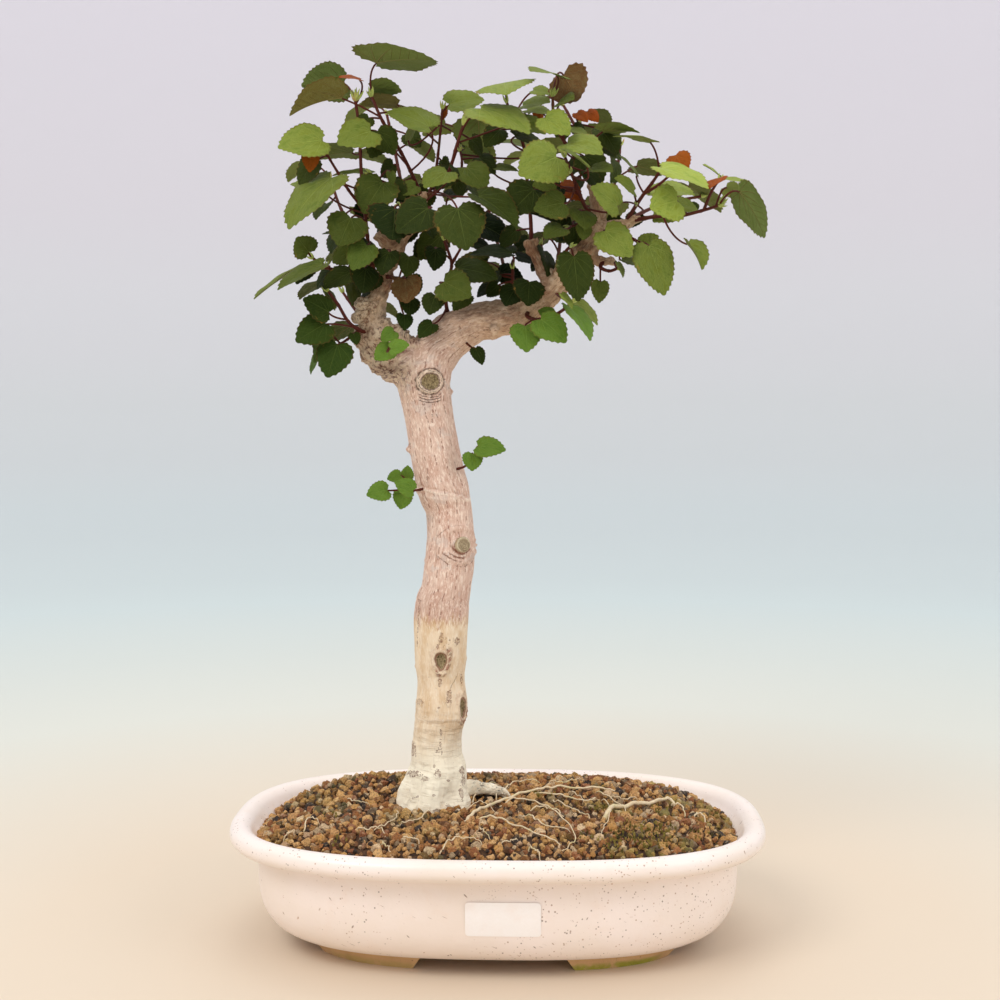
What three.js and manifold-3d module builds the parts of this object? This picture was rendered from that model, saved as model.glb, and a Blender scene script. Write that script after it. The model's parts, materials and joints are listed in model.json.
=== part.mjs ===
// Sea hibiscus bonsai in an oval pot. Millimetres, +Z up, z = 0 is the ground under the middle of the pot.
import * as THREE from 'three';
import { mergeVertices } from 'three/addons/utils/BufferGeometryUtils.js';
import Module from 'manifold-3d';

const wasm = await Module();
wasm.setup();

// Driving dimensions
const GAP = 0.3;
const FINEST_EDGE = 0.01;
const OVAL = 2.7;
const OVAL_STEPS = 32;
const FOOT_HEIGHT = 10;
const FLOOR_TOP = 18;
const HOLE_X = 62;
const HOLE_R = 9;
const SOIL_EDGE = 70;
const VIEW_DISTANCE = 1000;
const VIEW_HEIGHT = 356;
const VIEW_TURN = THREE.MathUtils.degToRad(2);
const VIEW_ASIDE = 1.5;

// The pot's outline from its underside over the rim to its floor: half length, half width, height
const POT_PROFILE = [
  [126, 77, 0],
  [132, 80, FOOT_HEIGHT],
  [137, 84, FOOT_HEIGHT],
  [143, 89.5, 12],
  [152, 97, 18],
  [158.5, 102, 28],
  [161.5, 104.5, 42],
  [163, 105.5, 67],
  [169, 111, 69],
  [177, 119.3, 70.5],
  [180, 122.5, 75],
  [179.5, 122, 80],
  [176, 118.5, 83],
  [171, 113.5, 83],
  [167, 109.5, 80],
  [164, 106.5, 75],
  [157, 99.5, 64],
  [149, 92, 32],
  [126, 72, FLOOR_TOP],
];
const POT_INSIDE = POT_PROFILE.slice(15);

// Colours
const POT_COLOUR = '#f3e4da';
const SOIL_COLOUR = '#8f6c45';
const SCREEN_COLOUR = '#3b3d3a';
const LABEL_COLOUR = '#f4f1ea';
const BARK_COLOUR = '#cdb49c';
const LEAF_COLOUR = '#5c8a37';

// Repeatable draws: the same number always gives the same value between 0 and 1.
function draw(n) {
  const v = Math.sin(n * 12.9898 + 4.1414) * 43758.5453;
  return v - Math.floor(v);
}

const RIGHT = new THREE.Vector3(Math.cos(VIEW_TURN), Math.sin(VIEW_TURN), 0);
const AHEAD = new THREE.Vector3(-Math.sin(VIEW_TURN), Math.cos(VIEW_TURN), 0);
const EYE = new THREE.Vector3(0, 0, VIEW_HEIGHT)
  .addScaledVector(AHEAD, -VIEW_DISTANCE)
  .addScaledVector(RIGHT, VIEW_ASIDE);

// The tree's places are given as seen from the front: x and z on an upright plane through the middle of
// the pot, and how deep the place lies behind that plane, along the line of sight.
function seen(x, z, depth) {
  const onPlane = RIGHT.clone().multiplyScalar(x).setZ(z);
  return onPlane.sub(EYE).multiplyScalar(1 + depth / VIEW_DISTANCE).add(EYE);
}

// Solids
function solid(points, triangles) {
  const vertProperties = new Float32Array(points.length * 3);
  points.forEach((p, i) => p.toArray(vertProperties, i * 3));
  const triVerts = new Uint32Array(triangles.flat());
  return new wasm.Manifold(new wasm.Mesh({ numProp: 3, vertProperties, triVerts }));
}

function fromGeometry(source) {
  const geometry = source.clone();
  geometry.deleteAttribute('normal');
  geometry.deleteAttribute('uv');
  const merged = mergeVertices(geometry, 1e-4);
  return new wasm.Manifold(new wasm.Mesh({
    numProp: 3,
    vertProperties: new Float32Array(merged.attributes.position.array),
    triVerts: new Uint32Array(merged.index.array),
  }));
}

// Leaves out the slivers and short edges that joining and cutting leave behind.
function cleaned(body) {
  const { vertProperties, triVerts } = body.getMesh();
  return new wasm.Manifold(new wasm.Mesh({ numProp: 3, vertProperties, triVerts })).simplify(FINEST_EDGE);
}

function toMesh(name, body, colour, roughness) {
  const { numProp, vertProperties, triVerts } = cleaned(body).getMesh();
  const positions = [];
  for (let i = 0; i < vertProperties.length; i += numProp) {
    positions.push(vertProperties[i], vertProperties[i + 1], vertProperties[i + 2]);
  }
  const geometry = new THREE.BufferGeometry();
  geometry.setAttribute('position', new THREE.Float32BufferAttribute(positions, 3));
  geometry.setIndex([...triVerts]);
  geometry.computeVertexNormals();
  const material = new THREE.MeshStandardMaterial({ color: colour, roughness, metalness: 0 });
  const mesh = new THREE.Mesh(geometry, material);
  mesh.name = name;
  return mesh;
}

function joined(bodies) {
  return bodies.reduce((all, body) => all.add(body));
}

function largest(body) {
  return body.decompose().reduce((best, one) => (one.volume() > best.volume() ? one : best));
}

// A closed body through rings with the same number of points each, capped flat at both ends.
function loft(rings) {
  const count = rings[0].length;
  const triangles = [];
  rings.slice(1).forEach((_, k) => {
    const low = k * count;
    const high = low + count;
    for (let i = 0; i < count; i += 1) {
      const j = (i + 1) % count;
      triangles.push([low + i, low + j, high + j], [low + i, high + j, high + i]);
    }
  });
  const top = (rings.length - 1) * count;
  for (let i = 1; i < count - 1; i += 1) {
    triangles.push([0, i + 1, i], [top, top + i, top + i + 1]);
  }
  return solid(rings.flat(), triangles);
}

// Rings round a line of stations {at, r}; the first ring's first point looks along facing.
function ringsAlong(stations, sides, facing, shape = () => 1) {
  let side = facing.clone();
  return stations.map((station, k) => {
    const before = stations[Math.max(0, k - 1)].at;
    const after = stations[Math.min(stations.length - 1, k + 1)].at;
    const along = after.clone().sub(before).normalize();
    side = side.clone().addScaledVector(along, -side.dot(along)).normalize();
    const across = along.clone().cross(side);
    return Array.from({ length: sides }, (_, i) => {
      const turn = (2 * Math.PI * i) / sides;
      const r = station.r * shape(turn, station.at, k);
      return station.at.clone()
        .addScaledVector(side, r * Math.cos(turn))
        .addScaledVector(across, r * Math.sin(turn));
    });
  });
}

// Pot
function ovalPoint(a, b, turn) {
  const c = Math.cos(turn);
  const s = Math.sin(turn);
  return [a * Math.sign(c) * Math.abs(c) ** (2 / OVAL), b * Math.sign(s) * Math.abs(s) ** (2 / OVAL)];
}

function ovalRing(a, b, z) {
  return Array.from({ length: OVAL_STEPS }, (_, i) => {
    const [x, y] = ovalPoint(a, b, (2 * Math.PI * (i + 0.5)) / OVAL_STEPS);
    return new THREE.Vector3(x, y, z);
  });
}

// The base is a low oval block; two crossing gaps with sloping sides leave its four corners as feet.
function footGap([lowX, lowY], [highX, highY]) {
  const corners = [[-1, -1], [1, -1], [1, 1], [-1, 1]];
  const ring = (x, y, z) => corners.map(([i, j]) => new THREE.Vector3(i * x, j * y, z));
  return loft([ring(lowX, lowY, -1), ring(highX, highY, FOOT_HEIGHT + 0.4)]);
}

function drainHole(x, radius, from, to, sides) {
  const cylinder = new THREE.CylinderGeometry(radius, radius, to - from, sides);
  cylinder.rotateX(Math.PI / 2);
  cylinder.translate(x, 0, (from + to) / 2);
  return fromGeometry(cylinder);
}

function pot() {
  const bowl = loft(POT_PROFILE.map(([a, b, z]) => ovalRing(a, b, z)));
  const gaps = [footGap([52.5, 82], [45.5, 82]), footGap([134.5, 46], [134.5, 40])];
  const holes = [-HOLE_X, HOLE_X].map((x) => drainHole(x, HOLE_R, 5, 25, 12));
  return bowl.subtract(joined([...gaps, ...holes]));
}

// Drainage screens: a thin square lattice of plastic over each hole
const SCREEN_SIZE = 30;
const SCREEN_OPENING = 9.5;
const SCREEN_PITCH = 13;
const SCREEN_THICK = 1.2;

function box(w, d, h, x, y, z) {
  const geometry = new THREE.BoxGeometry(w, d, h);
  geometry.translate(x, y, z);
  return fromGeometry(geometry);
}

function screen(x) {
  const z = FLOOR_TOP + GAP + SCREEN_THICK / 2;
  const plate = box(SCREEN_SIZE, SCREEN_SIZE, SCREEN_THICK, x, 0, z);
  const openings = [[-1, -1], [1, -1], [1, 1], [-1, 1]].map(([i, j]) => (
    box(SCREEN_OPENING, SCREEN_OPENING, 3, x + (i * SCREEN_PITCH) / 2, (j * SCREEN_PITCH) / 2, z)
  ));
  return plate.subtract(joined(openings));
}

// Soil: granules as a relief of small peaks over a mound that is higher behind the trunk
const GRAIN = 14;
const GRAIN_RISE = 2.2;
const GRAIN_STRAY = 3;
const SOIL_COLUMNS = 24;
const SOIL_ROWS = 18;
const MOUND = 15;
const REAR_MOUND = 9;
const LEFT_LUMP = { x: -105, y: 55, wide: 38, deep: 30, high: 4 };

function soilHeight(x, y) {
  const [halfLong, halfWide] = POT_INSIDE[0];
  const out = Math.min(1, (Math.abs(x) / halfLong) ** OVAL + (Math.abs(y) / halfWide) ** OVAL);
  const mound = MOUND * (1 - out ** 2);
  const rear = REAR_MOUND * THREE.MathUtils.smoothstep(y, -10, 62) * (1 - out ** 3);
  const fromLump = ((x - LEFT_LUMP.x) / LEFT_LUMP.wide) ** 2 + ((y - LEFT_LUMP.y) / LEFT_LUMP.deep) ** 2;
  return SOIL_EDGE + mound + rear + LEFT_LUMP.high * Math.exp(-fromLump);
}

function soilBlock() {
  const columns = SOIL_COLUMNS;
  const rows = SOIL_ROWS;
  const step = 0.91 * GRAIN;
  const points = [];
  const triangles = [];
  for (let j = 0; j <= rows; j += 1) {
    for (let i = 0; i <= columns; i += 1) {
      const n = j * (columns + 1) + i;
      const stagger = j % 2 ? 0.5 : 0;
      const x = (i + stagger - columns / 2) * GRAIN + (draw(n) - 0.5) * GRAIN_STRAY;
      const y = (j - rows / 2) * step + (draw(n + 7000) - 0.5) * GRAIN_STRAY;
      const crown = (i + (j % 2 ? 2 : 0)) % 3 === 0;
      const lift = crown ? GRAIN_RISE * (0.5 + draw(n + 9000)) : -GRAIN_RISE * 0.5;
      points.push(new THREE.Vector3(x, y, soilHeight(x, y) + lift));
    }
  }
  const count = points.length;
  points.slice().forEach((p) => points.push(new THREE.Vector3(p.x, p.y, 0)));
  const quad = (a, b, c, d) => triangles.push([a, b, c], [a, c, d]);
  for (let j = 0; j < rows; j += 1) {
    for (let i = 0; i < columns; i += 1) {
      const a = j * (columns + 1) + i;
      const b = a + 1;
      const d = a + columns + 1;
      const c = d + 1;
      if (j % 2) {
        triangles.push([a, b, c], [a, c, d]);
        triangles.push([a + count, c + count, b + count], [a + count, d + count, c + count]);
      } else {
        triangles.push([a, b, d], [b, c, d]);
        triangles.push([a + count, d + count, b + count], [b + count, d + count, c + count]);
      }
    }
  }
  for (let i = 0; i < columns; i += 1) {
    const far = rows * (columns + 1) + i;
    quad(i + count, i + 1 + count, i + 1, i);
    quad(far + 1 + count, far + count, far, far + 1);
  }
  for (let j = 0; j < rows; j += 1) {
    const left = j * (columns + 1);
    const right = left + columns;
    quad(left + columns + 1 + count, left + count, left, left + columns + 1);
    quad(right + count, right + columns + 1 + count, right + columns + 1, right);
  }
  return solid(points, triangles);
}

function soil(around) {
  const inside = POT_INSIDE.map(([a, b, z]) => [a - GAP, b - GAP, z]).reverse();
  inside[0][2] = FLOOR_TOP + GAP;
  inside.push([POT_INSIDE[0][0] - GAP, POT_INSIDE[0][1] - GAP, SOIL_EDGE + 40]);
  const filling = loft(inside.map(([a, b, z]) => ovalRing(a, b, z)));
  const recess = SCREEN_SIZE + 2 * GAP;
  const recesses = [-HOLE_X, HOLE_X].map((x) => (
    box(recess, recess, SCREEN_THICK + 3 * GAP, x, 0, FLOOR_TOP + (SCREEN_THICK + 3 * GAP) / 2)
  ));
  return largest(filling.intersect(soilBlock()).subtract(joined([around, ...recesses])));
}

// Trunk and limbs: x, z and depth as seen, and radius
const TRUNK_LINE = [
  [-42, 46, 12, 29],
  [-44, 84, 12, 24.5],
  [-43.5, 96, 12, 22.8],
  [-41.5, 112, 12, 19.8],
  [-42, 120, 12, 17.8],
  [-42, 131, 12, 16.7],
  [-40.5, 143, 11, 16.7],
  [-38.5, 153, 11, 18],
  [-38.5, 173, 11, 16.3],
  [-39, 186, 11, 17.4],
  [-37.5, 226, 10, 18.7],
  [-35.5, 234, 10, 17.2],
  [-33, 256, 11, 17],
  [-32, 275, 12, 15.9],
  [-33, 291, 13, 16],
  [-35.5, 300, 13, 17.7],
  [-41, 321, 13, 17.1],
  [-47.5, 360, 12, 16.8],
  [-49.5, 374, 12, 17.8],
  [-49, 386, 12, 18],
  [-48, 394, 12, 13],
];
const WOOD_LINES = {
  left_limb: [
    [-50, 372, 12, 13],
    [-60, 387, 11, 15],
    [-70, 397, 10, 14.5],
    [-79, 407, 9, 12.5],
    [-84, 416, 8, 9.5],
    [-83, 426, 8, 7.8],
    [-79, 438, 9, 6.2],
    [-74, 452, 11, 5.6],
    [-68, 466, 12, 5.4],
    [-60, 481, 12, 5],
    [-53, 494, 12, 4.4],
    [-50, 503, 12, 3.4],
  ],
  left_stub: [
    [-83, 412, 8, 7],
    [-87, 421, 5, 6.5],
    [-91.5, 430.5, 2, 5.8],
  ],
  left_snag: [
    [-69, 464, 12, 4],
    [-76, 471, 8, 4.4],
    [-82, 475, 6, 3.4],
  ],
  right_limb: [
    [-49, 376, 12, 13],
    [-44, 392, 12, 16.5],
    [-36, 403.5, 12, 16],
    [-25.5, 411, 11, 14.5],
    [-13, 416.5, 10, 12.9],
    [0, 418.5, 9, 12.8],
    [12, 421.5, 8, 11.2],
    [24, 428, 7, 9.8],
    [35, 436, 6, 8.8],
    [44, 446, 5, 8.8],
    [52, 456, 4, 9.2],
    [60, 466, 3, 8.8],
    [65.5, 478, 3, 7.2],
    [67, 489, 3, 5.2],
    [66, 501, 3, 4.6],
    [64.5, 516, 2, 4.4],
    [63, 531.5, 2, 4],
  ],
  right_branch: [
    [62, 470, 3, 5],
    [71, 477.5, 1, 5.2],
    [81, 480.5, -1, 4.4],
    [90, 484, -3, 3.4],
    [96, 486, -5, 2.4],
  ],
  cut_stub: [
    [37, 438, 6, 4.5],
    [31, 450, 5, 5],
    [26, 460, 4, 4.8],
    [22.5, 471.5, 3, 4.6],
  ],
  low_twig: [
    [60, 459, 2, 3.4],
    [69, 457, -1, 3.2],
    [79, 457.5, -4, 2.2],
  ],
};
const BURIED_ROOTS = [
  { turn: 0.5, reach: 68, r: 8 },
  { turn: 1.9, reach: 60, r: 8 },
  { turn: 3.3, reach: 72, r: 7 },
  { turn: 4.2, reach: 62, r: 8 },
  { turn: 5.5, reach: 76, r: 8 },
];
const SURFACE_ROOT = [
  [-30, 90, 18, 7],
  [-16, 94, 20, 6],
  [2, 93.5, 20, 4],
  [14, 92, 19, 2.6],
  [24, 93.2, 19, 1.9],
  [40, 96, 24, 1.8],
  [54, 95.2, 21, 1.6],
  [67, 95, 20, 1.5],
  [82, 96, 24, 1.2],
];

function stationsOf(line, extra = 0) {
  return line.map(([x, z, depth, r]) => ({ at: seen(x, z, depth), r: r + extra }));
}

function barkShape(turn, at) {
  const flare = Math.max(0, (118 - at.z) / 60);
  const lobes = 0.16 * flare * Math.cos(5 * turn + 0.7) + 0.05 * flare * Math.cos(3 * turn);
  const ripple = 0.014 * Math.sin(3 * turn + at.z / 17) + 0.012 * Math.sin(5 * turn - at.z / 11);
  return 1 + lobes + ripple;
}

function tube(line, sides, extra = 0, shape = barkShape) {
  return loft(ringsAlong(stationsOf(line, extra), sides, RIGHT, shape));
}

function buriedRoot({ turn, reach, r }, extra) {
  const start = seen(TRUNK_LINE[0][0], TRUNK_LINE[0][1], TRUNK_LINE[0][2]);
  const stations = [0.25, 0.65, 1].map((part, k) => ({
    at: start.clone().add(new THREE.Vector3(
      Math.cos(turn + 0.15 * k) * reach * part,
      Math.sin(turn + 0.15 * k) * reach * part * 0.8,
      16 - 16 * part,
    )),
    r: r * (1.05 - 0.7 * part) + extra,
  }));
  return loft(ringsAlong(stations, 4, new THREE.Vector3(0, 0, 1)));
}

function wood(extra = 0) {
  const sides = {
    left_limb: 8, left_stub: 6, left_snag: 5, right_limb: 8, right_branch: 5, cut_stub: 6, low_twig: 5,
  };
  const limbs = Object.entries(WOOD_LINES).map(([name, line]) => tube(line, sides[name], extra));
  const roots = BURIED_ROOTS.map((root) => buriedRoot(root, extra));
  const onSoil = tube(SURFACE_ROOT, 4, extra, () => 1);
  return joined([tube(TRUNK_LINE, 12, extra), ...limbs, ...roots, onSoil]);
}

// Scars are given by their middle as seen, the trunk's line there and the size of their ring.
const SCARS = [
  { x: -45.3, z: 376.5, ring: [7.6, 7.4], band: 1.9, disc: 5.4, proud: 1.2 },
  { x: -26.5, z: 265.5, ring: [9.6, 9.2], band: 2.1, disc: 5.4, proud: 4.2, shift: 2.2 },
  { x: -38.8, z: 185, ring: [5.2, 7], band: 1.6, hollow: 3.9 },
  { x: -24, z: 154, ring: [3.4, 6], band: 1.5, hollow: 2.4 },
];

function trunkAt(z) {
  const k = TRUNK_LINE.findIndex((row) => row[1] > z);
  const [low, high] = [TRUNK_LINE[k - 1], TRUNK_LINE[k]];
  const part = (z - low[1]) / (high[1] - low[1]);
  return low.map((value, i) => value + (high[i] - value) * part);
}

function placeOnTrunk(geometry, scar, lift) {
  const [x, z, depth, r] = trunkAt(scar.z);
  const aside = scar.x - x;
  const turn = Math.asin(THREE.MathUtils.clamp(aside / r, -1, 1));
  geometry.rotateX(Math.PI / 2);
  geometry.rotateZ(turn);
  const out = r + lift;
  const at = seen(x + Math.sin(turn) * out, z, depth - Math.cos(turn) * out);
  geometry.translate(at.x, at.y, at.z);
  return fromGeometry(geometry);
}

function scarRing(scar) {
  const torus = new THREE.TorusGeometry(1, scar.band / scar.ring[0], 3, 10);
  torus.scale(scar.ring[0], scar.ring[1], scar.ring[0] * 0.9);
  return placeOnTrunk(torus, scar, -0.2);
}

function scarDisc(scar) {
  const deep = 8 + scar.proud;
  const disc = new THREE.CylinderGeometry(scar.disc * 0.94, scar.disc, deep, 10);
  disc.rotateX(Math.PI / 2);
  disc.translate(scar.shift ?? 0, 0, 0);
  return placeOnTrunk(disc, scar, scar.proud - deep / 2);
}

function scarHollow(scar) {
  const ball = new THREE.SphereGeometry(scar.hollow, 7, 4);
  ball.scale(1, scar.ring[1] / scar.ring[0], 1.1);
  return placeOnTrunk(ball, scar, 0.4);
}

function trunk() {
  const rings = SCARS.map(scarRing);
  const discs = SCARS.filter((scar) => scar.disc).map(scarDisc);
  const hollows = SCARS.filter((scar) => scar.hollow).map(scarHollow);
  return largest(joined([wood(), ...rings, ...discs]).subtract(joined(hollows)));
}

// Leaves. A blade is a toothed heart: half its outline as [aside, along] in blade lengths, from the stalk's
// joint round the lobe to the tip.
const HEART = [
  [0.02, 0], [0.1, -0.12], [0.23, -0.17], [0.38, -0.11], [0.48, 0.05],
  [0.49, 0.26], [0.41, 0.49], [0.27, 0.7], [0.11, 0.88], [0, 1],
];
const BLADE_THICK = 0.9;
const TOOTH = 0.032;
const STALK_R = 0.8;
const STALK_NECK = 3; // where the stalk starts to narrow into its stem
const LONG_STALK = 13; // a longer stalk is bent in two steps
const STEM_SIDES = 4;
const MAX_TRIES = 21;
const TRY_STEP = 3;
const REACH = { blade: 1.5, stalk: 1.1, stem: 0.6 };

const heartCurve = new THREE.CatmullRomCurve3(HEART.map(([u, v]) => new THREE.Vector3(u, v, 0)));

// One leaf: joint and tip as seen, how it is turned round its own length (0 faces the front, 90 faces up,
// 180 faces away), how far its halves fold up and how wide it is.
function leafFrame(leaf, shift) {
  const joint = seen(leaf.joint[0], leaf.joint[1], leaf.joint[2] + shift);
  const tip = seen(leaf.tip[0], leaf.tip[1], leaf.tip[2] + shift);
  const along = tip.clone().sub(joint);
  const length = along.length();
  along.normalize();
  const toEye = EYE.clone().sub(joint).normalize();
  const front = toEye.clone().addScaledVector(along, -toEye.dot(along)).normalize();
  const up = along.clone().cross(front);
  if (up.z + 0.3 * up.x < 0) up.negate();
  const roll = THREE.MathUtils.degToRad(leaf.roll);
  const face = front.multiplyScalar(Math.cos(roll)).addScaledVector(up, Math.sin(roll));
  const across = along.clone().cross(face);
  const fold = Math.tan(THREE.MathUtils.degToRad(leaf.fold));
  const place = (u, v, lift = 0) => {
    const side = Math.abs(u);
    const rise = length * (fold * side - 0.3 * side * side + leaf.arch * v * (1 - v)) + lift;
    return joint.clone()
      .addScaledVector(across, u * length * leaf.wide)
      .addScaledVector(along, v * length)
      .addScaledVector(face, rise);
  };
  return { joint, along, across, face, length, place };
}

// The stalk runs back from the joint, then bends over to its foot on the stem.
function stalkCurve(frame, foot) {
  const reach = frame.joint.distanceTo(foot);
  const bend = frame.joint.clone()
    .addScaledVector(frame.along, -0.3 * reach)
    .addScaledVector(frame.face, -0.25 * reach);
  return new THREE.QuadraticBezierCurve3(frame.joint, bend, foot);
}

function leafSolid(frame, foot, teeth) {
  const points = [];
  const triangles = [];
  const add = (p) => points.push(p) - 1;
  const half = BLADE_THICK / 2;
  const right = add(frame.place(STALK_R / frame.length, 0, half));
  const left = add(frame.place(-STALK_R / frame.length, 0, half));
  const under = add(frame.place(0, 0, -1.5 * half));
  const ribTop = [0.3, 0.66].map((v) => add(frame.place(0, v, half)));
  const ribUnder = [0.3, 0.66].map((v) => add(frame.place(0, v, -half)));
  const tip = add(frame.place(0, 1));
  const steps = 2 * teeth;
  const turnAt = Math.ceil(steps * 0.52);
  [1, -1].forEach((side) => {
    const tri = (p, q, r) => triangles.push(side > 0 ? [p, q, r] : [p, r, q]);
    const edge = [];
    for (let k = 1; k < steps; k += 1) {
      const at = heartCurve.getPointAt(k / steps);
      const ahead = heartCurve.getTangentAt(k / steps);
      const push = k % 2 ? TOOTH : -TOOTH;
      const u = side * Math.max(0.05, at.x + ahead.y * push);
      edge.push(add(frame.place(u, at.y - ahead.x * push)));
    }
    edge.push(tip);
    const joint = side > 0 ? right : left;
    tri(ribTop[0], joint, edge[0]);
    tri(ribUnder[0], edge[0], under);
    tri(joint, under, edge[0]);
    for (let k = 1; k < steps; k += 1) {
      const rib = k < turnAt ? 0 : 1;
      tri(ribTop[rib], edge[k - 1], edge[k]);
      tri(ribUnder[rib], edge[k], edge[k - 1]);
    }
    tri(ribTop[0], edge[turnAt - 1], ribTop[1]);
    tri(ribUnder[0], ribUnder[1], edge[turnAt - 1]);
  });
  triangles.push([ribTop[0], left, right]);
  addStalk(frame, foot, [left, under, right], points, triangles);
  return solid(points, triangles);
}

function addStalk(frame, foot, firstRing, points, triangles) {
  const curve = stalkCurve(frame, foot);
  const reach = frame.joint.distanceTo(foot);
  const neck = Math.max(0.4, 1 - STALK_NECK / reach);
  const stops = reach > LONG_STALK ? [0.4, neck] : [neck];
  const side = frame.across.clone();
  let ring = firstRing;
  stops.forEach((t) => {
    const along = curve.getTangent(t);
    side.addScaledVector(along, -side.dot(along)).normalize();
    const over = along.clone().cross(side).normalize();
    const spots = [[-1, 0.6], [0, -1.1], [1, 0.6]].map(([a, b]) => points.push(
      curve.getPoint(t).addScaledVector(side, a * STALK_R).addScaledVector(over, b * STALK_R),
    ) - 1);
    for (let i = 0; i < 3; i += 1) {
      const j = (i + 1) % 3;
      triangles.push([ring[i], ring[j], spots[j]], [ring[i], spots[j], spots[i]]);
    }
    ring = spots;
  });
  const end = points.push(foot.clone().addScaledVector(curve.getTangent(1), 0.8)) - 1;
  ring.forEach((spot, i) => triangles.push([spot, ring[(i + 1) % 3], end]));
}

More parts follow.
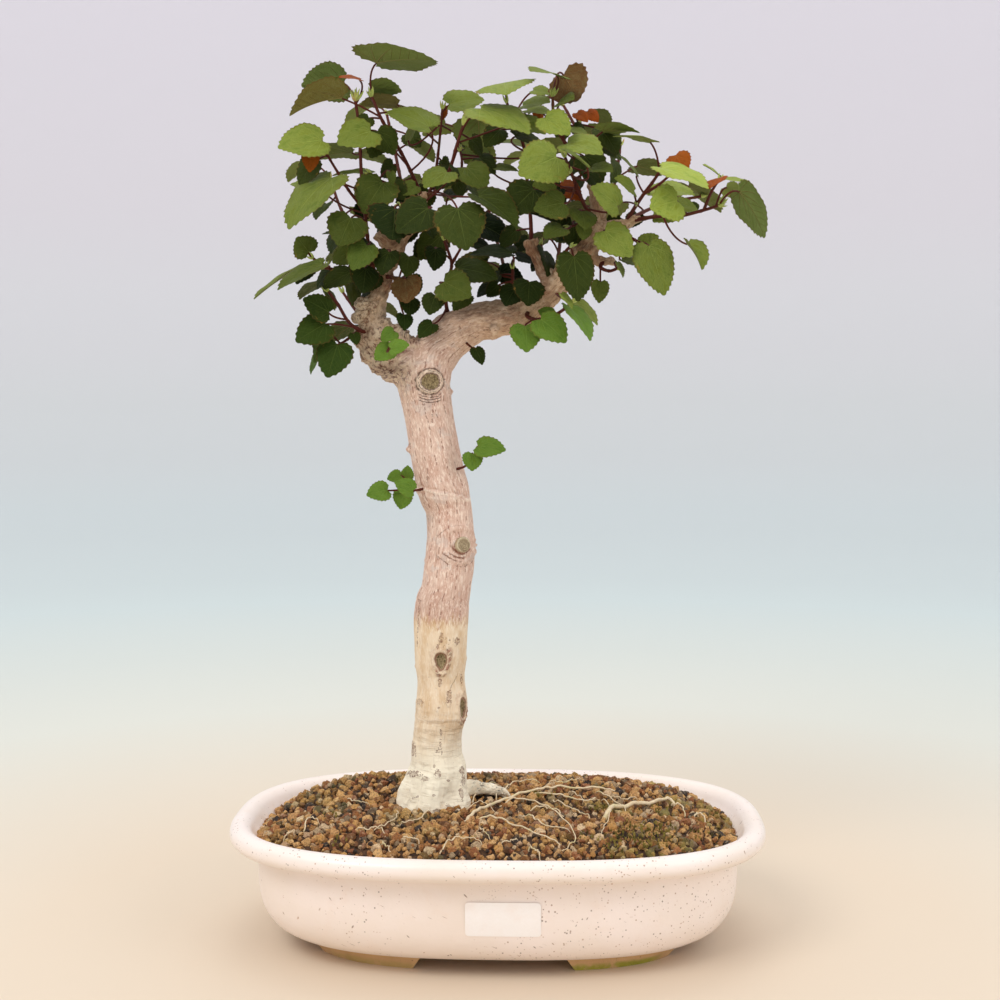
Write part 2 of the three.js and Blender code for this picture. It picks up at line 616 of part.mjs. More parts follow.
// Shoots, read by eye. Each has its stems as lines of [x, z, depth], the first leaving the wood and the
// others leaving an earlier stem, and its leaves as
// [stem, how far up it, joint x, z, depth, tip x, z, depth, roll, fold, width].
const SHOOTS = {
  shoot_top_left: {
    stems: [
      [[-51, 500, 12], [-57, 514, 8], [-64, 528, 4], [-78, 552, -2], [-84, 566, -4]],
    ],
    leaves: [
      [0, 1, -81, 588, -6, -42, 590, -34, 110, 14, 1.1],
      [0, 0.93, -84, 571, 4, -64, 569, 8, 128],
      [0, 0.8, -67, 561, 10, -92, 559, 16, 112],
      [0, 0.35, -85, 543, -18, -107, 534, -30, 38],
      [0, 0.76, -104, 565, -12, -139, 553, -20, 104, 34, 0.8],
      [0, 0.3, -46, 546, -18, -74, 556, -10, 62],
    ],
  },
  shoot_outer_left: {
    stems: [
      [[-79, 435, 9], [-84, 455, 3], [-87, 470, 1], [-89, 490, 0], [-91, 510, -2], [-92, 532, -4],
        [-93, 549, -5], [-95, 563, -6]],
      [[-89, 489, 0], [-95, 498, -5], [-99, 503, -8], [-107, 516, -12], [-113, 526, -14], [-118, 536, -16]],
    ],
    leaves: [
      [0, 0.98, -92, 577, -9, -107, 578, -14, 80],
      [0, 0.9, -103, 575, 8, -131, 573, 12, 150, 10],
      [0, 0.78, -97, 529, 22, -123, 524, 34, 115],
      [0, 0.82, -91, 529, 24, -73, 520, 34, 112],
      [1, 1, -118, 537, -18, -147, 532, -28, 45],
      [1, 0.8, -125, 531, -20, -126, 516, -22, 8, 12, 0.8],
      [0, 0.42, -116, 503, 4, -139, 508, 8, 66],
      [1, 0.36, -112, 512, -16, -140, 478, -30, 60, 10, 0.95],
      [0, 0.38, -98.5, 485.5, -28, -107, 467, -34, 10, 8, 1.25],
      [0, 0.28, -88, 467.5, -26, -98, 451, -32, 18],
      [0, 0.3, -92, 473, 14, -118, 475, 18, 78],
      [0, 0.14, -89, 452, -14, -91, 435.5, -20, 14, 10, 1.1],
      [0, 0.2, -73, 463, -24, -78, 447.5, -30, 20],
    ],
  },
  shoot_inner_left: {
    stems: [
      [[-57, 487, 12], [-61, 494, 9], [-68, 502, 5], [-76, 508, 1], [-85, 515, -2]],
    ],
    leaves: [
      [0, 0.96, -86, 515, 2, -111, 513.5, 4, 82],
      [0, 0.55, -77, 509, -12, -90, 488.5, -20, 22, 20, 1.1],
      [0, 0.7, -70, 521, -2, -78, 513, 4, 30],
      [0, 0.3, -55, 507, -8, -66, 501, -12, 35],
      [0, 0.85, -72, 516, -10, -71, 507, -12, 20, 20, 0.7],
    ],
  },
  shoot_front_left: {
    stems: [
      [[-57, 484, 10], [-59, 490, 0], [-62, 494, -14], [-66, 495, -28]],
    ],
    leaves: [
      [0, 1, -69, 491.5, -38, -71, 471, -46, 12, 8, 1.55],
      [0, 0.5, -47, 492, -26, -68, 476, -32, 25],
      [0, 0.3, -34, 516, -18, -49, 505.5, -28, 50, 12, 1.1],
    ],
  },
  shoot_centre: {
    stems: [
      [[-50, 500, 12], [-42, 503, 8], [-36, 510, 4], [-31, 521, -2], [-28, 532, -8], [-23, 547, -12]],
      [[-46, 501.5, 11], [-42, 514, 12], [-40, 527, 12], [-38, 546, 12], [-37, 558, 12]],
      [[-37, 509, 4], [-26, 513, 10], [-24, 523, 16], [-25, 530, 20]],
    ],
    leaves: [
      [0, 0.96, -11, 558, -24, 21, 541, -40, 64, 8],
      [1, 0.95, -32, 561, 8, -9, 564, 14, 54],
      [0, 0.9, -13, 551, 16, -12, 531, 8, 172, 8, 1.5],
      [0, 0.85, 10, 549, -4, 32, 541, -12, 60],
      [2, 0.9, 20, 533, 16, -3, 535, 20, 80],
      [1, 1, -37, 560, 12, -38, 550, 10, 60, 30, 0.6],
      [1, 0.6, -47, 551, 18, -38, 550, 22, 80],
      [2, 1, -22, 531, 24, -3, 523, 30, 45, 10, 1.1],
      [2, 0.4, -21, 519, -8, -8, 504, -16, 30],
      [0, 0.2, -27, 492, -42, -21, 464, -50, 8, 8, 1.1],
      [0, 0.14, -13, 500, -26, 13, 478, -34, 58, 22, 0.85],
      [1, 0.8, -60, 537, 24, -50, 551, 28, 110],
    ],
  },
  shoot_centre_low: {
    stems: [
      [[-57, 482, 16], [-46, 485, 22], [-34, 486, 26], [-22, 484, 28]],
    ],
    leaves: [
      [0, 1, -15, 483, 26, 8, 470, 24, 40, 14, 0.9],
      [0, 0.5, -45, 470, 22, -55, 457, 20, 30],
      [0, 0.7, -33, 500, 34, -18, 506, 40, 70],
    ],
  },
  shoot_crown: {
    stems: [
      [[22.5, 469, 6], [22, 485, 10], [20, 505, 16], [18, 530, 12], [12, 548, 4], [6, 562, -2]],
    ],
    leaves: [
      [0, 1, 4.5, 575, -6, 6, 567, -42, 0, 4],
      [0, 0.9, 17, 560, 6, 35, 562, -6, 68],
      [0, 0.84, 24, 570, 12, 36, 567, 8, 60],
      [0, 0.76, 20, 557, -4, 36, 554, -10, 70],
      [0, 0.6, 12, 540, 18, 30, 536, 26, 70],
      [0, 0.4, -1, 519, 14, 14, 516.5, 14, 72],
    ],
  },
  shoot_crown_right: {
    stems: [
      [[64.5, 512, 2], [56, 521, 0], [46, 534, -4], [38, 549, -6], [36.5, 566, -7]],
    ],
    leaves: [
      [0, 1, 40, 579.5, -10, 21.5, 582.5, -30, 84, 8],
      [0, 0.96, 44, 580, 8, 54, 563.5, -6, 170, 8, 1.1],
      [0, 0.8, 41, 562, -12, 51, 564, -26, 62],
      [0, 0.75, 32, 552, -22, 48, 540.5, -30, 35],
      [0, 0.6, 27, 556, 12, 26, 547, 10, 20, 10, 0.8],
      [0, 0.35, 46, 544, -2, 60, 540, -8, 72],
      [0, 0.3, 47, 535, -22, 70, 527.5, -34, 55],
    ],
  },
  shoot_top_right: {
    stems: [
      [[65, 519, 2], [62, 529, 6], [57, 538, 8], [55, 549, 6]],
    ],
    leaves: [
      [0, 1, 60, 556, 8, 67, 549, 4, 30, 10, 0.9],
      [0, 0.9, 53, 555, -2, 60, 549, -6, 40],
      [0, 0.5, 70, 543, -8, 95, 542, -18, 104, 16],
      [0, 0.3, 60, 531, -26, 75, 524, -36, 48],
    ],
  },
  shoot_mid_right: {
    stems: [
      [[65, 486, 3], [60, 491, -7], [55, 501, -14], [51, 511, -18], [45, 526, -22]],
      [[60, 490, -7], [54, 482, -16], [48, 480, -20]],
    ],
    leaves: [
      [0, 0.95, 39, 526, -40, 14, 514, -52, 22, 8, 1.05],
      [0, 0.8, 60, 519.5, -30, 42, 531.5, -36, 84],
      [0, 0.75, 63, 519, -26, 77, 516, -36, 60],
      [0, 0.7, 44, 495.5, -38, 24, 491, -44, 20, 8, 0.95],
      [0, 0.62, 42, 507, 0, 56, 497, -4, 45],
      [0, 0.55, 24, 504.5, -30, 8, 488, -40, 22, 10, 1.1],
      [0, 0.5, 37, 509, -4, 23, 507, -6, 35],
      [0, 0.28, 80, 494, -34, 62, 506, -42, 40],
      [0, 0.2, 56, 490, -26, 58.5, 478, -32, 38, 10, 1.5],
      [1, 0.7, 58, 480.5, -18, 57, 471, -20, 12, 8, 1.1],
      [1, 1, 42, 480, -14, 20, 489, -20, 60, 34],
      [1, 0.9, 43, 479, -22, 31, 472, -30, 40],
    ],
  },
  shoot_front_right: {
    stems: [
      [[47, 449, 4], [45, 458, -8], [46, 464, -20], [49, 467, -28]],
    ],
    leaves: [
      [0, 1, 51, 460, -34, 54, 430, -42, 14, 10, 0.8],
    ],
  },
  shoot_right: {
    stems: [
      [[92, 484.5, -4], [108, 487, -12], [121, 487, -18], [138, 491, -26], [148, 494, -30]],
      [[138, 491, -26], [143, 503, -27], [148, 511, -28]],
    ],
    leaves: [
      [0, 1, 162, 503, -42, 179, 472.5, -50, 128, 8, 0.85],
      [0, 0.95, 153, 506, -30, 163, 499, -26, 150],
      [1, 1, 148, 512, -30, 142, 505, -40, 60, 10, 1],
      [1, 0.96, 149, 513, -30, 137, 521, -36, 86],
      [1, 0.98, 151, 511.5, -32, 169, 508, -40, 80],
      [0, 0.6, 121, 495, -12, 134, 491, -8, 55],
      [0, 0.5, 120, 497, -34, 102, 492, -44, 18, 8, 1.15],
      [0, 0.4, 118, 491, -28, 104, 483, -32, 30],
      [0, 0.3, 127, 468.5, -32, 137, 451, -38, 66, 34],
    ],
  },
  shoot_right_up: {
    stems: [
      [[86, 483, -2], [92, 493, -6], [98, 502, -8], [104, 510, -10], [108, 516, -12]],
      [[98, 502, -8], [108, 508, -16], [116, 515, -20]],
    ],
    leaves: [
      [0, 1, 102, 536, -14, 77, 539.5, -22, 96, 10],
      [1, 1, 119, 527, -18, 126, 516, -24, 12, 8, 1.1],
      [1, 0.9, 110, 519, -26, 141, 505, -38, 72, 12],
      [1, 0.3, 104, 504, -18, 132, 500.5, -26, 70],
      [0, 0.5, 93, 514, -4, 81, 527, -8, 84],
      [0, 0.3, 91, 504, -14, 78, 512, -22, 62],
    ],
  },
  shoot_right_low: {
    stems: [
      [[78, 480, -1], [86, 474.5, -6], [94, 470, -12]],
    ],
    leaves: [
      [0, 1, 101.5, 467, -26, 112, 434, -36, 14, 8, 0.72],
      [0, 0.9, 97, 468, -14, 108, 474, -12, 35],
      [0, 0.4, 72, 477, -22, 90, 460, -30, 18, 8, 0.9],
      [0, 0.6, 84, 458, -2, 101, 450, -4, 72],
    ],
  },
  shoot_twig_low: {
    stems: [
      [[71, 457, -2], [69, 453, -6], [75, 450.5, -9], [80, 452, -10]],
    ],
    leaves: [
      [0, 0.3, 69, 443, -10, 68, 429, -14, 8, 8, 0.8],
      [0, 1, 80.5, 456, -12, 84, 446, -14, 70],
    ],
  },
  shoot_over_limb: {
    stems: [
      [[9, 431, 6], [10, 442, 4], [10, 452, 4]],
    ],
    leaves: [
      [0, 1, 9, 462, 2, -19, 461, 6, 72],
      [0, 0.9, 13, 460, 10, 26, 455, 12, 66],
      [0, 0.5, 21, 443, -16, 20, 427, -24, 14, 10, 1.15],
      [0, 0.7, 2, 449, 4, 17, 446, 6, 40, 10, 1.1],
      [0, 0.3, 12, 439, -12, 5, 427, -18, 22, 10, 1.2],
      [0, 0.2, -5, 441, 18, -14, 433, 22, 55],
    ],
  },
  shoot_over_stub: {
    stems: [
      [[36, 446, 8], [31, 458, 14], [29, 468, 18]],
    ],
    leaves: [
      [0, 1, 20, 471, 16, 10, 462, 18, 45],
      [0, 0.6, 24, 457, 16, 38, 453, 20, 55],
      [0, 0.9, 36, 476, 26, 50, 470, 30, 50],
    ],
  },
  shoot_fork: {
    stems: [
      [[-33, 418, 14], [-35, 432, 8], [-33, 446, 4], [-31, 455, 2], [-36, 471, 2]],
      [[-31, 455, 2], [-24, 467, 4]],
    ],
    leaves: [
      [0, 0.6, -27, 452, -12, 0, 445, -16, 50, 10, 1],
      [0, 0.4, -36, 443, -14, -18, 433, -20, 22, 10, 1.15],
      [0, 0.25, -42, 434, -22, -46, 421, -26, 18, 10, 1.1],
      [0, 0.3, -20, 434, -4, -30, 424, -6, 38],
      [0, 0.8, -42, 465, -16, -43, 450.5, -20, 20],
      [0, 0.9, -38, 474, 6, -53, 458, 6, 30],
      [0, 0.15, -44, 415, -8, -53, 405.5, -12, 32],
      [1, 1, -19, 470, 10, -4, 464, 14, 60],
    ],
  },
  shoot_low_left: {
    stems: [
      [[-83, 408, 8], [-93, 411, -2], [-100, 416, -6], [-108, 429, -10], [-114, 437, -12]],
      [[-93, 411, -2], [-101, 405, -10], [-107, 401, -14]],
    ],
    leaves: [
      [0, 0.36, -116, 415, -22, -136, 403, -30, 22, 8, 0.95],
      [0, 0.55, -114, 423, -16, -131, 432, -22, 28, 8, 1],
      [0, 1, -116, 438, -12, -110, 424, -16, 70],
      [1, 1, -108, 401, -20, -115, 379, -26, 10, 8, 1],
      [1, 0.9, -119, 412, -4, -124, 389, -6, 58],
      [1, 0.7, -120, 395, 6, -126, 381, 8, 72],
      [1, 0.5, -97, 408.5, -16, -95, 401, -18, 15],
    ],
  },
  shoot_mid_left: {
    stems: [
      [[-77, 443, 13], [-90, 447, 14], [-102, 450, 5], [-117, 453.5, -5], [-124, 459, -9]],
    ],
    leaves: [
      [0, 1, -127, 463, -12, -135, 473, -14, 25, 10, 1.5],
      [0, 0.9, -134, 452, -12, -164, 431.5, -22, 84, 14, 0.6],
      [0, 0.84, -118, 454.5, -18, -148, 437.5, -26, 70, 14, 0.8],
      [0, 0.75, -118, 453, 2, -133, 452, 2, 72],
      [0, 0.55, -99, 449, -18, -117, 438.5, -24, 48],
      [0, 0.5, -98, 464, 0, -111, 456, 2, 35, 10, 1.1],
      [0, 0.45, -99, 446, -4, -98, 427, -8, 55],
    ],
  },
  shoot_inner_low: {
    stems: [
      [[-76, 447, 8], [-70, 446, -2], [-64, 445, -8]],
    ],
    leaves: [
      [0, 1, -62, 445, -10, -61, 429, -16, 160, 8, 1.2],
      [0, 0.8, -60, 460, -14, -62, 446.5, -20, 20],
      [0, 0.7, -59, 432, -18, -60, 420.5, -22, 18, 8, 1.15],
      [0, 0.5, -63, 421, -8, -63, 410.5, -12, 18],
    ],
  },
  shoot_fresh: {
    stems: [
      [[-71, 396, 0], [-71, 400, -9], [-71, 403, -14]],
    ],
    leaves: [
      [0, 0.8, -72, 399, -18, -83, 391, -22, 18],
      [0, 0.9, -72, 398.5, -24, -59.5, 401, -26, 38],
      [0, 1, -70, 410, -16, -78.5, 403.5, -20, 20],
    ],
  },
  shoot_under_limb: {
    stems: [
      [[21, 424, 4], [20, 420, -8], [27, 418, -12], [38, 421, -14], [46, 426, -14], [50, 430, -12]],
    ],
    leaves: [
      [0, 0.35, 18.5, 413.5, -18, 19.5, 396, -24, 8, 8, 1.1],
      [0, 0.55, 29, 418, -18, 46, 402.5, -24, 28, 8, 0.95],
      [0, 0.7, 37, 420, -18, 27, 424, -20, 28],
      [0, 0.9, 48.5, 426, -18, 62, 403.5, -26, 68],
      [0, 1, 51, 430, -8, 67, 414, -12, 70],
      [0, 0.95, 43, 435, -8, 50, 425, -10, 66],
    ],
  },
  sprout_limb: {
    stems: [
      [[-23, 404, 4], [-19, 400.5, -1], [-17, 399, -3]],
    ],
    leaves: [
      [0, 1, -15, 398.5, -4, -10.5, 387.5, -6, 30, 10, 0.85],
    ],
  },
  sprout_left: {
    stems: [
      [[-50, 304, 2], [-57, 303, -4], [-61, 304, -6]],
    ],
    leaves: [
      [0, 1, -75, 303, -12, -89, 299.5, -16, 22],
      [0, 0.7, -66, 313, -3, -75, 310.5, -5, 20],
      [0, 0.5, -62, 311, 1, -61, 320, -1, 15],
      [0, 0.85, -57.5, 303, -14, -70, 308.5, -16, 25, 10, 1],
      [0, 0.9, -64, 301.5, -10, -66, 290, -13, 8, 10, 1.1],
    ],
  },
  sprout_right: {
    stems: [
      [[-29, 317, 3], [-22, 319.5, -1], [-17, 325, -3], [-14.5, 330, -4]],
    ],
    leaves: [
      [0, 0.6, -17, 327.5, -10, -17.5, 316, -12, 6, 8, 1.15],
      [0, 1, -13, 333, -6, 5.5, 330, -12, 28, 8, 0.8],
    ],
  },
};

function readLeaf([stem, at, jx, jz, jd, tx, tz, td, roll, fold = 14, wide = 1], n) {
  return {
    stem, at, joint: [jx, jz, jd], tip: [tx, tz, td], roll, fold, wide, arch: 0.12 + 0.16 * draw(n),
  };
}

// Shoots on the far side of the crown: stems by hand, leaves by rule, one on each side in turn.
const REAR_STEMS = {
  rear_left: [[-74, 452, 14], [-84, 462, 34], [-96, 476, 52], [-106, 494, 64], [-112, 512, 70]],
  rear_upright: [[-60, 481, 15], [-62, 496, 36], [-66, 516, 54], [-70, 536, 64], [-74, 554, 68]],
  rear_centre: [[-53, 491, 14], [-40, 506, 38], [-30, 524, 58], [-24, 544, 70]],
  rear_limb: [[10, 426, 14], [6, 444, 36], [2, 462, 56], [-4, 482, 72], [-8, 504, 80]],
  rear_elbow: [[37, 440, 12], [40, 456, 36], [42, 476, 56], [40, 498, 72], [36, 520, 80]],
  rear_right: [[62, 469, 8], [68, 482, 34], [76, 500, 54], [80, 518, 66], [82, 534, 70]],
  rear_branch: [[82, 481, 2], [94, 488, 26], [108, 494, 46], [124, 498, 58], [136, 500, 64]],
  rear_top: [[64, 516, 4], [60, 530, 24], [52, 546, 40], [44, 560, 48]],
  rear_low_left: [[-76, 404, 16], [-84, 410, 36], [-94, 422, 50], [-104, 436, 58]],
};
const REAR_LEAVES = 3;

function curveOf(line) {
  const points = line.map(([x, z, depth]) => new THREE.Vector3(x, z, depth));
  return new THREE.CatmullRomCurve3(points, false, 'centripetal');
}

function rearShoot(line, first) {
  const curve = curveOf(line);
  const leaves = Array.from({ length: REAR_LEAVES }, (_, k) => {
    const n = first + 11 * k;
    const part = (k + 1) / REAR_LEAVES;
    const foot = curve.getPoint(part);
    const side = k % 2 ? 1 : -1;
    const joint = [
      foot.x + side * (9 + 9 * draw(n)),
      foot.y + 2 + 10 * draw(n + 1),
      foot.z + 4 + 12 * draw(n + 2),
    ];
    const size = 23 + 9 * draw(n + 3);
    const tip = [
      joint[0] + side * size * (0.4 + 0.3 * draw(n + 4)),
      joint[1] - size * (0.25 + 0.5 * draw(n + 5)),
      joint[2] + size * 0.45,
    ];
    return [0, part, ...joint, ...tip, 105 + 35 * draw(n + 6)];
  });
  return { stems: [line], leaves };
}

// Room in the crown: places already taken, in a grid of cells, and the balls that the wood fills.
const CELL = 5;
const SAMPLE = 3;
const taken = new Map();
const woodBalls = [];

function cellOf(p, i = 0, j = 0, k = 0) {
  return [Math.floor(p.x / CELL) + i, Math.floor(p.y / CELL) + j, Math.floor(p.z / CELL) + k].join();
}

function take(p, reach, owner, part) {
  const key = cellOf(p);
  if (!taken.has(key)) taken.set(key, []);
  taken.get(key).push({ p, reach, owner, part });
}

// The free space round a point, less than 0 where something is in the way.
function roomAt(p, reach, skips) {
  let room = 9;
  for (let i = -1; i <= 1; i += 1) {
    for (let j = -1; j <= 1; j += 1) {
      for (let k = -1; k <= 1; k += 1) {
        for (const other of taken.get(cellOf(p, i, j, k)) ?? []) {
          if (!skips(other)) room = Math.min(room, p.distanceTo(other.p) - reach - other.reach);
        }
      }
    }
  }
  for (const ball of woodBalls) {
    room = Math.min(room, p.distanceTo(ball.at) - reach - ball.r);
  }
  return room;
}

function halfWidth(v) {
  if (v < 0.1) return 0.52 * Math.sqrt(Math.max(0, 1 - ((0.1 - v) / 0.27) ** 2));
  return 0.54 * (1 - ((v - 0.1) / 0.9) ** 1.8);
}

function bladePoints(frame, wide) {
  const points = [];
  const rows = Math.ceil((1.1 * frame.length) / SAMPLE);
  for (let j = 0; j <= rows; j += 1) {
    const v = -0.14 + (1.12 * j) / rows;
    const half = halfWidth(v);
    const across = Math.max(1, Math.ceil((2 * half * frame.length * wide) / SAMPLE));
    for (let i = 0; i <= across; i += 1) points.push(frame.place(half * ((2 * i) / across - 1), v));
  }
  return points;
}

function stalkPoints(frame, foot) {
  const curve = stalkCurve(frame, foot);
  const reach = frame.joint.distanceTo(foot);
  const count = Math.max(1, Math.ceil(reach / SAMPLE));
  return Array.from({ length: count }, (_, i) => curve.getPoint(i / count))
    .filter((p) => p.distanceTo(foot) > 6);
}

// Each leaf keeps its place in the view and steps nearer or further until it has room.
function settle(leaf, foot, owner) {
  const ownStems = (other) => other.owner === owner && other.part !== 'blade';
  let best = null;
  for (let k = 0; k < MAX_TRIES && !(best?.room > 0); k += 1) {
    const shift = (k % 2 ? -1 : 1) * Math.ceil(k / 2) * TRY_STEP;
    const frame = leafFrame(leaf, shift);
    const blade = bladePoints(frame, leaf.wide);
    const stalk = stalkPoints(frame, foot);
    const rooms = [
      ...blade.map((p) => roomAt(p, REACH.blade, () => false)),
      ...stalk.map((p) => roomAt(p, REACH.stalk, ownStems)),
    ];
    const room = Math.min(...rooms);
    if (!best || room > best.room) best = { room, frame, blade, stalk };
  }
  best.blade.forEach((p) => take(p, REACH.blade, owner, 'blade'));
  best.stalk.forEach((p) => take(p, REACH.stalk, owner, 'stalk'));
  return best;
}

function placeWood() {
  const lines = [TRUNK_LINE, ...Object.values(WOOD_LINES)];
  lines.map((line) => stationsOf(line)).forEach((stations) => {
    stations.slice(1).forEach((station, k) => {
      const from = stations[k];
      const count = Math.ceil(from.at.distanceTo(station.at) / (SAMPLE + 1));
      for (let i = 0; i < count; i += 1) {
        woodBalls.push({
          at: from.at.clone().lerp(station.at, i / count),
          r: from.r + ((station.r - from.r) * i) / count,
        });
      }
    });
  });
}

const STEM_R = 1.7;
const BRANCH_R = 1.36;
const STEM_TAPER = 0.55;

function stemOf(line, isFirst) {
  const curve = curveOf(line);
  const count = line.length;
  const stations = Array.from({ length: count }, (_, k) => {
    const p = curve.getPoint(k / (count - 1));
    const root = isFirst ? STEM_R : BRANCH_R;
    return { at: seen(p.x, p.y, p.z), r: root - (STEM_TAPER * k) / (count - 1) };
  });
  const footAt = (part) => {
    const p = curve.getPoint(part);
    return seen(p.x, p.y, p.z);
  };
  return { stations, footAt };
}

function takeStem({ footAt }, owner) {
  const count = 40;
  for (let i = 4; i <= count; i += 1) take(footAt(i / count), STEM_R - REACH.stem, owner, 'stem');
}

// Leaves longer than this get one tooth more.
const LARGE_LEAF = 29;

function shoot({ stems, leaves }, owner, first, keepClear) {
  const lines = stems.map((line, k) => stemOf(line, k === 0));
  const bodies = lines.map(({ stations }) => loft(ringsAlong(stations, STEM_SIDES, RIGHT)));
  leaves.forEach((row, k) => {
    const leaf = readLeaf(row, first + 3 * k);
    const foot = lines[leaf.stem].footAt(leaf.at);
    const { frame } = settle(leaf, foot, owner);
    const teeth = frame.length > LARGE_LEAF ? 4 : 3;
    bodies.push(leafSolid(frame, foot, teeth));
  });
  return largest(joined(bodies).subtract(keepClear));
}

// Label: a blank paper slip that follows the front of the pot
const LABEL = { x: 7, z: 43, wide: 47, high: 22, thick: 0.6 };

function wallAt(x, z) {
  const k = POT_PROFILE.findIndex((row) => row[2] > z);
  const [low, high] = [POT_PROFILE[k - 1], POT_PROFILE[k]];
  const part = (z - low[2]) / (high[2] - low[2]);
  const a = low[0] + (high[0] - low[0]) * part;
  const b = low[1] + (high[1] - low[1]) * part;
  return -b * (1 - (Math.abs(x) / a) ** OVAL) ** (1 / OVAL);
}

function label() {
  const rings = [0, 1, 2, 3, 4, 5, 6].map((k) => {
    const x = LABEL.x + LABEL.wide * (k / 6 - 0.5);
    const edge = (z, out) => new THREE.Vector3(x, wallAt(x, z) - out, z);
    const [low, high] = [LABEL.z - LABEL.high / 2, LABEL.z + LABEL.high / 2];
    const [near, far] = [GAP + 0.1, GAP + 0.1 + LABEL.thick];
    const wall = edge(LABEL.z, 0).y;
    const lean = (edge(high, 0).y - edge(low, 0).y) / 2;
    return [
      new THREE.Vector3(x, wall - lean - near, low),
      new THREE.Vector3(x, wall + lean - near, high),
      new THREE.Vector3(x, wall + lean - far, high),
      new THREE.Vector3(x, wall - lean - far, low),
    ];
  });
  return loft(rings);
}

function build() {
  const group = new THREE.Group();
  const add = (name, body, colour, roughness) => group.add(toMesh(name, body, colour, roughness));
  const cleared = wood(GAP);
  placeWood();
  add('pot', pot(), POT_COLOUR, 0.45);
  add('drain_screen_left', screen(-HOLE_X), SCREEN_COLOUR, 0.6);
  add('drain_screen_right', screen(HOLE_X), SCREEN_COLOUR, 0.6);
  add('soil', soil(cleared), SOIL_COLOUR, 0.95);
  add('trunk', trunk(), BARK_COLOUR, 0.8);
  add('label', label(), LABEL_COLOUR, 0.7);
  const shoots = { ...SHOOTS };
  Object.entries(REAR_STEMS).forEach(([name, line], k) => {
    shoots[name] = rearShoot(line, 500 + 90 * k);
  });
  const entries = Object.entries(shoots);
  entries.forEach(([name, { stems }]) => {
    stems.forEach((line, k) => takeStem(stemOf(line, k === 0), name));
  });
  entries.forEach(([name, made], k) => {
    add(name, shoot(made, name, 100 * k, cleared), LEAF_COLOUR, 0.6);
  });
  return group;
}

export default build();
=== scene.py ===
"""Sea hibiscus bonsai in an oval pot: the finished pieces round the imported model.

Lengths in the tables are millimetres, with +Z up and z = 0 on the ground under the middle of the pot.
"""

import json
import math

import bmesh
import bpy
import numpy as np
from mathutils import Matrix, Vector, noise
from mathutils.kdtree import KDTree

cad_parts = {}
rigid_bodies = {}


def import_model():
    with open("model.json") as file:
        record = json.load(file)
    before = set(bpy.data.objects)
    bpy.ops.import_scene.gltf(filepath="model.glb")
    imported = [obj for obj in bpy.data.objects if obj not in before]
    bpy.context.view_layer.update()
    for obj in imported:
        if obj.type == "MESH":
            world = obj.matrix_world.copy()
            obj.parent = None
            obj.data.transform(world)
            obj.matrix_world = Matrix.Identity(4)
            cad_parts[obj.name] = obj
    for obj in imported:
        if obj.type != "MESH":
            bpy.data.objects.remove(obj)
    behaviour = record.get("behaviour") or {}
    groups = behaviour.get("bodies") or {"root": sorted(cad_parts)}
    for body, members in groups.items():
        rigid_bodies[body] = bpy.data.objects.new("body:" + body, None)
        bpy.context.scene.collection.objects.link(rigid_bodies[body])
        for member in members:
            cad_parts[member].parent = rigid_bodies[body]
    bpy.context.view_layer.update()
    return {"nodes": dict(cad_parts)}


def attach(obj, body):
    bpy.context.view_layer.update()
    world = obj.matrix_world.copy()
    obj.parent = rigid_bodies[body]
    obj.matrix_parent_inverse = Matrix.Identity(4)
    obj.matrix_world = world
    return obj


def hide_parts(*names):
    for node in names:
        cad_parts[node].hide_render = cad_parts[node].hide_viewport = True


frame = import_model()

bl_info = {
    "name": "Sea hibiscus bonsai",
    "version": (1, 0, 0),
    "blender": (4, 5, 0),
    "location": "3D View > Sidebar > Bonsai",
    "description": "Builds the looks of a sea hibiscus bonsai in an oval pot",
    "category": "Object",
}

MM = 0.001


# Colours and numbers


def tone(*rgb):
    """A colour given as the eye sees it, 0 to 255, as Blender's linear colour."""
    channels = [c / 255 for c in rgb]
    linear = [c / 12.92 if c <= 0.04045 else ((c + 0.055) / 1.055) ** 2.4 for c in channels]
    return (*linear, 1.0)


def solid(colour):
    """A plain (red, green, blue) as Blender's colour; anything else as it is."""
    return tone(*colour) if isinstance(colour, tuple) and len(colour) == 3 else colour


def draw(n):
    """The same number always gives the same value between 0 and 1."""
    v = math.sin(n * 12.9898 + 4.1414) * 43758.5453
    return v - math.floor(v)


def step(value, low, high):
    """0 below low, 1 above high, with a smooth change between."""
    t = np.clip((value - low) / (high - low), 0, 1)
    return t * t * (3 - 2 * t)


# The tree's places, as in the part's source: x and z on an upright plane through the middle of the pot
# as seen from the front, and how deep the place lies behind that plane along the line of sight.

VIEW_DISTANCE = 1000
VIEW_HEIGHT = 356
VIEW_TURN = math.radians(2)
VIEW_PITCH = math.radians(3.41)
VIEW_ASIDE = 1.5
FOCAL = 1478
LENS = 53.2

RIGHT = np.array((math.cos(VIEW_TURN), math.sin(VIEW_TURN), 0))
AHEAD = np.array((-math.sin(VIEW_TURN), math.cos(VIEW_TURN), 0))
UP = np.array((0, 0, 1.0))
RIGHT_SIDE = np.array((1.0, 0, 0))
EYE = UP * VIEW_HEIGHT - AHEAD * VIEW_DISTANCE + RIGHT * VIEW_ASIDE


def seen(x, z, depth):
    on_plane = RIGHT * x + UP * z
    return EYE + (on_plane - EYE) * (1 + depth / VIEW_DISTANCE)


def ray_through(u, v):
    """The way from the eye through a place in the picture."""
    forward = AHEAD * math.cos(VIEW_PITCH) - UP * math.sin(VIEW_PITCH)
    upright = AHEAD * math.sin(VIEW_PITCH) + UP * math.cos(VIEW_PITCH)
    return forward + RIGHT * (u - 500) / FOCAL - upright * (v - 500) / FOCAL


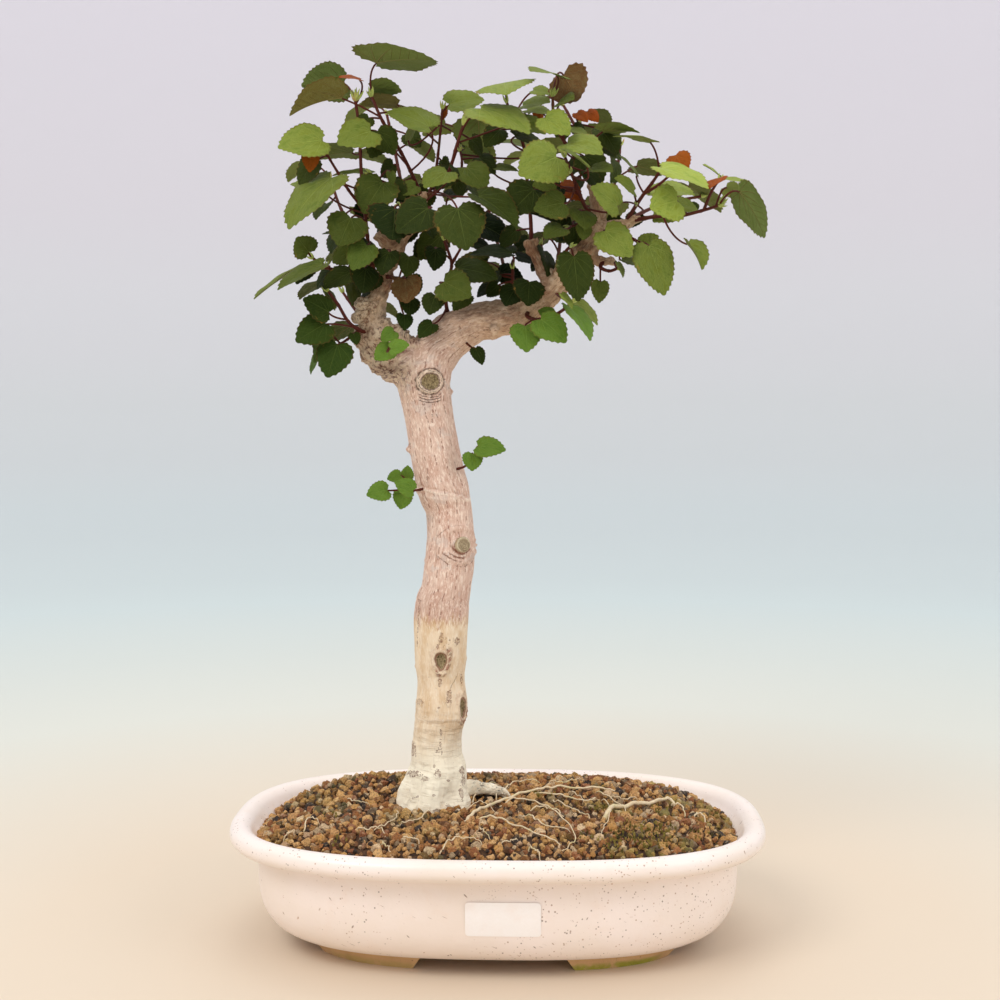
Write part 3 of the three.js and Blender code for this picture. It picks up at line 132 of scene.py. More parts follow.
def pictured(u, v):
    """The x and z, on the upright plane, of a place in the picture."""
    ray = ray_through(u, v)
    place = EYE + ray * (VIEW_DISTANCE / ray.dot(AHEAD))
    return place.dot(RIGHT), place[2]


def in_picture(points):
    """Where points stand in the picture, across and down, in its pixels."""
    forward = AHEAD * math.cos(VIEW_PITCH) - UP * math.sin(VIEW_PITCH)
    upright = AHEAD * math.sin(VIEW_PITCH) + UP * math.cos(VIEW_PITCH)
    far = (points - EYE) @ forward / FOCAL
    return 500 + (points - EYE) @ RIGHT / far, 500 - (points - EYE) @ upright / far


def unit(v):
    return v / np.linalg.norm(v)


def curve_at(points, part):
    """The point at part, 0 to 1, of a centripetal curve; its points may hold more than x, y and z."""
    points = np.asarray(points, float)
    last = len(points) - 1
    spot = last * part
    k = min(int(spot), last - 1)
    w = spot - k
    p1, p2 = points[k], points[k + 1]
    p0 = points[k - 1] if k > 0 else 2 * p1 - p2
    p3 = points[k + 2] if k + 2 <= last else 2 * p2 - p1
    d0, d1, d2 = (math.sqrt(np.linalg.norm((b - a)[:3])) for a, b in ((p0, p1), (p1, p2), (p2, p3)))
    d1 = d1 if d1 > 1e-4 else 1
    d0 = d0 if d0 > 1e-4 else d1
    d2 = d2 if d2 > 1e-4 else d1
    t1 = ((p1 - p0) / d0 - (p2 - p0) / (d0 + d1) + (p2 - p1) / d1) * d1
    t2 = ((p2 - p1) / d1 - (p3 - p1) / (d1 + d2) + (p3 - p2) / d2) * d1
    return p1 + t1 * w + (3 * (p2 - p1) - 2 * t1 - t2) * w**2 + (2 * (p1 - p2) + t1 + t2) * w**3


def curve_rows(points, count):
    return np.array([curve_at(points, i / (count - 1)) for i in range(count)])


# Meshes


def new_object(name, points, faces, materials=(), edges=()):
    """A mesh object from points in millimetres, linked to the scene."""
    mesh = bpy.data.meshes.new(name)
    mesh.from_pydata([tuple(p) for p in np.asarray(points) * MM], edges, faces)
    mesh.validate()
    mesh.shade_smooth()
    for material in materials:
        mesh.materials.append(material)
    thing = bpy.data.objects.new(name, mesh)
    bpy.context.scene.collection.objects.link(thing)
    return thing


def store(thing, name, values, kind="FLOAT", domain="POINT"):
    """Keeps one value, vector or colour for each point or face of a mesh."""
    field = {"FLOAT": "value", "BOOLEAN": "value", "FLOAT_VECTOR": "vector", "FLOAT_COLOR": "color"}[kind]
    attribute = thing.data.attributes.new(name, kind, domain)
    attribute.data.foreach_set(field, np.asarray(values).ravel())


def grid_faces(rows, columns, wrap=False, first=0):
    faces = []
    for j in range(rows - 1):
        for i in range(columns if wrap else columns - 1):
            a = first + j * columns + i
            b = first + j * columns + (i + 1) % columns
            faces.append((a, b, b + columns, a + columns))
    return faces


def loft(rings, cap=True):
    """Points and faces of a closed body through rings of points that turn left as seen from the last ring."""
    rings = np.asarray(rings)
    rows, columns = rings.shape[:2]
    faces = grid_faces(rows, columns, wrap=True)
    if cap:
        faces.append(tuple(reversed(range(columns))))
        faces.append(tuple(range((rows - 1) * columns, rows * columns)))
    return rings.reshape(-1, 3), faces


def rings_along(places, radii, sides, facing=RIGHT, shape=None):
    """Rings round a line; the first ring's first point looks along facing."""
    side = np.array(facing, float)
    rings = []
    turns = 2 * math.pi * np.arange(sides) / sides
    for k, place in enumerate(places):
        along = unit(places[min(k + 1, len(places) - 1)] - places[max(k - 1, 0)])
        side = unit(side - along * side.dot(along))
        over = np.cross(along, side)
        reach = radii[k] * (shape(turns, place) if shape else np.ones(sides))
        rings.append(place + np.outer(reach * np.cos(turns), side) + np.outer(reach * np.sin(turns), over))
    return rings


def joined(bodies):
    """One list of points and one of faces from several bodies."""
    points, faces, count = [], [], 0
    for body_points, body_faces in bodies:
        points.append(body_points)
        faces += [tuple(i + count for i in face) for face in body_faces]
        count += len(body_points)
    return np.concatenate(points), faces


def settled(thing):
    """The object with its modifiers worked into a plain mesh."""
    made = bpy.data.meshes.new_from_object(thing.evaluated_get(bpy.context.evaluated_depsgraph_get()))
    thing.modifiers.clear()
    thing.data = made
    made.name = thing.name
    return thing


def outward(thing):
    """Turns the faces of a closed mesh outwards."""
    shape = bmesh.new()
    shape.from_mesh(thing.data)
    bmesh.ops.recalc_face_normals(shape, faces=shape.faces)
    shape.to_mesh(thing.data)
    shape.free()


def remove(*things):
    for thing in things:
        bpy.data.objects.remove(thing)


def belongs(thing, slot, *nodes):
    """Attaches a finished piece to the root body and hides the nodes that it stands for. slot, its finish, is
    not used.
    """
    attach(thing, "root")
    if nodes:
        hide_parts(*nodes)
    return thing


def fresh(name):
    """Stops an operator from making its piece twice."""
    if name in bpy.data.objects:
        raise RuntimeError(f"{name} is already there")
    return name


# Node trees


class Nodes:
    """Adds nodes to a shader or geometry tree. An input is a value or another node's output."""

    def __init__(self, tree):
        self.tree = tree

    def add(self, kind, inputs=(), **settings):
        made = self.tree.nodes.new(kind)
        for name, value in settings.items():
            setattr(made, name, value)
        for name, value in dict(inputs).items():
            if isinstance(value, bpy.types.NodeSocket):
                self.tree.links.new(value, made.inputs[name])
            else:
                made.inputs[name].default_value = value
        return made

    def math(self, operation, *values):
        """Reckons two values, or more of them in turn."""
        total = values[0]
        for value in values[1:] or (0.0,):
            total = self.add("ShaderNodeMath", {0: total, 1: value}, operation=operation).outputs[0]
        return total

    def times(self, *values):
        return self.math("MULTIPLY", *values)

    def plus(self, *values):
        return self.math("ADD", *values)

    def most(self, *values):
        return self.math("MAXIMUM", *values)

    def less(self, a, b):
        return self.math("SUBTRACT", a, b)

    def vector(self, operation, a, b=(0, 0, 0)):
        made = self.add("ShaderNodeVectorMath", {0: a, 1: b}, operation=operation)
        return made.outputs["Value" if operation in ("LENGTH", "DISTANCE", "DOT_PRODUCT") else "Vector"]

    def scaled(self, vector, amount):
        return self.add("ShaderNodeVectorMath", {0: vector, "Scale": amount}, operation="SCALE").outputs[0]

    def parts(self, vector):
        return self.add("ShaderNodeSeparateXYZ", {0: vector}).outputs

    def combine(self, x=0.0, y=0.0, z=0.0):
        return self.add("ShaderNodeCombineXYZ", {0: x, 1: y, 2: z}).outputs[0]

    def between(self, value, low, high, to_low=0.0, to_high=1.0):
        """Smoothly from to_low at low to to_high at high."""
        inputs = {"Value": value, "From Min": low, "From Max": high, "To Min": to_low, "To Max": to_high}
        return self.add("ShaderNodeMapRange", inputs, interpolation_type="SMOOTHSTEP").outputs[0]

    def line(self, value, width):
        """1 where value is 0, falling to 0 at width."""
        return self.between(self.math("ABSOLUTE", value), 0.0, width, 1.0, 0.0)


class Finish(Nodes):
    """A material of procedural nodes."""

    def __init__(self, name):
        self.material = bpy.data.materials.new(name)
        self.material.use_nodes = True
        super().__init__(self.material.node_tree)
        self.tree.nodes.clear()
        self.place = self.add("ShaderNodeTexCoord").outputs["Object"]

    def stretched(self, vector, x, y, z):
        return self.vector("MULTIPLY", vector, (x, y, z))

    def attribute(self, name, output="Vector"):
        return self.add("ShaderNodeAttribute", attribute_name=name).outputs[output]

    def noise(self, vector, scale, detail=3.0, rough=0.55):
        inputs = {"Vector": vector, "Scale": scale, "Detail": detail, "Roughness": rough}
        return self.add("ShaderNodeTexNoise", inputs).outputs["Fac"]

    def mottle(self, *scale_detail_rough):
        return self.noise(self.place, *scale_detail_rough)

    def cells(self, vector, scale, feature="F1"):
        return self.add("ShaderNodeTexVoronoi", {"Vector": vector, "Scale": scale}, feature=feature).outputs

    def dots(self, vector, scale, radius, share):
        """Round dots in a share of the cells, their size varied; radius is in cell widths."""
        cells = self.cells(vector, scale)
        chance = self.parts(cells["Color"])
        dot = self.between(self.less(self.times(chance[1], radius), cells["Distance"]), 0.0, radius / 2)
        return self.times(dot, self.math("LESS_THAN", chance[0], share))

    def ramp(self, value, *stops):
        made = self.add("ShaderNodeValToRGB", {0: value})
        ramp = made.color_ramp
        while len(ramp.elements) < len(stops):
            ramp.elements.new(0.5)
        for element, (position, colour) in zip(ramp.elements, stops):
            element.position = position
            element.color = solid(colour)
        return made.outputs[0]

    def mix(self, amount, a, b, blend="MIX"):
        """Between two colours, each another node's or (red, green, blue) as the eye sees it."""
        inputs = {0: amount, 6: solid(a), 7: solid(b)}
        return self.add("ShaderNodeMix", inputs, data_type="RGBA", blend_type=blend).outputs[2]

    def surface(self, colour, roughness, relief=(), **fixed):
        """Ends the material. relief lists (height, depth in metres); fixed values are the same all over."""
        inputs = {"Base Color": colour, "Roughness": roughness}
        normal = None
        for height, depth in relief:
            bump = {"Height": height, "Distance": depth, "Strength": 1.0}
            if normal:
                bump["Normal"] = normal
            normal = self.add("ShaderNodeBump", bump).outputs[0]
        if normal:
            inputs["Normal"] = normal
        inputs.update({name.replace("_", " "): value for name, value in fixed.items()})
        shader = self.add("ShaderNodeBsdfPrincipled", inputs)
        self.add("ShaderNodeOutputMaterial", {"Surface": shader.outputs[0]})
        return self.material


class Geometry(Nodes):
    """A geometry node tree with named inputs, used as a modifier."""

    def __init__(self, name, **sockets):
        super().__init__(bpy.data.node_groups.new(name, "GeometryNodeTree"))
        face = self.tree.interface
        self.keys = {}
        face.new_socket("Geometry", in_out="INPUT", socket_type="NodeSocketGeometry")
        for label, kind in sockets.items():
            socket = face.new_socket(label.replace("_", " "), in_out="INPUT", socket_type="NodeSocket" + kind)
            self.keys[label] = socket.identifier
        face.new_socket("Geometry", in_out="OUTPUT", socket_type="NodeSocketGeometry")
        self.inputs = self.tree.nodes.new("NodeGroupInput").outputs

    def value(self, label):
        return self.inputs[label.replace("_", " ")]

    def named(self, name, kind="FLOAT"):
        return self.add("GeometryNodeInputNamedAttribute", {"Name": name}, data_type=kind).outputs[0]

    def keep(self, geometry, name, value, kind="FLOAT"):
        inputs = {"Geometry": geometry, "Name": name, "Value": value}
        return self.add("GeometryNodeStoreNamedAttribute", inputs, data_type=kind).outputs[0]

    def random(self, low, high, seed):
        return self.add("FunctionNodeRandomValue", {2: low, 3: high, "Seed": seed}).outputs[1]

    def tubes(self, lines):
        """Round closed tubes along lines that hold a thickness at each point."""
        line = self.add("GeometryNodeMeshToCurve", {0: lines}).outputs[0]
        ring = self.add("GeometryNodeCurvePrimitiveCircle", {"Resolution": self.value("Sides"), "Radius": MM})
        inputs = {0: line, 1: ring.outputs[0], "Scale": self.named("thick"), "Fill Caps": True}
        return self.add("GeometryNodeCurveToMesh", inputs).outputs[0]

    def join(self, *geometries):
        made = self.add("GeometryNodeJoinGeometry")
        for geometry in reversed(geometries):
            self.tree.links.new(geometry, made.inputs[0])
        return made.outputs[0]

    def finished(self, geometry, *materials):
        """Realises the instances, sets (material, where) in turn and ends the tree."""
        geometry = self.add("GeometryNodeRealizeInstances", {0: geometry}).outputs[0]
        for material, where in materials:
            inputs = {"Geometry": geometry, "Material": material}
            if where is not None:
                inputs["Selection"] = where
            geometry = self.add("GeometryNodeSetMaterial", inputs).outputs[0]
        self.add("NodeGroupOutput", {0: geometry})

    def on(self, thing, **values):
        modifier = thing.modifiers.new(self.tree.name, "NODES")
        modifier.node_group = self.tree
        for label, value in values.items():
            modifier[self.keys[label]] = value
        return thing


# Settings that a user would change


def number(name, text, default, low=0.0, **more):
    return bpy.props.FloatProperty(name=name, description=text, default=default, min=low, **more)


def length(name, text, default, low):
    return number(name, text, default, low, subtype="DISTANCE", unit="LENGTH", precision=4)


def count(name, text, default, low):
    return bpy.props.IntProperty(name=name, description=text, default=default, min=low)


def colour(name, text, *rgb):
    return bpy.props.FloatVectorProperty(
        name=name, description=text, default=tone(*rgb)[:3], min=0, max=1, size=3, subtype="COLOR"
    )


class PotSettings(bpy.types.PropertyGroup):
    glaze: colour("Glaze", "Colour of the satin glaze", 243, 228, 215)
    clay: colour("Bare clay", "Colour of the unglazed feet", 226, 186, 136)
    specks: number("Specks", "Share of places that hold a dark speck", 0.3, max=1, subtype="FACTOR")
    sides: count("Sides", "Faces round the pot", 176, 32)


class SoilSettings(bpy.types.PropertyGroup):
    granule: length("Granule", "Width of the larger granules", 0.008, 0.002)
    crumb: length("Crumb", "Width of the small crumbs between them", 0.0041, 0.001)
    seed: count("Seed", "Another number gives another scatter", 7, 0)
    ochre: colour("Ochre", "Main colour of the granules", 200, 148, 82)


class BarkSettings(bpy.types.PropertyGroup):
    voxel: length("Skin detail", "Cell size of the skin over trunk and limbs", 0.00115, 0.0005)
    upper: colour("Upper bark", "Pinkish bark above the band", 218, 185, 165)
    lower: colour("Lower bark", "Cream bark below the band", 237, 214, 183)
    limb: colour("Limb bark", "Browner bark of the limbs", 203, 164, 124)


class LeafSettings(bpy.types.PropertyGroup):
    teeth: count("Teeth", "Teeth down each side of a blade", 15, 4)
    thickness: length("Thickness", "Thickness of a blade", 0.0005, 0.0001)
    # The light leaf colour carries painted light on the high, outer leaves and the dark one painted shade
    # inside the crown, besides their own greens
    light: colour("Light leaf", "Colour of the leaves at the top", 164, 177, 80)
    dark: colour("Dark leaf", "Colour of the leaves inside the crown", 18, 31, 5)
    young: colour("Young leaf", "Colour of the newest leaves", 162, 74, 18)
    stem: colour("Stem", "Colour of stems and stalks", 68, 26, 16)


class StageSettings(bpy.types.PropertyGroup):
    lens: number("Lens", "Focal length of the camera in millimetres", LENS, 10, subtype="DISTANCE_CAMERA")
    key: number("Key light", "Power of the large soft light", 22, subtype="POWER", unit="POWER")
    floor: colour("Floor", "Colour of the plain floor", 223, 206, 184)


SETTINGS = {
    "bonsai_pot": PotSettings,
    "bonsai_soil": SoilSettings,
    "bonsai_bark": BarkSettings,
    "bonsai_leaf": LeafSettings,
    "bonsai_stage": StageSettings,
}


# Pot

OVAL = 2.7
FOOT_HEIGHT = 10
FLOOR_TOP = 18
HOLE_X = 62
HOLE_R = 9
POT_PROFILE = (
    (126, 77, 0), (132, 80, 10), (137, 84, 10), (143, 89.5, 12), (152, 97, 18), (158.5, 102, 28),
    (161.5, 104.5, 42), (163, 105.5, 67), (169, 111, 69), (177, 119.3, 70.5), (180, 122.5, 75),
    (179.5, 122, 80), (176, 118.5, 83), (171, 113.5, 83), (167, 109.5, 80), (164, 106.5, 75), (157, 99.5, 64),
    (149, 92, 32), (126, 72, 18),
)


def even_turns(sides):
    """Turns round the oval that are evenly far apart on the rim."""
    turns = np.linspace(0, 2 * math.pi, 40001)
    x, y = oval(POT_PROFILE[10][0], POT_PROFILE[10][1], turns)
    walked = np.concatenate(([0], np.cumsum(np.hypot(np.diff(x), np.diff(y)))))
    return np.interp((np.arange(sides) + 0.5) / sides * walked[-1], walked, turns)


def oval(a, b, turns):
    c, s = np.cos(turns), np.sin(turns)
    return a * np.sign(c) * np.abs(c) ** (2 / OVAL), b * np.sign(s) * np.abs(s) ** (2 / OVAL)


def round_ring(radius, z, sides):
    turns = 2 * math.pi * np.arange(sides) / sides
    return np.stack((radius * np.cos(turns), radius * np.sin(turns), np.full(sides, float(z))), 1)


def oval_ring(a, b, z, turns):
    x, y = oval(a, b, turns)
    return np.stack((x, y, np.full(len(turns), float(z))), axis=1)


def cut(thing, cutter):
    """Cuts the cutter's closed body out of the object and removes the cutter."""
    modifier = thing.modifiers.new("cut", "BOOLEAN")
    modifier.operation = "DIFFERENCE"
    modifier.solver = "EXACT"
    modifier.object = cutter
    settled(thing)
    remove(cutter)


def foot_gap(low, high):
    corners = np.array(((-1, -1), (1, -1), (1, 1), (-1, 1)))
    rows = []
    for (x, y), z in ((low, -1), (high, FOOT_HEIGHT + 0.4)):
        rows.append(np.column_stack((corners * (x, y), np.full(4, z))))
    return loft(rows)


def drain_hole(x):
    return loft([round_ring(HOLE_R, z, 40) + RIGHT_SIDE * x for z in (5, 25)])


def glaze_finish(settings):
    m = Finish("satin_speckled_glaze")
    cloud = m.mottle(14, 4)
    base = m.mix(m.between(cloud, 0.3, 0.75), (*settings.glaze, 1), (250, 236, 228))
    warm = m.between(m.mottle(45, 5, 0.6), 0.55, 0.8, 0, 0.35)
    base = m.mix(warm, base, (240, 216, 198))
    drift = m.between(m.mottle(9, 2), 0.4, 0.62)
    side, over, height = m.parts(m.place)
    strokes = None
    for lean, scale, share in ((0.8, 240, 1.1), (-0.5, 190, 0.8), (2.2, 300, 1.2)):
        turned = m.combine(m.plus(side, m.times(height, lean)), over, m.times(height, 0.5))
        more = m.dots(turned, scale, 0.19, settings.specks * share)
        strokes = m.most(strokes, more) if strokes else more
    fine = m.dots(m.place, 520, 0.42, settings.specks * 2)
    round_specks = m.dots(m.place, 120, 0.1, settings.specks)
    specks = m.most(m.times(fine, drift), strokes, round_specks)
    speck_colour = m.mix(m.between(m.mottle(160), 0.35, 0.65), (98, 74, 60), (190, 150, 120))
    base = m.mix(m.times(specks, 0.75), base, speck_colour)
    facing = m.add("ShaderNodeNewGeometry").outputs["Normal"]
    outward_way = m.stretched(m.place, 36, 87, 0)
    inward = m.math("LESS_THAN", m.vector("DOT_PRODUCT", facing, outward_way), 0.0)
    splashed = m.times(m.between(m.mottle(90, 4), 0.45, 0.7), m.between(height, 0.08, 0.07))
    base = m.mix(m.times(splashed, inward, 0.45), base, (196, 158, 120))
    rough = m.between(m.mottle(60, 4), 0.2, 0.8, 0.3, 0.44)
    orange_peel = m.mottle(260, 2)
    return m.surface(base, rough, [(orange_peel, 0.00012), (m.mottle(25, 2), 0.0006), (specks, -0.00008)],
                     Coat_Weight=0.15, Coat_Roughness=0.2)


def clay_finish(settings):
    m = Finish("bare_clay_feet")
    base = m.mix(m.mottle(90, 5), (*settings.clay, 1), (196, 156, 108))
    height = m.parts(m.place)[2]
    side = m.parts(m.place)[0]
    low = m.between(m.plus(height, m.times(m.mottle(80, 4), 0.004)), 0.0075, 0.004)
    patch = m.between(m.mottle(60, 5, 0.65), 0.3, 0.46)
    right = m.between(side, 0.02, 0.06, 0.3, 1)
    front = m.between(m.parts(m.place)[1], -0.05, -0.06)
    algae = m.times(low, patch, right, front)
    base = m.mix(algae, base, m.mix(m.mottle(300), (134, 138, 36), (190, 178, 74)))
    pits = m.dots(m.place, 500, 0.4, 0.3)
    base = m.mix(m.times(pits, 0.5), base, (140, 104, 70))
    return m.surface(base, 0.85, [(m.mottle(700, 3), 0.0002), (pits, -0.0002)])


class BONSAI_OT_pot(bpy.types.Operator):
    """Makes the glazed oval pot with its rolled lip, four feet and two drain holes"""

    bl_idname = "bonsai.pot"
    bl_label = "Oval pot"

    def execute(self, context):
        settings = context.scene.bonsai_pot
        name = fresh("oval_pot")
        turns = even_turns(settings.sides)
        curved = curve_rows(POT_PROFILE[2:18], 76)
        rows = [*POT_PROFILE[:2], *curved, POT_PROFILE[18]]
        points, faces = loft([oval_ring(a, b, z, turns) for a, b, z in rows])
        pot = new_object(name, points, faces, [glaze_finish(settings), clay_finish(settings)])
        for body in (foot_gap((52.5, 82), (45.5, 82)), foot_gap((134.5, 46), (134.5, 40))):
            cut(pot, new_object("gap", *body))
        for x in (-HOLE_X, HOLE_X):
            cut(pot, new_object("hole", *drain_hole(x)))
        mesh = pot.data
        for face in mesh.polygons:
            bare = face.center.z < (FOOT_HEIGHT + 0.45) * MM
            in_hole = face.center.z < (FLOOR_TOP + 0.1) * MM and math.hypot(
                abs(face.center.x) - HOLE_X * MM, face.center.y) < (HOLE_R + 0.2) * MM
            face.material_index = 1 if bare or in_hole else 0
        mesh.shade_smooth()
        mesh.set_sharp_from_angle(angle=math.radians(38))
        belongs(pot, "pot_glaze", "pot")
        return {"FINISHED"}


# Drainage screens


def screen_finish():
    m = Finish("black_plastic_screen")
    base = m.mix(m.mottle(400, 4), (44, 46, 43), (74, 74, 68))
    dust = m.between(m.mottle(120, 4), 0.5, 0.7, 0, 0.4)
    return m.surface(m.mix(dust, base, (120, 100, 74)), 0.6, [(m.mottle(900, 3), 0.00008)])


class BONSAI_OT_screens(bpy.types.Operator):
    """Gives the two drainage screens their moulded plastic"""

    bl_idname = "bonsai.screens"
    bl_label = "Drainage screens"

    def execute(self, context):
        plastic = screen_finish()
        for side in ("left", "right"):
            screen = frame["nodes"][f"drain_screen_{side}"]
            for slot in screen.material_slots:
                slot.link = "OBJECT"
                slot.material = plastic
        return {"FINISHED"}


# Soil

SOIL_EDGE = 70
SOIL_RIM = (160.2, 102.7)
MOUND = 15
REAR_MOUND = 7
LEFT_LUMP = {"x": -105, "y": 55, "wide": 38, "deep": 30, "high": 4}
TRUNK_FOOT = (-42, 15)


def soil_height(x, y):
    a, b, _ = POT_PROFILE[15]
    out = np.minimum(1, np.abs(x / a) ** OVAL + np.abs(y / b) ** OVAL)
    mound = MOUND * (1 - out**2)
    rear = REAR_MOUND * step(y, -10, 62) * (1 - out**3)
    lump = ((x - LEFT_LUMP["x"]) / LEFT_LUMP["wide"]) ** 2 + ((y - LEFT_LUMP["y"]) / LEFT_LUMP["deep"]) ** 2
    return SOIL_EDGE + mound + rear + LEFT_LUMP["high"] * np.exp(-lump)


def on_soil(u, v, lift=0.0):
    """Where the line of sight through a place in the picture meets the soil."""
    ray = ray_through(u, v)
    for reach in np.arange(800, 1200, 0.4):
        place = EYE + ray * reach
        if place[2] <= soil_height(place[0], place[1]) + lift:
            return place
    raise RuntimeError(f"no soil is seen at {u}, {v}")


def soil_finish():
    m = Finish("dark_fine_soil")
    base = m.ramp(m.mottle(260, 5), (0.3, (38, 26, 18)), (0.7, (96, 64, 38)))
    return m.surface(base, 0.95, [(m.mottle(420, 4), 0.0012)])


def granule_finish(settings):
    m = Finish("baked_clay_granules")
    kind = m.attribute("tint", "Fac")
    base = m.ramp(
        kind, (0.0, (60, 40, 28)), (0.08, (136, 90, 50)), (0.22, (*settings.ochre, 1)),
        (0.44, (222, 176, 116)), (0.58, (172, 114, 62)), (0.72, (140, 82, 50)), (0.8, (234, 202, 158)),
        (0.88, (146, 122, 92)), (0.96, (48, 40, 36)),
    )
    crumb = m.mottle(900, 5, 0.65)
    base = m.mix(m.between(crumb, 0.46, 0.66, 0, 0.7), base, (84, 50, 26))
    pale = m.between(m.mottle(500, 3), 0.56, 0.72, 0, 0.4)
    base = m.mix(pale, base, (232, 204, 160))
    side = m.parts(m.place)[0]
    green = m.between(m.mottle(30, 4, 0.6), 0.52, 0.64)
    green = m.times(green, m.between(side, 0.03, 0.1, 0.25, 0.6))
    base = m.mix(green, base, (142, 130, 58))
    return m.surface(base, 0.92, [(crumb, 0.0009), (m.mottle(2600, 2), 0.0003)])


def moss_finish():
    m = Finish("young_moss")
    kind = m.attribute("tint", "Fac")
    base = m.ramp(kind, (0.0, (72, 64, 22)), (0.5, (122, 110, 40)), (1.0, (176, 154, 76)))
    return m.surface(base, 0.9, [(m.mottle(2400, 2), 0.0003)])


def lump_shape(name, seed, corners, size):
    """A rough crumb: the hull of random corners near a ball, one unit wide."""
    random = np.random.RandomState(seed)
    ways = random.normal(size=(corners, 3))
    ways /= np.linalg.norm(ways, axis=1)[:, None]
    ways *= (0.5 * random.uniform(0.84, 1.04, corners))[:, None] * np.array(size)
    shape = bmesh.new()
    for way in ways:
        shape.verts.new(way)
    hull = bmesh.ops.convex_hull(shape, input=shape.verts)
    inner = [part for part in hull["geom_interior"] if isinstance(part, bmesh.types.BMVert)]
    bmesh.ops.delete(shape, geom=inner, context="VERTS")
    bmesh.ops.recalc_face_normals(shape, faces=shape.faces)
    mesh = bpy.data.meshes.new(name)
    shape.to_mesh(mesh)
    shape.free()
    mesh.shade_flat()
    return bpy.data.objects.new(name, mesh)


def tuft_shape(name, seed):
    """A moss tuft: small pointed leaves that lean out from one spot, one unit high."""
    random = np.random.RandomState(seed)
    bodies = []
    for k in range(8):
        turn = 2 * math.pi * (k + random.uniform(-0.3, 0.3)) / 8
        lean = random.uniform(0.15, 0.75)
        out = np.array((math.cos(turn), math.sin(turn), 0))
        over = np.array((-out[1], out[0], 0))
        tip = out * lean + UP * random.uniform(0.6, 1)
        low = out * 0.06 - UP * 0.25
        corners = np.array((low + over * 0.12, low - over * 0.12, low + out * 0.16, tip))
        bodies.append((corners, [(0, 1, 3), (1, 2, 3), (2, 0, 3), (0, 2, 1)]))
    points, faces = joined(bodies)
    mesh = bpy.data.meshes.new(name)
    mesh.from_pydata([tuple(p) for p in points], [], faces)
    return bpy.data.objects.new(name, mesh)


def scatter_tree(name):
    """Scatters shapes, closer where the surface's density is higher, each turned and sized by chance."""
    g = Geometry(name, Spacing="Float", Size="Float", Size_spread="Float", Sink="Float", Upright="Bool",
                 Seed="Int", Shapes="Collection", Material="Material")
    inputs = {"Mesh": g.inputs[0], "Distance Min": g.value("Spacing"), "Density Max": 200000.0,
              "Density Factor": g.named("density"), "Seed": g.value("Seed")}
    spread = g.add("GeometryNodeDistributePointsOnFaces", inputs, distribute_method="POISSON")
    sink = g.scaled(spread.outputs["Normal"], g.times(g.value("Sink"), -1.0))
    points = g.add("GeometryNodeSetPosition", {0: spread.outputs["Points"], "Offset": sink}).outputs[0]
    points = g.keep(points, "tint", g.random(0.0, 1.0, 11))
    turn = g.combine(g.random(0, 6.283, 21), g.random(0, 6.283, 22), g.random(0, 6.283, 23))
    spin = g.combine(0.0, 0.0, g.random(0, 6.283, 24))
    angles = g.add("GeometryNodeSwitch", {0: g.value("Upright"), 1: turn, 2: spin}, input_type="VECTOR")
    wide = g.times(g.value("Size"), g.plus(1.0, g.times(g.value("Size_spread"), g.random(-1.0, 1.0, 31))))
    set_out = g.add("GeometryNodeInstanceOnPoints", {
        "Points": points,
        "Instance": g.add("GeometryNodeCollectionInfo", {0: g.value("Shapes"), 1: True, 2: True}).outputs[0],
        "Pick Instance": True,
        "Rotation": g.add("FunctionNodeEulerToRotation", {0: angles.outputs[0]}).outputs[0],
        "Scale": g.combine(wide, wide, wide),
    }).outputs[0]
    g.finished(set_out, (g.value("Material"), None))
    return g


def shape_box(name, shapes):
    box = bpy.data.collections.new(name)
    for shape in shapes:
        box.objects.link(shape)
    return box


def empty_box(box):
    remove(*box.objects)
    bpy.data.collections.remove(box)


def soil_cover(rows=44, columns=150):
    """The soil's upper face as rings of points from the pot's wall to the middle, without its sides."""
    turns = even_turns(columns)
    a, b = SOIL_RIM
    rings = []
    for k in range(rows):
        reach = 1 - k / rows
        ring = oval_ring(a * reach, b * reach, 0, turns)
        ring[:, 2] = soil_height(ring[:, 0], ring[:, 1])
        rings.append(ring)
    return rings


class BONSAI_OT_soil(bpy.types.Operator):
    """Makes the bed of fine soil that fills the pot"""

    bl_idname = "bonsai.soil"
    bl_label = "Soil bed"

    def execute(self, context):
        name = fresh("soil_bed")
        cover = soil_cover()
        turns = even_turns(150)
        sides = [oval_ring(a - 1.0, b - 1.0, z + 0.4, turns) for a, b, z in reversed(POT_PROFILE[16:])]
        rings = sides + [ring - UP * 1.6 for ring in cover]
        for ring in rings[4:]:
            for point in ring:
                point[2] += 0.9 * noise.noise(Vector(point) * 0.21)
        points, faces = loft(rings)
        bed = new_object(name, points, faces, [soil_finish()])
        belongs(bed, "soil", "soil")
        return {"FINISHED"}


LUMP_SIZES = ((1, 0.86, 0.72), (1, 0.95, 0.85), (0.92, 0.8, 0.78), (1.1, 0.8, 0.66), (0.9, 0.9, 0.86))
# Moss by its places in the picture, and how wide each patch is and how close it grows
MOSS_PATCHES = (
    (640, 838, 24, 0.7), (612, 846, 14, 0.6), (662, 832, 16, 0.6), (588, 838, 9, 0.5), (700, 838, 12, 0.5),
    (655, 812, 10, 0.6), (536, 797, 7, 0.8), (553, 796, 6, 0.7), (712, 815, 10, 0.4), (330, 818, 9, 0.35),
    (470, 842, 8, 0.3), (340, 842, 8, 0.3), (604, 812, 10, 0.5), (375, 800, 10, 0.3),
)


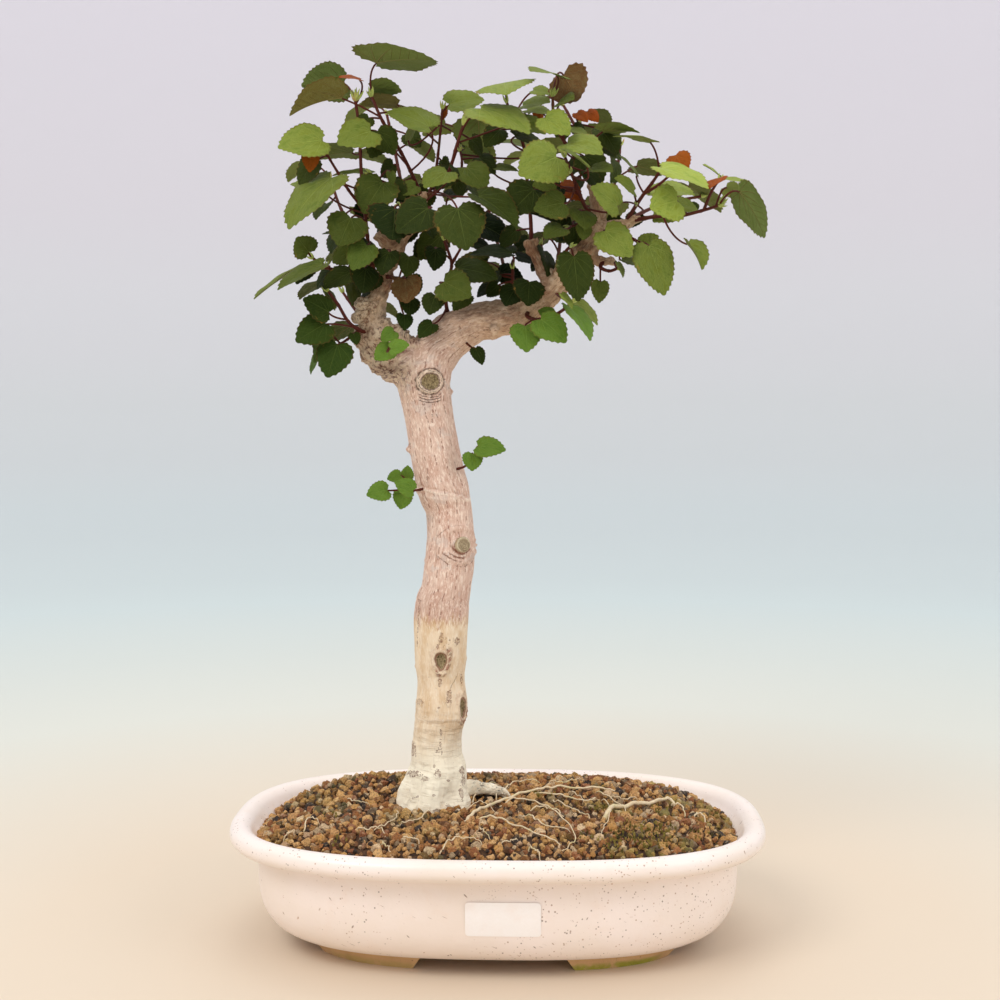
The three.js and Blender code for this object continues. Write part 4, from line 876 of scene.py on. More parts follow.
class BONSAI_OT_granules(bpy.types.Operator):
    """Scatters clay granules, crumbs and tufts of moss over the soil"""

    bl_idname = "bonsai.granules"
    bl_label = "Granules and moss"

    def execute(self, context):
        settings = context.scene.bonsai_soil
        rings = soil_cover()
        points, faces = loft(rings, cap=False)
        around = np.hypot(points[:, 0] - TRUNK_FOOT[0], points[:, 1] - TRUNK_FOOT[1])
        clear = step(around, 15, 19)
        patch = np.zeros(len(points))
        for u, v, wide, close in MOSS_PATCHES:
            x, y, _ = on_soil(u, v)
            far = np.hypot(points[:, 0] - x, (points[:, 1] - y) * 0.8)
            patch = np.maximum(patch, close * (1 - step(far, wide * 0.2, wide)))
        g = scatter_tree("scatter_on_soil")
        shapes = [lump_shape(f"lump_{k}", 40 + k, 19, size) for k, size in enumerate(LUMP_SIZES)]
        lumps = shape_box("lumps", shapes)
        tufts = shape_box("tufts", [tuft_shape(f"tuft_{k}", 60 + k) for k in range(4)])
        clay = granule_finish(settings)
        large, small = settings.granule, settings.crumb
        for k, (name, density, shapes, material, spacing, size, spread, sink) in enumerate((
            ("soil_granules", clear, lumps, clay, large * 0.72, large, 0.45, 0.0012),
            ("soil_crumbs", clear, lumps, clay, small * 1.15, small, 0.4, -0.0002),
            ("moss_tufts", patch * clear, tufts, moss_finish(), 0.0013, 0.0019, 0.45, -0.0022),
        )):
            made = new_object(fresh(name), points, faces)
            store(made, "density", density)
            g.on(made, Shapes=shapes, Material=material, Spacing=spacing, Size=size, Size_spread=spread,
                 Sink=sink, Seed=settings.seed + k, Upright=shapes == tufts)
            belongs(settled(made), "soil")
        empty_box(lumps)
        empty_box(tufts)
        return {"FINISHED"}


# Trunk and limbs: x, z and depth as seen, and radius

TRUNK_LINE = (
    (-42, 46, 12, 29), (-44, 84, 12, 24.5), (-43.5, 96, 12, 22.8), (-41.5, 112, 12, 19.8),
    (-42, 120, 12, 17.8), (-42, 131, 12, 16.7), (-40.5, 143, 11, 16.7), (-38.5, 153, 11, 18),
    (-38.5, 173, 11, 16.3), (-39, 186, 11, 17.4), (-37.5, 226, 10, 18.7), (-35.5, 234, 10, 17.2),
    (-33, 256, 11, 17), (-32, 275, 12, 15.9), (-33, 291, 13, 16), (-35.5, 300, 13, 17.7),
    (-41, 321, 13, 17.1), (-47.5, 360, 12, 16.8), (-49.5, 374, 12, 17.8), (-49, 386, 12, 18),
    (-48, 394, 12, 13),
)
LIMB_LINES = {
    "left_limb": (
        (-50, 372, 12, 13), (-60, 387, 11, 15), (-70, 397, 10, 14.5), (-79, 407, 9, 12.5), (-84, 416, 8, 9.5),
        (-83, 426, 8, 7.8), (-79, 438, 9, 6.2), (-74, 452, 11, 5.6), (-68, 466, 12, 5.4), (-60, 481, 12, 5),
        (-53, 494, 12, 4.4), (-50, 503, 12, 3.4),
    ),
    "left_stub": ((-83, 412, 8, 7), (-87, 421, 5, 6.5), (-91.5, 430.5, 2, 5.8)),
    "left_snag": ((-69, 464, 12, 4), (-76, 471, 8, 4.4), (-82, 475, 6, 3.4)),
    "right_limb": (
        (-49, 376, 12, 13), (-44, 392, 12, 16.5), (-36, 403.5, 12, 16), (-25.5, 411, 11, 14.5),
        (-13, 416.5, 10, 12.9), (0, 418.5, 9, 12.8), (12, 421.5, 8, 11.2), (24, 428, 7, 9.8),
        (35, 436, 6, 8.8), (44, 446, 5, 8.8), (52, 456, 4, 9.2), (60, 466, 3, 8.8), (65.5, 478, 3, 7.2),
        (67, 489, 3, 5.2), (66, 501, 3, 4.6), (64.5, 516, 2, 4.4), (63, 531.5, 2, 4),
    ),
    "right_branch": (
        (62, 470, 3, 5), (71, 477.5, 1, 5.2), (81, 480.5, -1, 4.4), (90, 484, -3, 3.4), (96, 486, -5, 2.4),
    ),
    "cut_stub": ((37, 438, 6, 4.5), (31, 450, 5, 5), (26, 460, 4, 4.8), (22.5, 471.5, 3, 4.6)),
    "low_twig": ((60, 459, 2, 3.4), (69, 457, -1, 3.2), (79, 457.5, -4, 2.2)),
}
BURIED_ROOTS = ((0.5, 68, 8), (1.9, 60, 8), (3.3, 72, 7), (4.2, 62, 8), (5.5, 76, 8))
SURFACE_ROOT = (
    (-30, 94, 18, 8.5), (-15, 98, 20, 7), (-1, 96, 20, 5.8), (8, 92, 19, 4.6), (17, 84, 18, 3.4),
)
# Knobs on the left limb and round the fork: place in the picture, depth as seen, and radius
KNOBS = (
    (363, 305, 2, 5.4), (359, 317, 3, 5), (364, 338, 8, 8), (371, 354, 8, 8), (380, 364, 8, 8),
    (392, 372, 9, 8), (404, 335, 0, 4), (412, 341, 2, 3.6), (398, 328, 0, 3.6), (386, 322, 0, 4),
    (378, 334, -3, 4.4), (391, 344, -2, 4), (455, 322, 2, 5), (494, 330, -4, 4), (519, 314, 2, 5),
    (538, 325, 0, 3.6), (409, 449.5, 12, 2.4), (418.5, 490, 12, 2.6), (450.5, 391.5, 12, 2),
    (467, 622, 12, 1.4), (466, 658, 12, 1.4), (416, 666, 12, 1.4), (425, 560, 12, 1.3),
)
ROOT_CRUMBS = ((482, 785, 10, 0.8), (500, 789, 9, 0.9))
# Wounds: middle x and z, half width and height of the callus round them, and their kind
HEALED, STUB, HOLLOW = 1, 2, 3
SCARS = (
    (-45.3, 376.5, 9.2, 8.2, HEALED),
    (-24.4, 266.0, 8.2, 7.2, STUB),
    (-38.8, 186, 5.1, 8.2, HOLLOW),
    (-24.0, 154, 3.8, 9.5, HOLLOW),
)
# Small dark marks on the trunk by their places in the picture: middle, half width, half height and darkness
MARKS = (
    (441.5, 637.5, 2.2, 5, 0.8), (456.5, 641, 2.6, 3.6, 0.9), (437.7, 646.5, 1.3, 2.4, 0.9),
    (447, 649.5, 1.2, 1.4, 0.9), (449.6, 640, 1.1, 1.2, 0.7), (440.2, 681, 2.2, 3, 0.9),
    (439.5, 686, 1.2, 1.4, 0.8), (449, 696.4, 3, 7.5, 0.8), (419.8, 701.8, 3.8, 3.6, 0.5),
    (438.8, 708, 1.4, 1.5, 0.95), (441, 732, 1.1, 3.4, 0.95), (440.6, 744.4, 1.1, 2.6, 0.9),
    (437, 751.6, 1.7, 1.5, 0.9), (441.8, 753, 0.9, 2, 0.6), (414.4, 749.8, 2.8, 8, 0.75),
    (434, 766.3, 1.5, 1.5, 0.95), (437.6, 773.8, 3.2, 4.2, 0.65), (413.5, 773.8, 6.5, 3, 0.85),
    (426, 779, 4, 3, 0.8), (448.2, 780.5, 2, 1.3, 0.9), (461.5, 771, 2.2, 5, 0.9), (462.5, 781, 2.2, 5, 0.9),
    (460, 793, 1.6, 7, 0.7), (434, 795.5, 1.4, 1.3, 0.9), (417, 797, 2.2, 1.1, 0.8), (412, 798, 1, 1.4, 0.8),
    (437.5, 812, 4.2, 3.6, 0.75), (449.5, 806.7, 1.8, 3, 0.95), (453.5, 809, 2, 3, 0.8),
    (461.5, 679.5, 0.9, 6, 0.8), (409.5, 446, 1.6, 3, 0.8), (427, 478, 1.2, 2.6, 0.7),
    (420, 491, 2, 1.4, 0.5), (419.6, 601, 1.4, 3, 0.9), (419, 609, 0.9, 5, 0.9), (418.2, 619, 0.9, 6, 0.9),
    (417.5, 630, 0.7, 5, 0.8), (417, 643, 0.6, 4, 0.7), (424, 404, 2.2, 1.2, 0.8), (433, 411, 1, 2, 0.9),
    (431.8, 421, 1, 2.4, 0.95), (456, 550, 1, 2, 0.7), (452, 574, 1.1, 1.3, 0.8), (454, 532, 1.3, 1.3, 0.9),
    (438, 590, 0.9, 1.4, 0.8), (361, 333, 2.4, 6, 0.95), (358, 342, 1.6, 5, 0.9), (369, 314, 1.4, 5, 0.8),
    (366, 322, 3, 2, 0.8), (402, 351, 7, 1.8, 0.8), (409, 333, 2.6, 1.2, 0.7), (400, 341, 2.4, 1.4, 0.7),
    (384, 333, 2, 2.6, 0.7), (375, 346, 2, 3, 0.6), (432, 395, 1, 3, 0.8), (431.6, 386.6, 3, 0.9, 0.7),
    (458, 412, 1, 3, 0.4), (471, 336, 3, 1, 0.7), (486, 331, 2.6, 1, 0.6), (460, 330, 1.6, 3.4, 0.6),
    (504, 326, 3, 1.2, 0.6),
)
# Brown patches on the bark by their places in the picture, partly stains and partly painted shade, as on the
# limbs in the leaves' shadow, under the left knee and below the root: middle, half width, half height and
# strength
STAINS_AND_SHADE = (
    (392, 368, 16, 7, 0.6), (365, 352, 10, 12, 0.25), (405, 352, 12, 4, 0.6), (398, 284, 24, 15, 0.9),
    (420, 252, 30, 26, 0.9), (480, 313, 40, 7, 0.6), (512, 316, 30, 10, 0.55), (470, 331, 12, 6, 0.3),
    (548, 296, 20, 8, 0.6), (534, 258, 18, 32, 0.95), (585, 250, 22, 26, 0.75), (602, 208, 14, 24, 0.65),
    (440, 355, 14, 12, 0.3), (418, 352, 10, 10, 0.35), (436, 604, 26, 14, 0.2), (452, 420, 10, 40, 0.12),
    (445, 336, 8, 12, 0.3), (357, 338, 5, 9, 0.7), (492, 797, 22, 5, 0.5), (473, 776, 5, 7, 0.4),
    (413, 338, 5, 6, 0.5), (368, 333, 4, 7, 0.7), (393, 238, 24, 14, 0.7),
)
# Level ridges and creases round the trunk, which the bark's finish paints with a highlight on the ridges and
# shade in the creases: height, fall to the right, how far they rise, and their half width
FOLDS = (
    (362.8, 0.04, -0.35, 0.8), (359.8, 0.04, 0.3, 1.4), (300.5, 0.17, 0.7, 0.8), (302.8, 0.17, -0.4, 1.0),
    (296.5, 0.15, 0.35, 1.5), (146.6, -0.03, 0.45, 1.0), (144.6, -0.03, -0.4, 0.7), (139.6, -0.03, 0.3, 1.1),
    (137.8, -0.03, -0.3, 0.7), (128, 0, 0.3, 1.3),
)


def bark_shape(turns, place):
    flare = max(0, (118 - place[2]) / 60)
    lobes = 0.16 * flare * np.cos(5 * turns + 0.7) + 0.05 * flare * np.cos(3 * turns)
    ripple = 0.014 * np.sin(3 * turns + place[2] / 17) + 0.012 * np.sin(5 * turns - place[2] / 11)
    return 1 + lobes + ripple


def wood_line(line, pitch=2.5):
    """Places and radii along a line of the tree, close together and smoothly curved."""
    line = np.array(line, float)
    reach = np.linalg.norm(np.diff(line[:, :3], axis=0), axis=1).sum()
    rows = curve_rows(line, max(4, int(reach / pitch)))
    return np.array([seen(*row[:3]) for row in rows]), rows[:, 3]


def wood_tube(line, sides, shape=bark_shape):
    places, radii = wood_line(line)
    rings = rings_along(places, radii, sides, shape=shape)
    first, last = places[0], places[-1]
    start = [first + (ring - first) * part for ring, part in ((rings[0], 0.3), (rings[0], 0.8))]
    end = [last + (ring - last) * part for ring, part in ((rings[-1], 0.85), (rings[-1], 0.4))]
    return loft([*start, *rings, *end])


def buried_root(turn, reach, radius):
    start = seen(*TRUNK_LINE[0][:3])
    places, radii = [], []
    for k, part in enumerate((0.2, 0.4, 0.65, 0.85, 1)):
        way, far = turn + 0.15 * k, reach * part
        places.append(start + (math.cos(way) * far, math.sin(way) * far * 0.8, 16 - 16 * part))
        radii.append(radius * (1.05 - 0.7 * part))
    return loft(rings_along(np.array(places), radii, 12, facing=UP))


def trunk_at(z):
    """The trunk's middle and radius at a height, as seen."""
    rows = np.array(TRUNK_LINE, float)
    return [np.interp(z, rows[:, 1], rows[:, k]) for k in (0, 1, 2, 3)]


def scar_frame(scar):
    """The scar's middle on the bark, the way out of the trunk there and the way across it."""
    x, z, depth, radius = trunk_at(scar[1])
    turn = math.asin(max(-1, min(1, (scar[0] - x) / radius)))
    middle = seen(x + math.sin(turn) * radius, z, depth - math.cos(turn) * radius)
    out = unit(middle - seen(x, z, depth))
    across = unit(np.cross(UP, out))
    return middle, out, across


def wood_skin(voxel):
    """One closed skin over the trunk, its limbs and its thick roots."""
    bodies = [wood_tube(TRUNK_LINE, 72)]
    bodies += [wood_tube(line, 36) for line in LIMB_LINES.values()]
    bodies += [buried_root(*root) for root in BURIED_ROOTS]
    bodies.append(wood_tube(SURFACE_ROOT, 20, None))
    for u, v, depth, radius in KNOBS:
        parts = np.linspace(-0.96, 0.96, 9)
        places = seen(*pictured(u, v), depth) + np.outer(parts * radius, UP)
        bodies.append(loft(rings_along(places, radius * np.sqrt(1 - parts**2), 14)))
    middle, out, across = scar_frame(SCARS[1])
    stub = [middle + out * lift for lift in (-6, -3, 0, 1.6)]
    bodies.append(loft(rings_along(np.array(stub), [8.4, 7.4, 5.8, 4.8], 28, facing=UP)))
    skin = new_object("wood_skin", *joined(bodies))
    remesh = skin.modifiers.new("skin", "REMESH")
    remesh.mode = "VOXEL"
    remesh.voxel_size = voxel
    soft = skin.modifiers.new("soft", "SMOOTH")
    soft.factor = 0.5
    soft.iterations = 5
    return settled(skin)


def read_points(mesh, normals=False):
    values = np.empty(len(mesh.vertices) * 3)
    if normals:
        mesh.vertex_normals.foreach_get("vector", values)
    else:
        mesh.vertices.foreach_get("co", values)
    return values.reshape(-1, 3)


def along_the_grain(points):
    """For each point, its place in straightened wood (side, side, along, in mm) and how much of a limb it is.

    A limb's sides and its count along the wood carry on from the wood that it leaves, and where lines
    meet, both are blended, so that the bark's pattern has no seam.
    """
    spots = [(seen(*TRUNK_LINE[0][:3]), RIGHT, 0.0)]
    held, nearness, limbs = [], [], []
    for n, (name, line) in enumerate({"trunk": TRUNK_LINE, **LIMB_LINES}.items()):
        places, radii = wood_line(line, 4)
        _, side, walked = min(spots, key=lambda spot: np.linalg.norm(spot[0] - places[0]))
        grain = np.zeros((len(points), 3))
        best = np.full(len(points), np.inf)
        limb = np.zeros(len(points))
        for k, place in enumerate(places):
            along = unit(places[min(k + 1, len(places) - 1)] - places[max(k - 1, 0)])
            side = unit(side - along * side.dot(along))
            over = np.cross(along, side)
            walked += np.linalg.norm(place - places[k - 1]) if k else 0
            spots.append((place, side, walked))
            offset = points - place
            far = np.linalg.norm(offset, axis=1) / radii[k]
            near = far < best
            best[near] = far[near]
            grain[near] = offset[near] @ np.stack((side, over, along), axis=1) + (0, 0, walked)
            start = 0.7 if name in ("left_stub", "left_snag") else 0.3
            limb[near] = min(1, start + 1.2 * k / len(places)) if n else 0
        held.append(grain)
        nearness.append(best)
        limbs.append(limb)
    nearness = np.array(nearness)
    weight = np.exp(-(((nearness - nearness.min(axis=0)) / 0.3) ** 2))
    weight /= weight.sum(axis=0)
    return (np.array(held) * weight[:, :, None]).sum(axis=0), (np.array(limbs) * weight).sum(axis=0)


def hump(offset, wide):
    """1 at an offset of 0, falling away smoothly over about wide."""
    return np.exp(-((offset / wide) ** 2))


def rough(points, scale, seed):
    """Smooth repeatable noise, about -0.5 to 0.5, at each point."""
    shift = Vector((seed * 3.7, seed * 1.3, seed * 2.1))
    return np.array([noise.noise(Vector(p) * scale + shift) for p in points])


def shape_bark(skin):
    """Raises the callus rings, sinks the wounds and roughens the bark; keeps what the bark's finish reads."""
    mesh = skin.data
    points = read_points(mesh) / MM
    normals = read_points(mesh, normals=True)
    grain, limb = along_the_grain(points)
    x, z = points @ RIGHT, points[:, 2]
    turn = np.arctan2(grain[:, 1], grain[:, 0])
    stretched = grain * (1, 1, 0.16)
    lift = 0.6 * rough(stretched, 0.16, 1) + 0.35 * rough(stretched, 0.45, 2)
    knotty = limb * step(z, 385, 410)
    lift += knotty * (2.2 * rough(points, 0.12, 3) + 1.5 * rough(points, 0.3, 4))
    lift += knotty * 0.6 * rough(points, 0.8, 6)
    wrinkles = step(z, 90, 110) * (1 - step(z, 150, 172))
    lift += wrinkles * 0.3 * rough(grain * (0.12, 0.12, 1), 0.5, 5)
    foot = 1 - step(z, 84, 112)
    lift += foot * (2.5 * np.cos(5 * turn + 2.4) + 2.4 * rough(points, 0.09, 8) + 0.9 * rough(points, 0.3, 9))
    front = normals @ -AHEAD
    picture_x, picture_y = in_picture(points)
    crumbly = np.zeros(len(points))
    for u, v, reach, strength in (*((u, v, 2.4 * radius, 1) for u, v, _, radius in KNOBS[:12]), *ROOT_CRUMBS):
        crumbly = np.maximum(crumbly, strength * hump(np.hypot(picture_x - u, picture_y - v), reach))
    lift += crumbly * (1.3 * rough(points, 0.35, 14) + 1.1 * rough(points, 0.75, 15))
    fold = np.zeros(len(points))
    for height, fall, rise, wide in FOLDS:
        wander = 2.4 * rough(points * (1, 1, 0), 0.07, height) + 1.2 * rough(points * (1, 1, 0), 0.3, height)
        near = hump(z + fall * (x - trunk_at(height)[0]) - height - wander, wide)
        fold += rise * near * step(front, -0.2, 0.5) * (limb < 0.05)
    lift += fold
    scar_place = np.zeros((len(points), 3))
    nearest = np.full(len(points), np.inf)
    for kind, scar in enumerate(SCARS, 1):
        middle, out, across = scar_frame(scar)
        offset = points - middle
        u, v, w = offset @ across / scar[2], offset @ UP / scar[3], offset @ out
        facing = (normals @ out > -0.3) & (w > -9) & (w < 12)
        rho = np.hypot(u, v) + 0.07 * rough(points, 0.25, 7 + kind)
        fade = facing * (rho < 3.2)
        if scar[4] == HEALED:
            change = 1.2 * hump(rho - 0.86, 0.17) - 0.9 * hump(rho - 1.08, 0.09)
            change -= 0.5 * (1 - step(rho, 0.5, 0.7))
        elif scar[4] == STUB:
            lower = 1 - step(v - 0.6 * u, -1.2, 0.2)
            change = 1.2 * hump(rho - 1.6, 0.3) + lower * 1.6 * rough(points, 0.5, 12) * (rho < 2)
        else:
            change = -2.6 * (1 - step(rho, 0.35, 0.75)) + 1.3 * hump(rho - 1.0, 0.26)
            change += 1.2 * rough(points, 0.6, 13) * hump(rho - 1.2, 0.4)
        lift += change * fade
        closer = fade & (rho < nearest)
        nearest[closer] = rho[closer]
        scar_place[closer] = np.stack((u[closer], v[closer], np.full(closer.sum(), scar[4])), axis=1)
    # Brown stains and painted shade on the bark, by their places in the picture
    stain = np.zeros(len(points))
    for u, v, wide, high, strength in STAINS_AND_SHADE:
        stain = np.maximum(stain, strength * hump(picture_x - u, wide) * hump(picture_y - v, high))
    mark_place = np.tile((9.0, 9.0, 0.0), (len(points), 1))
    closest = np.full(len(points), np.inf)
    for u, v, wide, high, dark in MARKS:
        aside, above = (picture_x - u) / wide, (v - picture_y) / high
        gap = np.hypot(aside, above) * min(wide, high)
        inside = (gap < 4.5) & (gap < closest) & (front > 0.08)
        closest[inside] = gap[inside]
        mark_place[inside] = np.stack((aside, above, np.full(len(points), dark)), axis=1)[inside]
        if wide > 1.7:
            lift += 0.6 * inside * hump(np.hypot(aside, above) - 0.9, 0.5)
    mesh.vertices.foreach_set("co", ((points + normals * lift[:, None]) * MM).ravel())
    mesh.update()
    near_scar = 1 - step(np.minimum(nearest, 9), 2.2, 3.0)
    kept = dict(limb=limb, fold=fold, stain=stain, crumbly=crumbly, near_scar=near_scar)
    for name, values in kept.items():
        store(skin, name, values)
    for name, values in dict(grain=grain, mark=mark_place, scar=scar_place).items():
        store(skin, name, values, "FLOAT_VECTOR")


def pore_rows(m, grain, spacing, pitch, width):
    """Dark breathing pores in upright rows: dashes where a wandering line crosses random cells."""
    side, over, along = m.parts(grain)
    around = m.times(m.math("ARCTAN2", over, side), 17.0)
    wander = m.times(m.noise(m.stretched(grain, 0.02, 0.02, 0.05), 1.0, 2), 6.0)
    row = m.math("DIVIDE", m.plus(around, wander), spacing)
    number = m.math("FLOOR", row)
    off = m.times(m.less(m.math("FRACT", row), 0.5), spacing)
    cells = m.cells(m.combine(m.times(number, 7.31), m.math("DIVIDE", along, pitch), 0.0), 1.0)
    there = m.between(cells["Distance"], 0.5, 0.4)
    return m.times(m.line(off, width), there)


def wound_finish(m, base, grain):
    """The bark's colour with its wounds worked in, a painted shadow under the stub among them, and the mask
    of their creases and that shadow, by which the bark is also sunk.
    """
    near = m.attribute("near_scar", "Fac")
    u, v, kind = m.parts(m.attribute("scar"))
    healed, stub, hollow = (m.math("COMPARE", kind, float(k)) for k in (HEALED, STUB, HOLLOW))
    taper = m.less(1.0, m.times(v, hollow, 0.35))
    wobble = m.times(m.less(m.noise(grain, 0.4, 4, 0.6), 0.5), 0.34)
    rho = m.plus(m.vector("LENGTH", m.combine(m.times(u, taper), v, 0.0)), wobble)
    below = m.between(v, -0.5, -1.0)
    broken = m.between(m.noise(grain, 0.42, 4, 0.65), 0.42, 0.5)

    def ring(radius, width, *shares):
        return m.times(m.line(m.less(rho, radius), width), *shares)

    gaps = m.between(m.noise(grain, 0.5, 4, 0.6), 0.44, 0.52)
    callus = ring(0.86, 0.3, m.less(1.0, stub), m.between(gaps, 0, 1, 0.6, 1.0))
    base = m.mix(m.times(callus, near, 0.6), base, (236, 216, 188))
    flakes = m.between(m.noise(grain, 0.5, 5, 0.7), 0.46, 0.51)
    creases_and_shadow = ring(0.67, 0.09, m.between(m.noise(grain, 0.6, 3), 0.3, 0.5, 0.5, 1.0))
    narrow = m.between(m.math("ABSOLUTE", u), 0.95, 0.7)
    for dark_ring in (
        ring(1.06, 0.13, healed, m.between(broken, 0, 1, 0.3, 1.0)), ring(0.85, 0.05, healed, gaps),
        ring(1.3, 0.07, healed, below, broken, narrow), ring(1.5, 0.07, healed, below, narrow),
        ring(1.72, 0.06, healed, below, narrow),
        # Painted shadow: a dark band under the stub's lower side
        ring(0.84, 0.2, stub, m.between(v, 0.3, -0.4)),
        ring(1.84, 0.04, stub, m.between(v, -0.5, 0.2), m.between(u, 0.4, -0.4),
             m.between(gaps, 0, 1, 0.3, 0.75)),
        ring(1.25, 0.16, stub, below, broken, m.between(u, 0.5, 0.1)),
        ring(1.6, 0.12, stub, below, gaps, m.between(u, 0.1, -0.3)),
        ring(2.1, 0.05, stub, m.between(v, -0.2, -0.7), m.between(gaps, 0, 1, 0.15, 0.75)),
        ring(1.1, 0.42, hollow, flakes, m.between(m.less(u, v), -0.6, 0.3, 0.25, 1.0)),
        ring(0.7, 0.17, hollow),
    ):
        creases_and_shadow = m.most(creases_and_shadow, dark_ring)
    creases_and_shadow = m.times(creases_and_shadow, near)
    flaky = m.times(hollow, m.math("GREATER_THAN", rho, 0.8))
    crease_and_shadow_colour = m.mix(flaky, m.mix(healed, (122, 70, 44), (84, 56, 38)), (164, 104, 84))
    base = m.mix(m.times(creases_and_shadow, 0.85), base, crease_and_shadow_colour)
    wood = m.noise(m.stretched(grain, 1, 1, 0.5), 1.3, 5, 0.7)
    dead = m.mix(m.between(wood, 0.36, 0.62), (92, 74, 48), (166, 146, 106))
    dead = m.mix(stub, dead, (146, 110, 84))
    dead = m.mix(hollow, dead, m.mix(m.between(wood, 0.36, 0.62), (112, 92, 62), (172, 154, 116)))
    cracks = m.between(m.noise(m.stretched(grain, 1, 1, 0.4), 0.9, 3, 0.6), 0.4, 0.36, 0, 0.8)
    dead = m.mix(m.times(cracks, m.less(1.0, stub)), dead, (48, 34, 22))
    inside = m.times(m.between(rho, 0.66, 0.61), near)
    return m.mix(inside, base, dead), creases_and_shadow


def cut_finish():
    """Old sawn wood with its year rings, round the object's own middle."""
    m = Finish("old_sawn_wood")
    spot = m.attribute("cut")
    far = m.plus(m.vector("LENGTH", spot), m.times(m.noise(spot, 1.6, 3), 0.16))
    rings = m.math("SINE", m.times(far, 27.0))
    base = m.mix(m.between(m.noise(spot, 3.5, 5, 0.7), 0.3, 0.7), (142, 120, 90), (190, 170, 136))
    base = m.mix(m.between(rings, 0.3, 1, 0, 0.35), base, (112, 90, 64))
    base = m.mix(m.line(m.less(far, 1.0), 0.16), base, (214, 196, 164))
    cracks = m.between(m.noise(m.stretched(spot, 1, 0.3, 1), 4, 3), 0.4, 0.34)
    base = m.mix(m.times(cracks, 0.6), base, (78, 56, 38))
    base = m.mix(m.between(far, 1.12, 1.2), base, (150, 112, 84))
    return m.surface(base, 0.85, [(rings, 0.0002), (cracks, -0.0004)])


def sawn_stub():
    """The low stub's flat cut: a short round body with a slightly hollow face."""
    middle, out, across = scar_frame(SCARS[1])
    way = unit(out + UP * 0.12 - across * 0.1)
    rows = ((-2, 5.3), (1.4, 5.35), (2.6, 5.2), (3.1, 4.7), (3.0, 4.1), (2.7, 2.4), (2.6, 0.6))
    points, faces = loft([
        middle + way * lift + ring for lift, reach in rows
        for ring in rings_along([np.zeros(3), way], [reach, reach], 36, facing=UP)[:1]])
    stub = new_object(fresh("sawn_stub"), points, faces, [cut_finish()])
    outward(stub)
    offset = (points - middle) / 5.2
    store(stub, "cut", np.stack((offset @ across, offset @ UP, offset @ way * 0), axis=1), "FLOAT_VECTOR")
    stub.data.set_sharp_from_angle(angle=math.radians(60))
    belongs(stub, "bark")


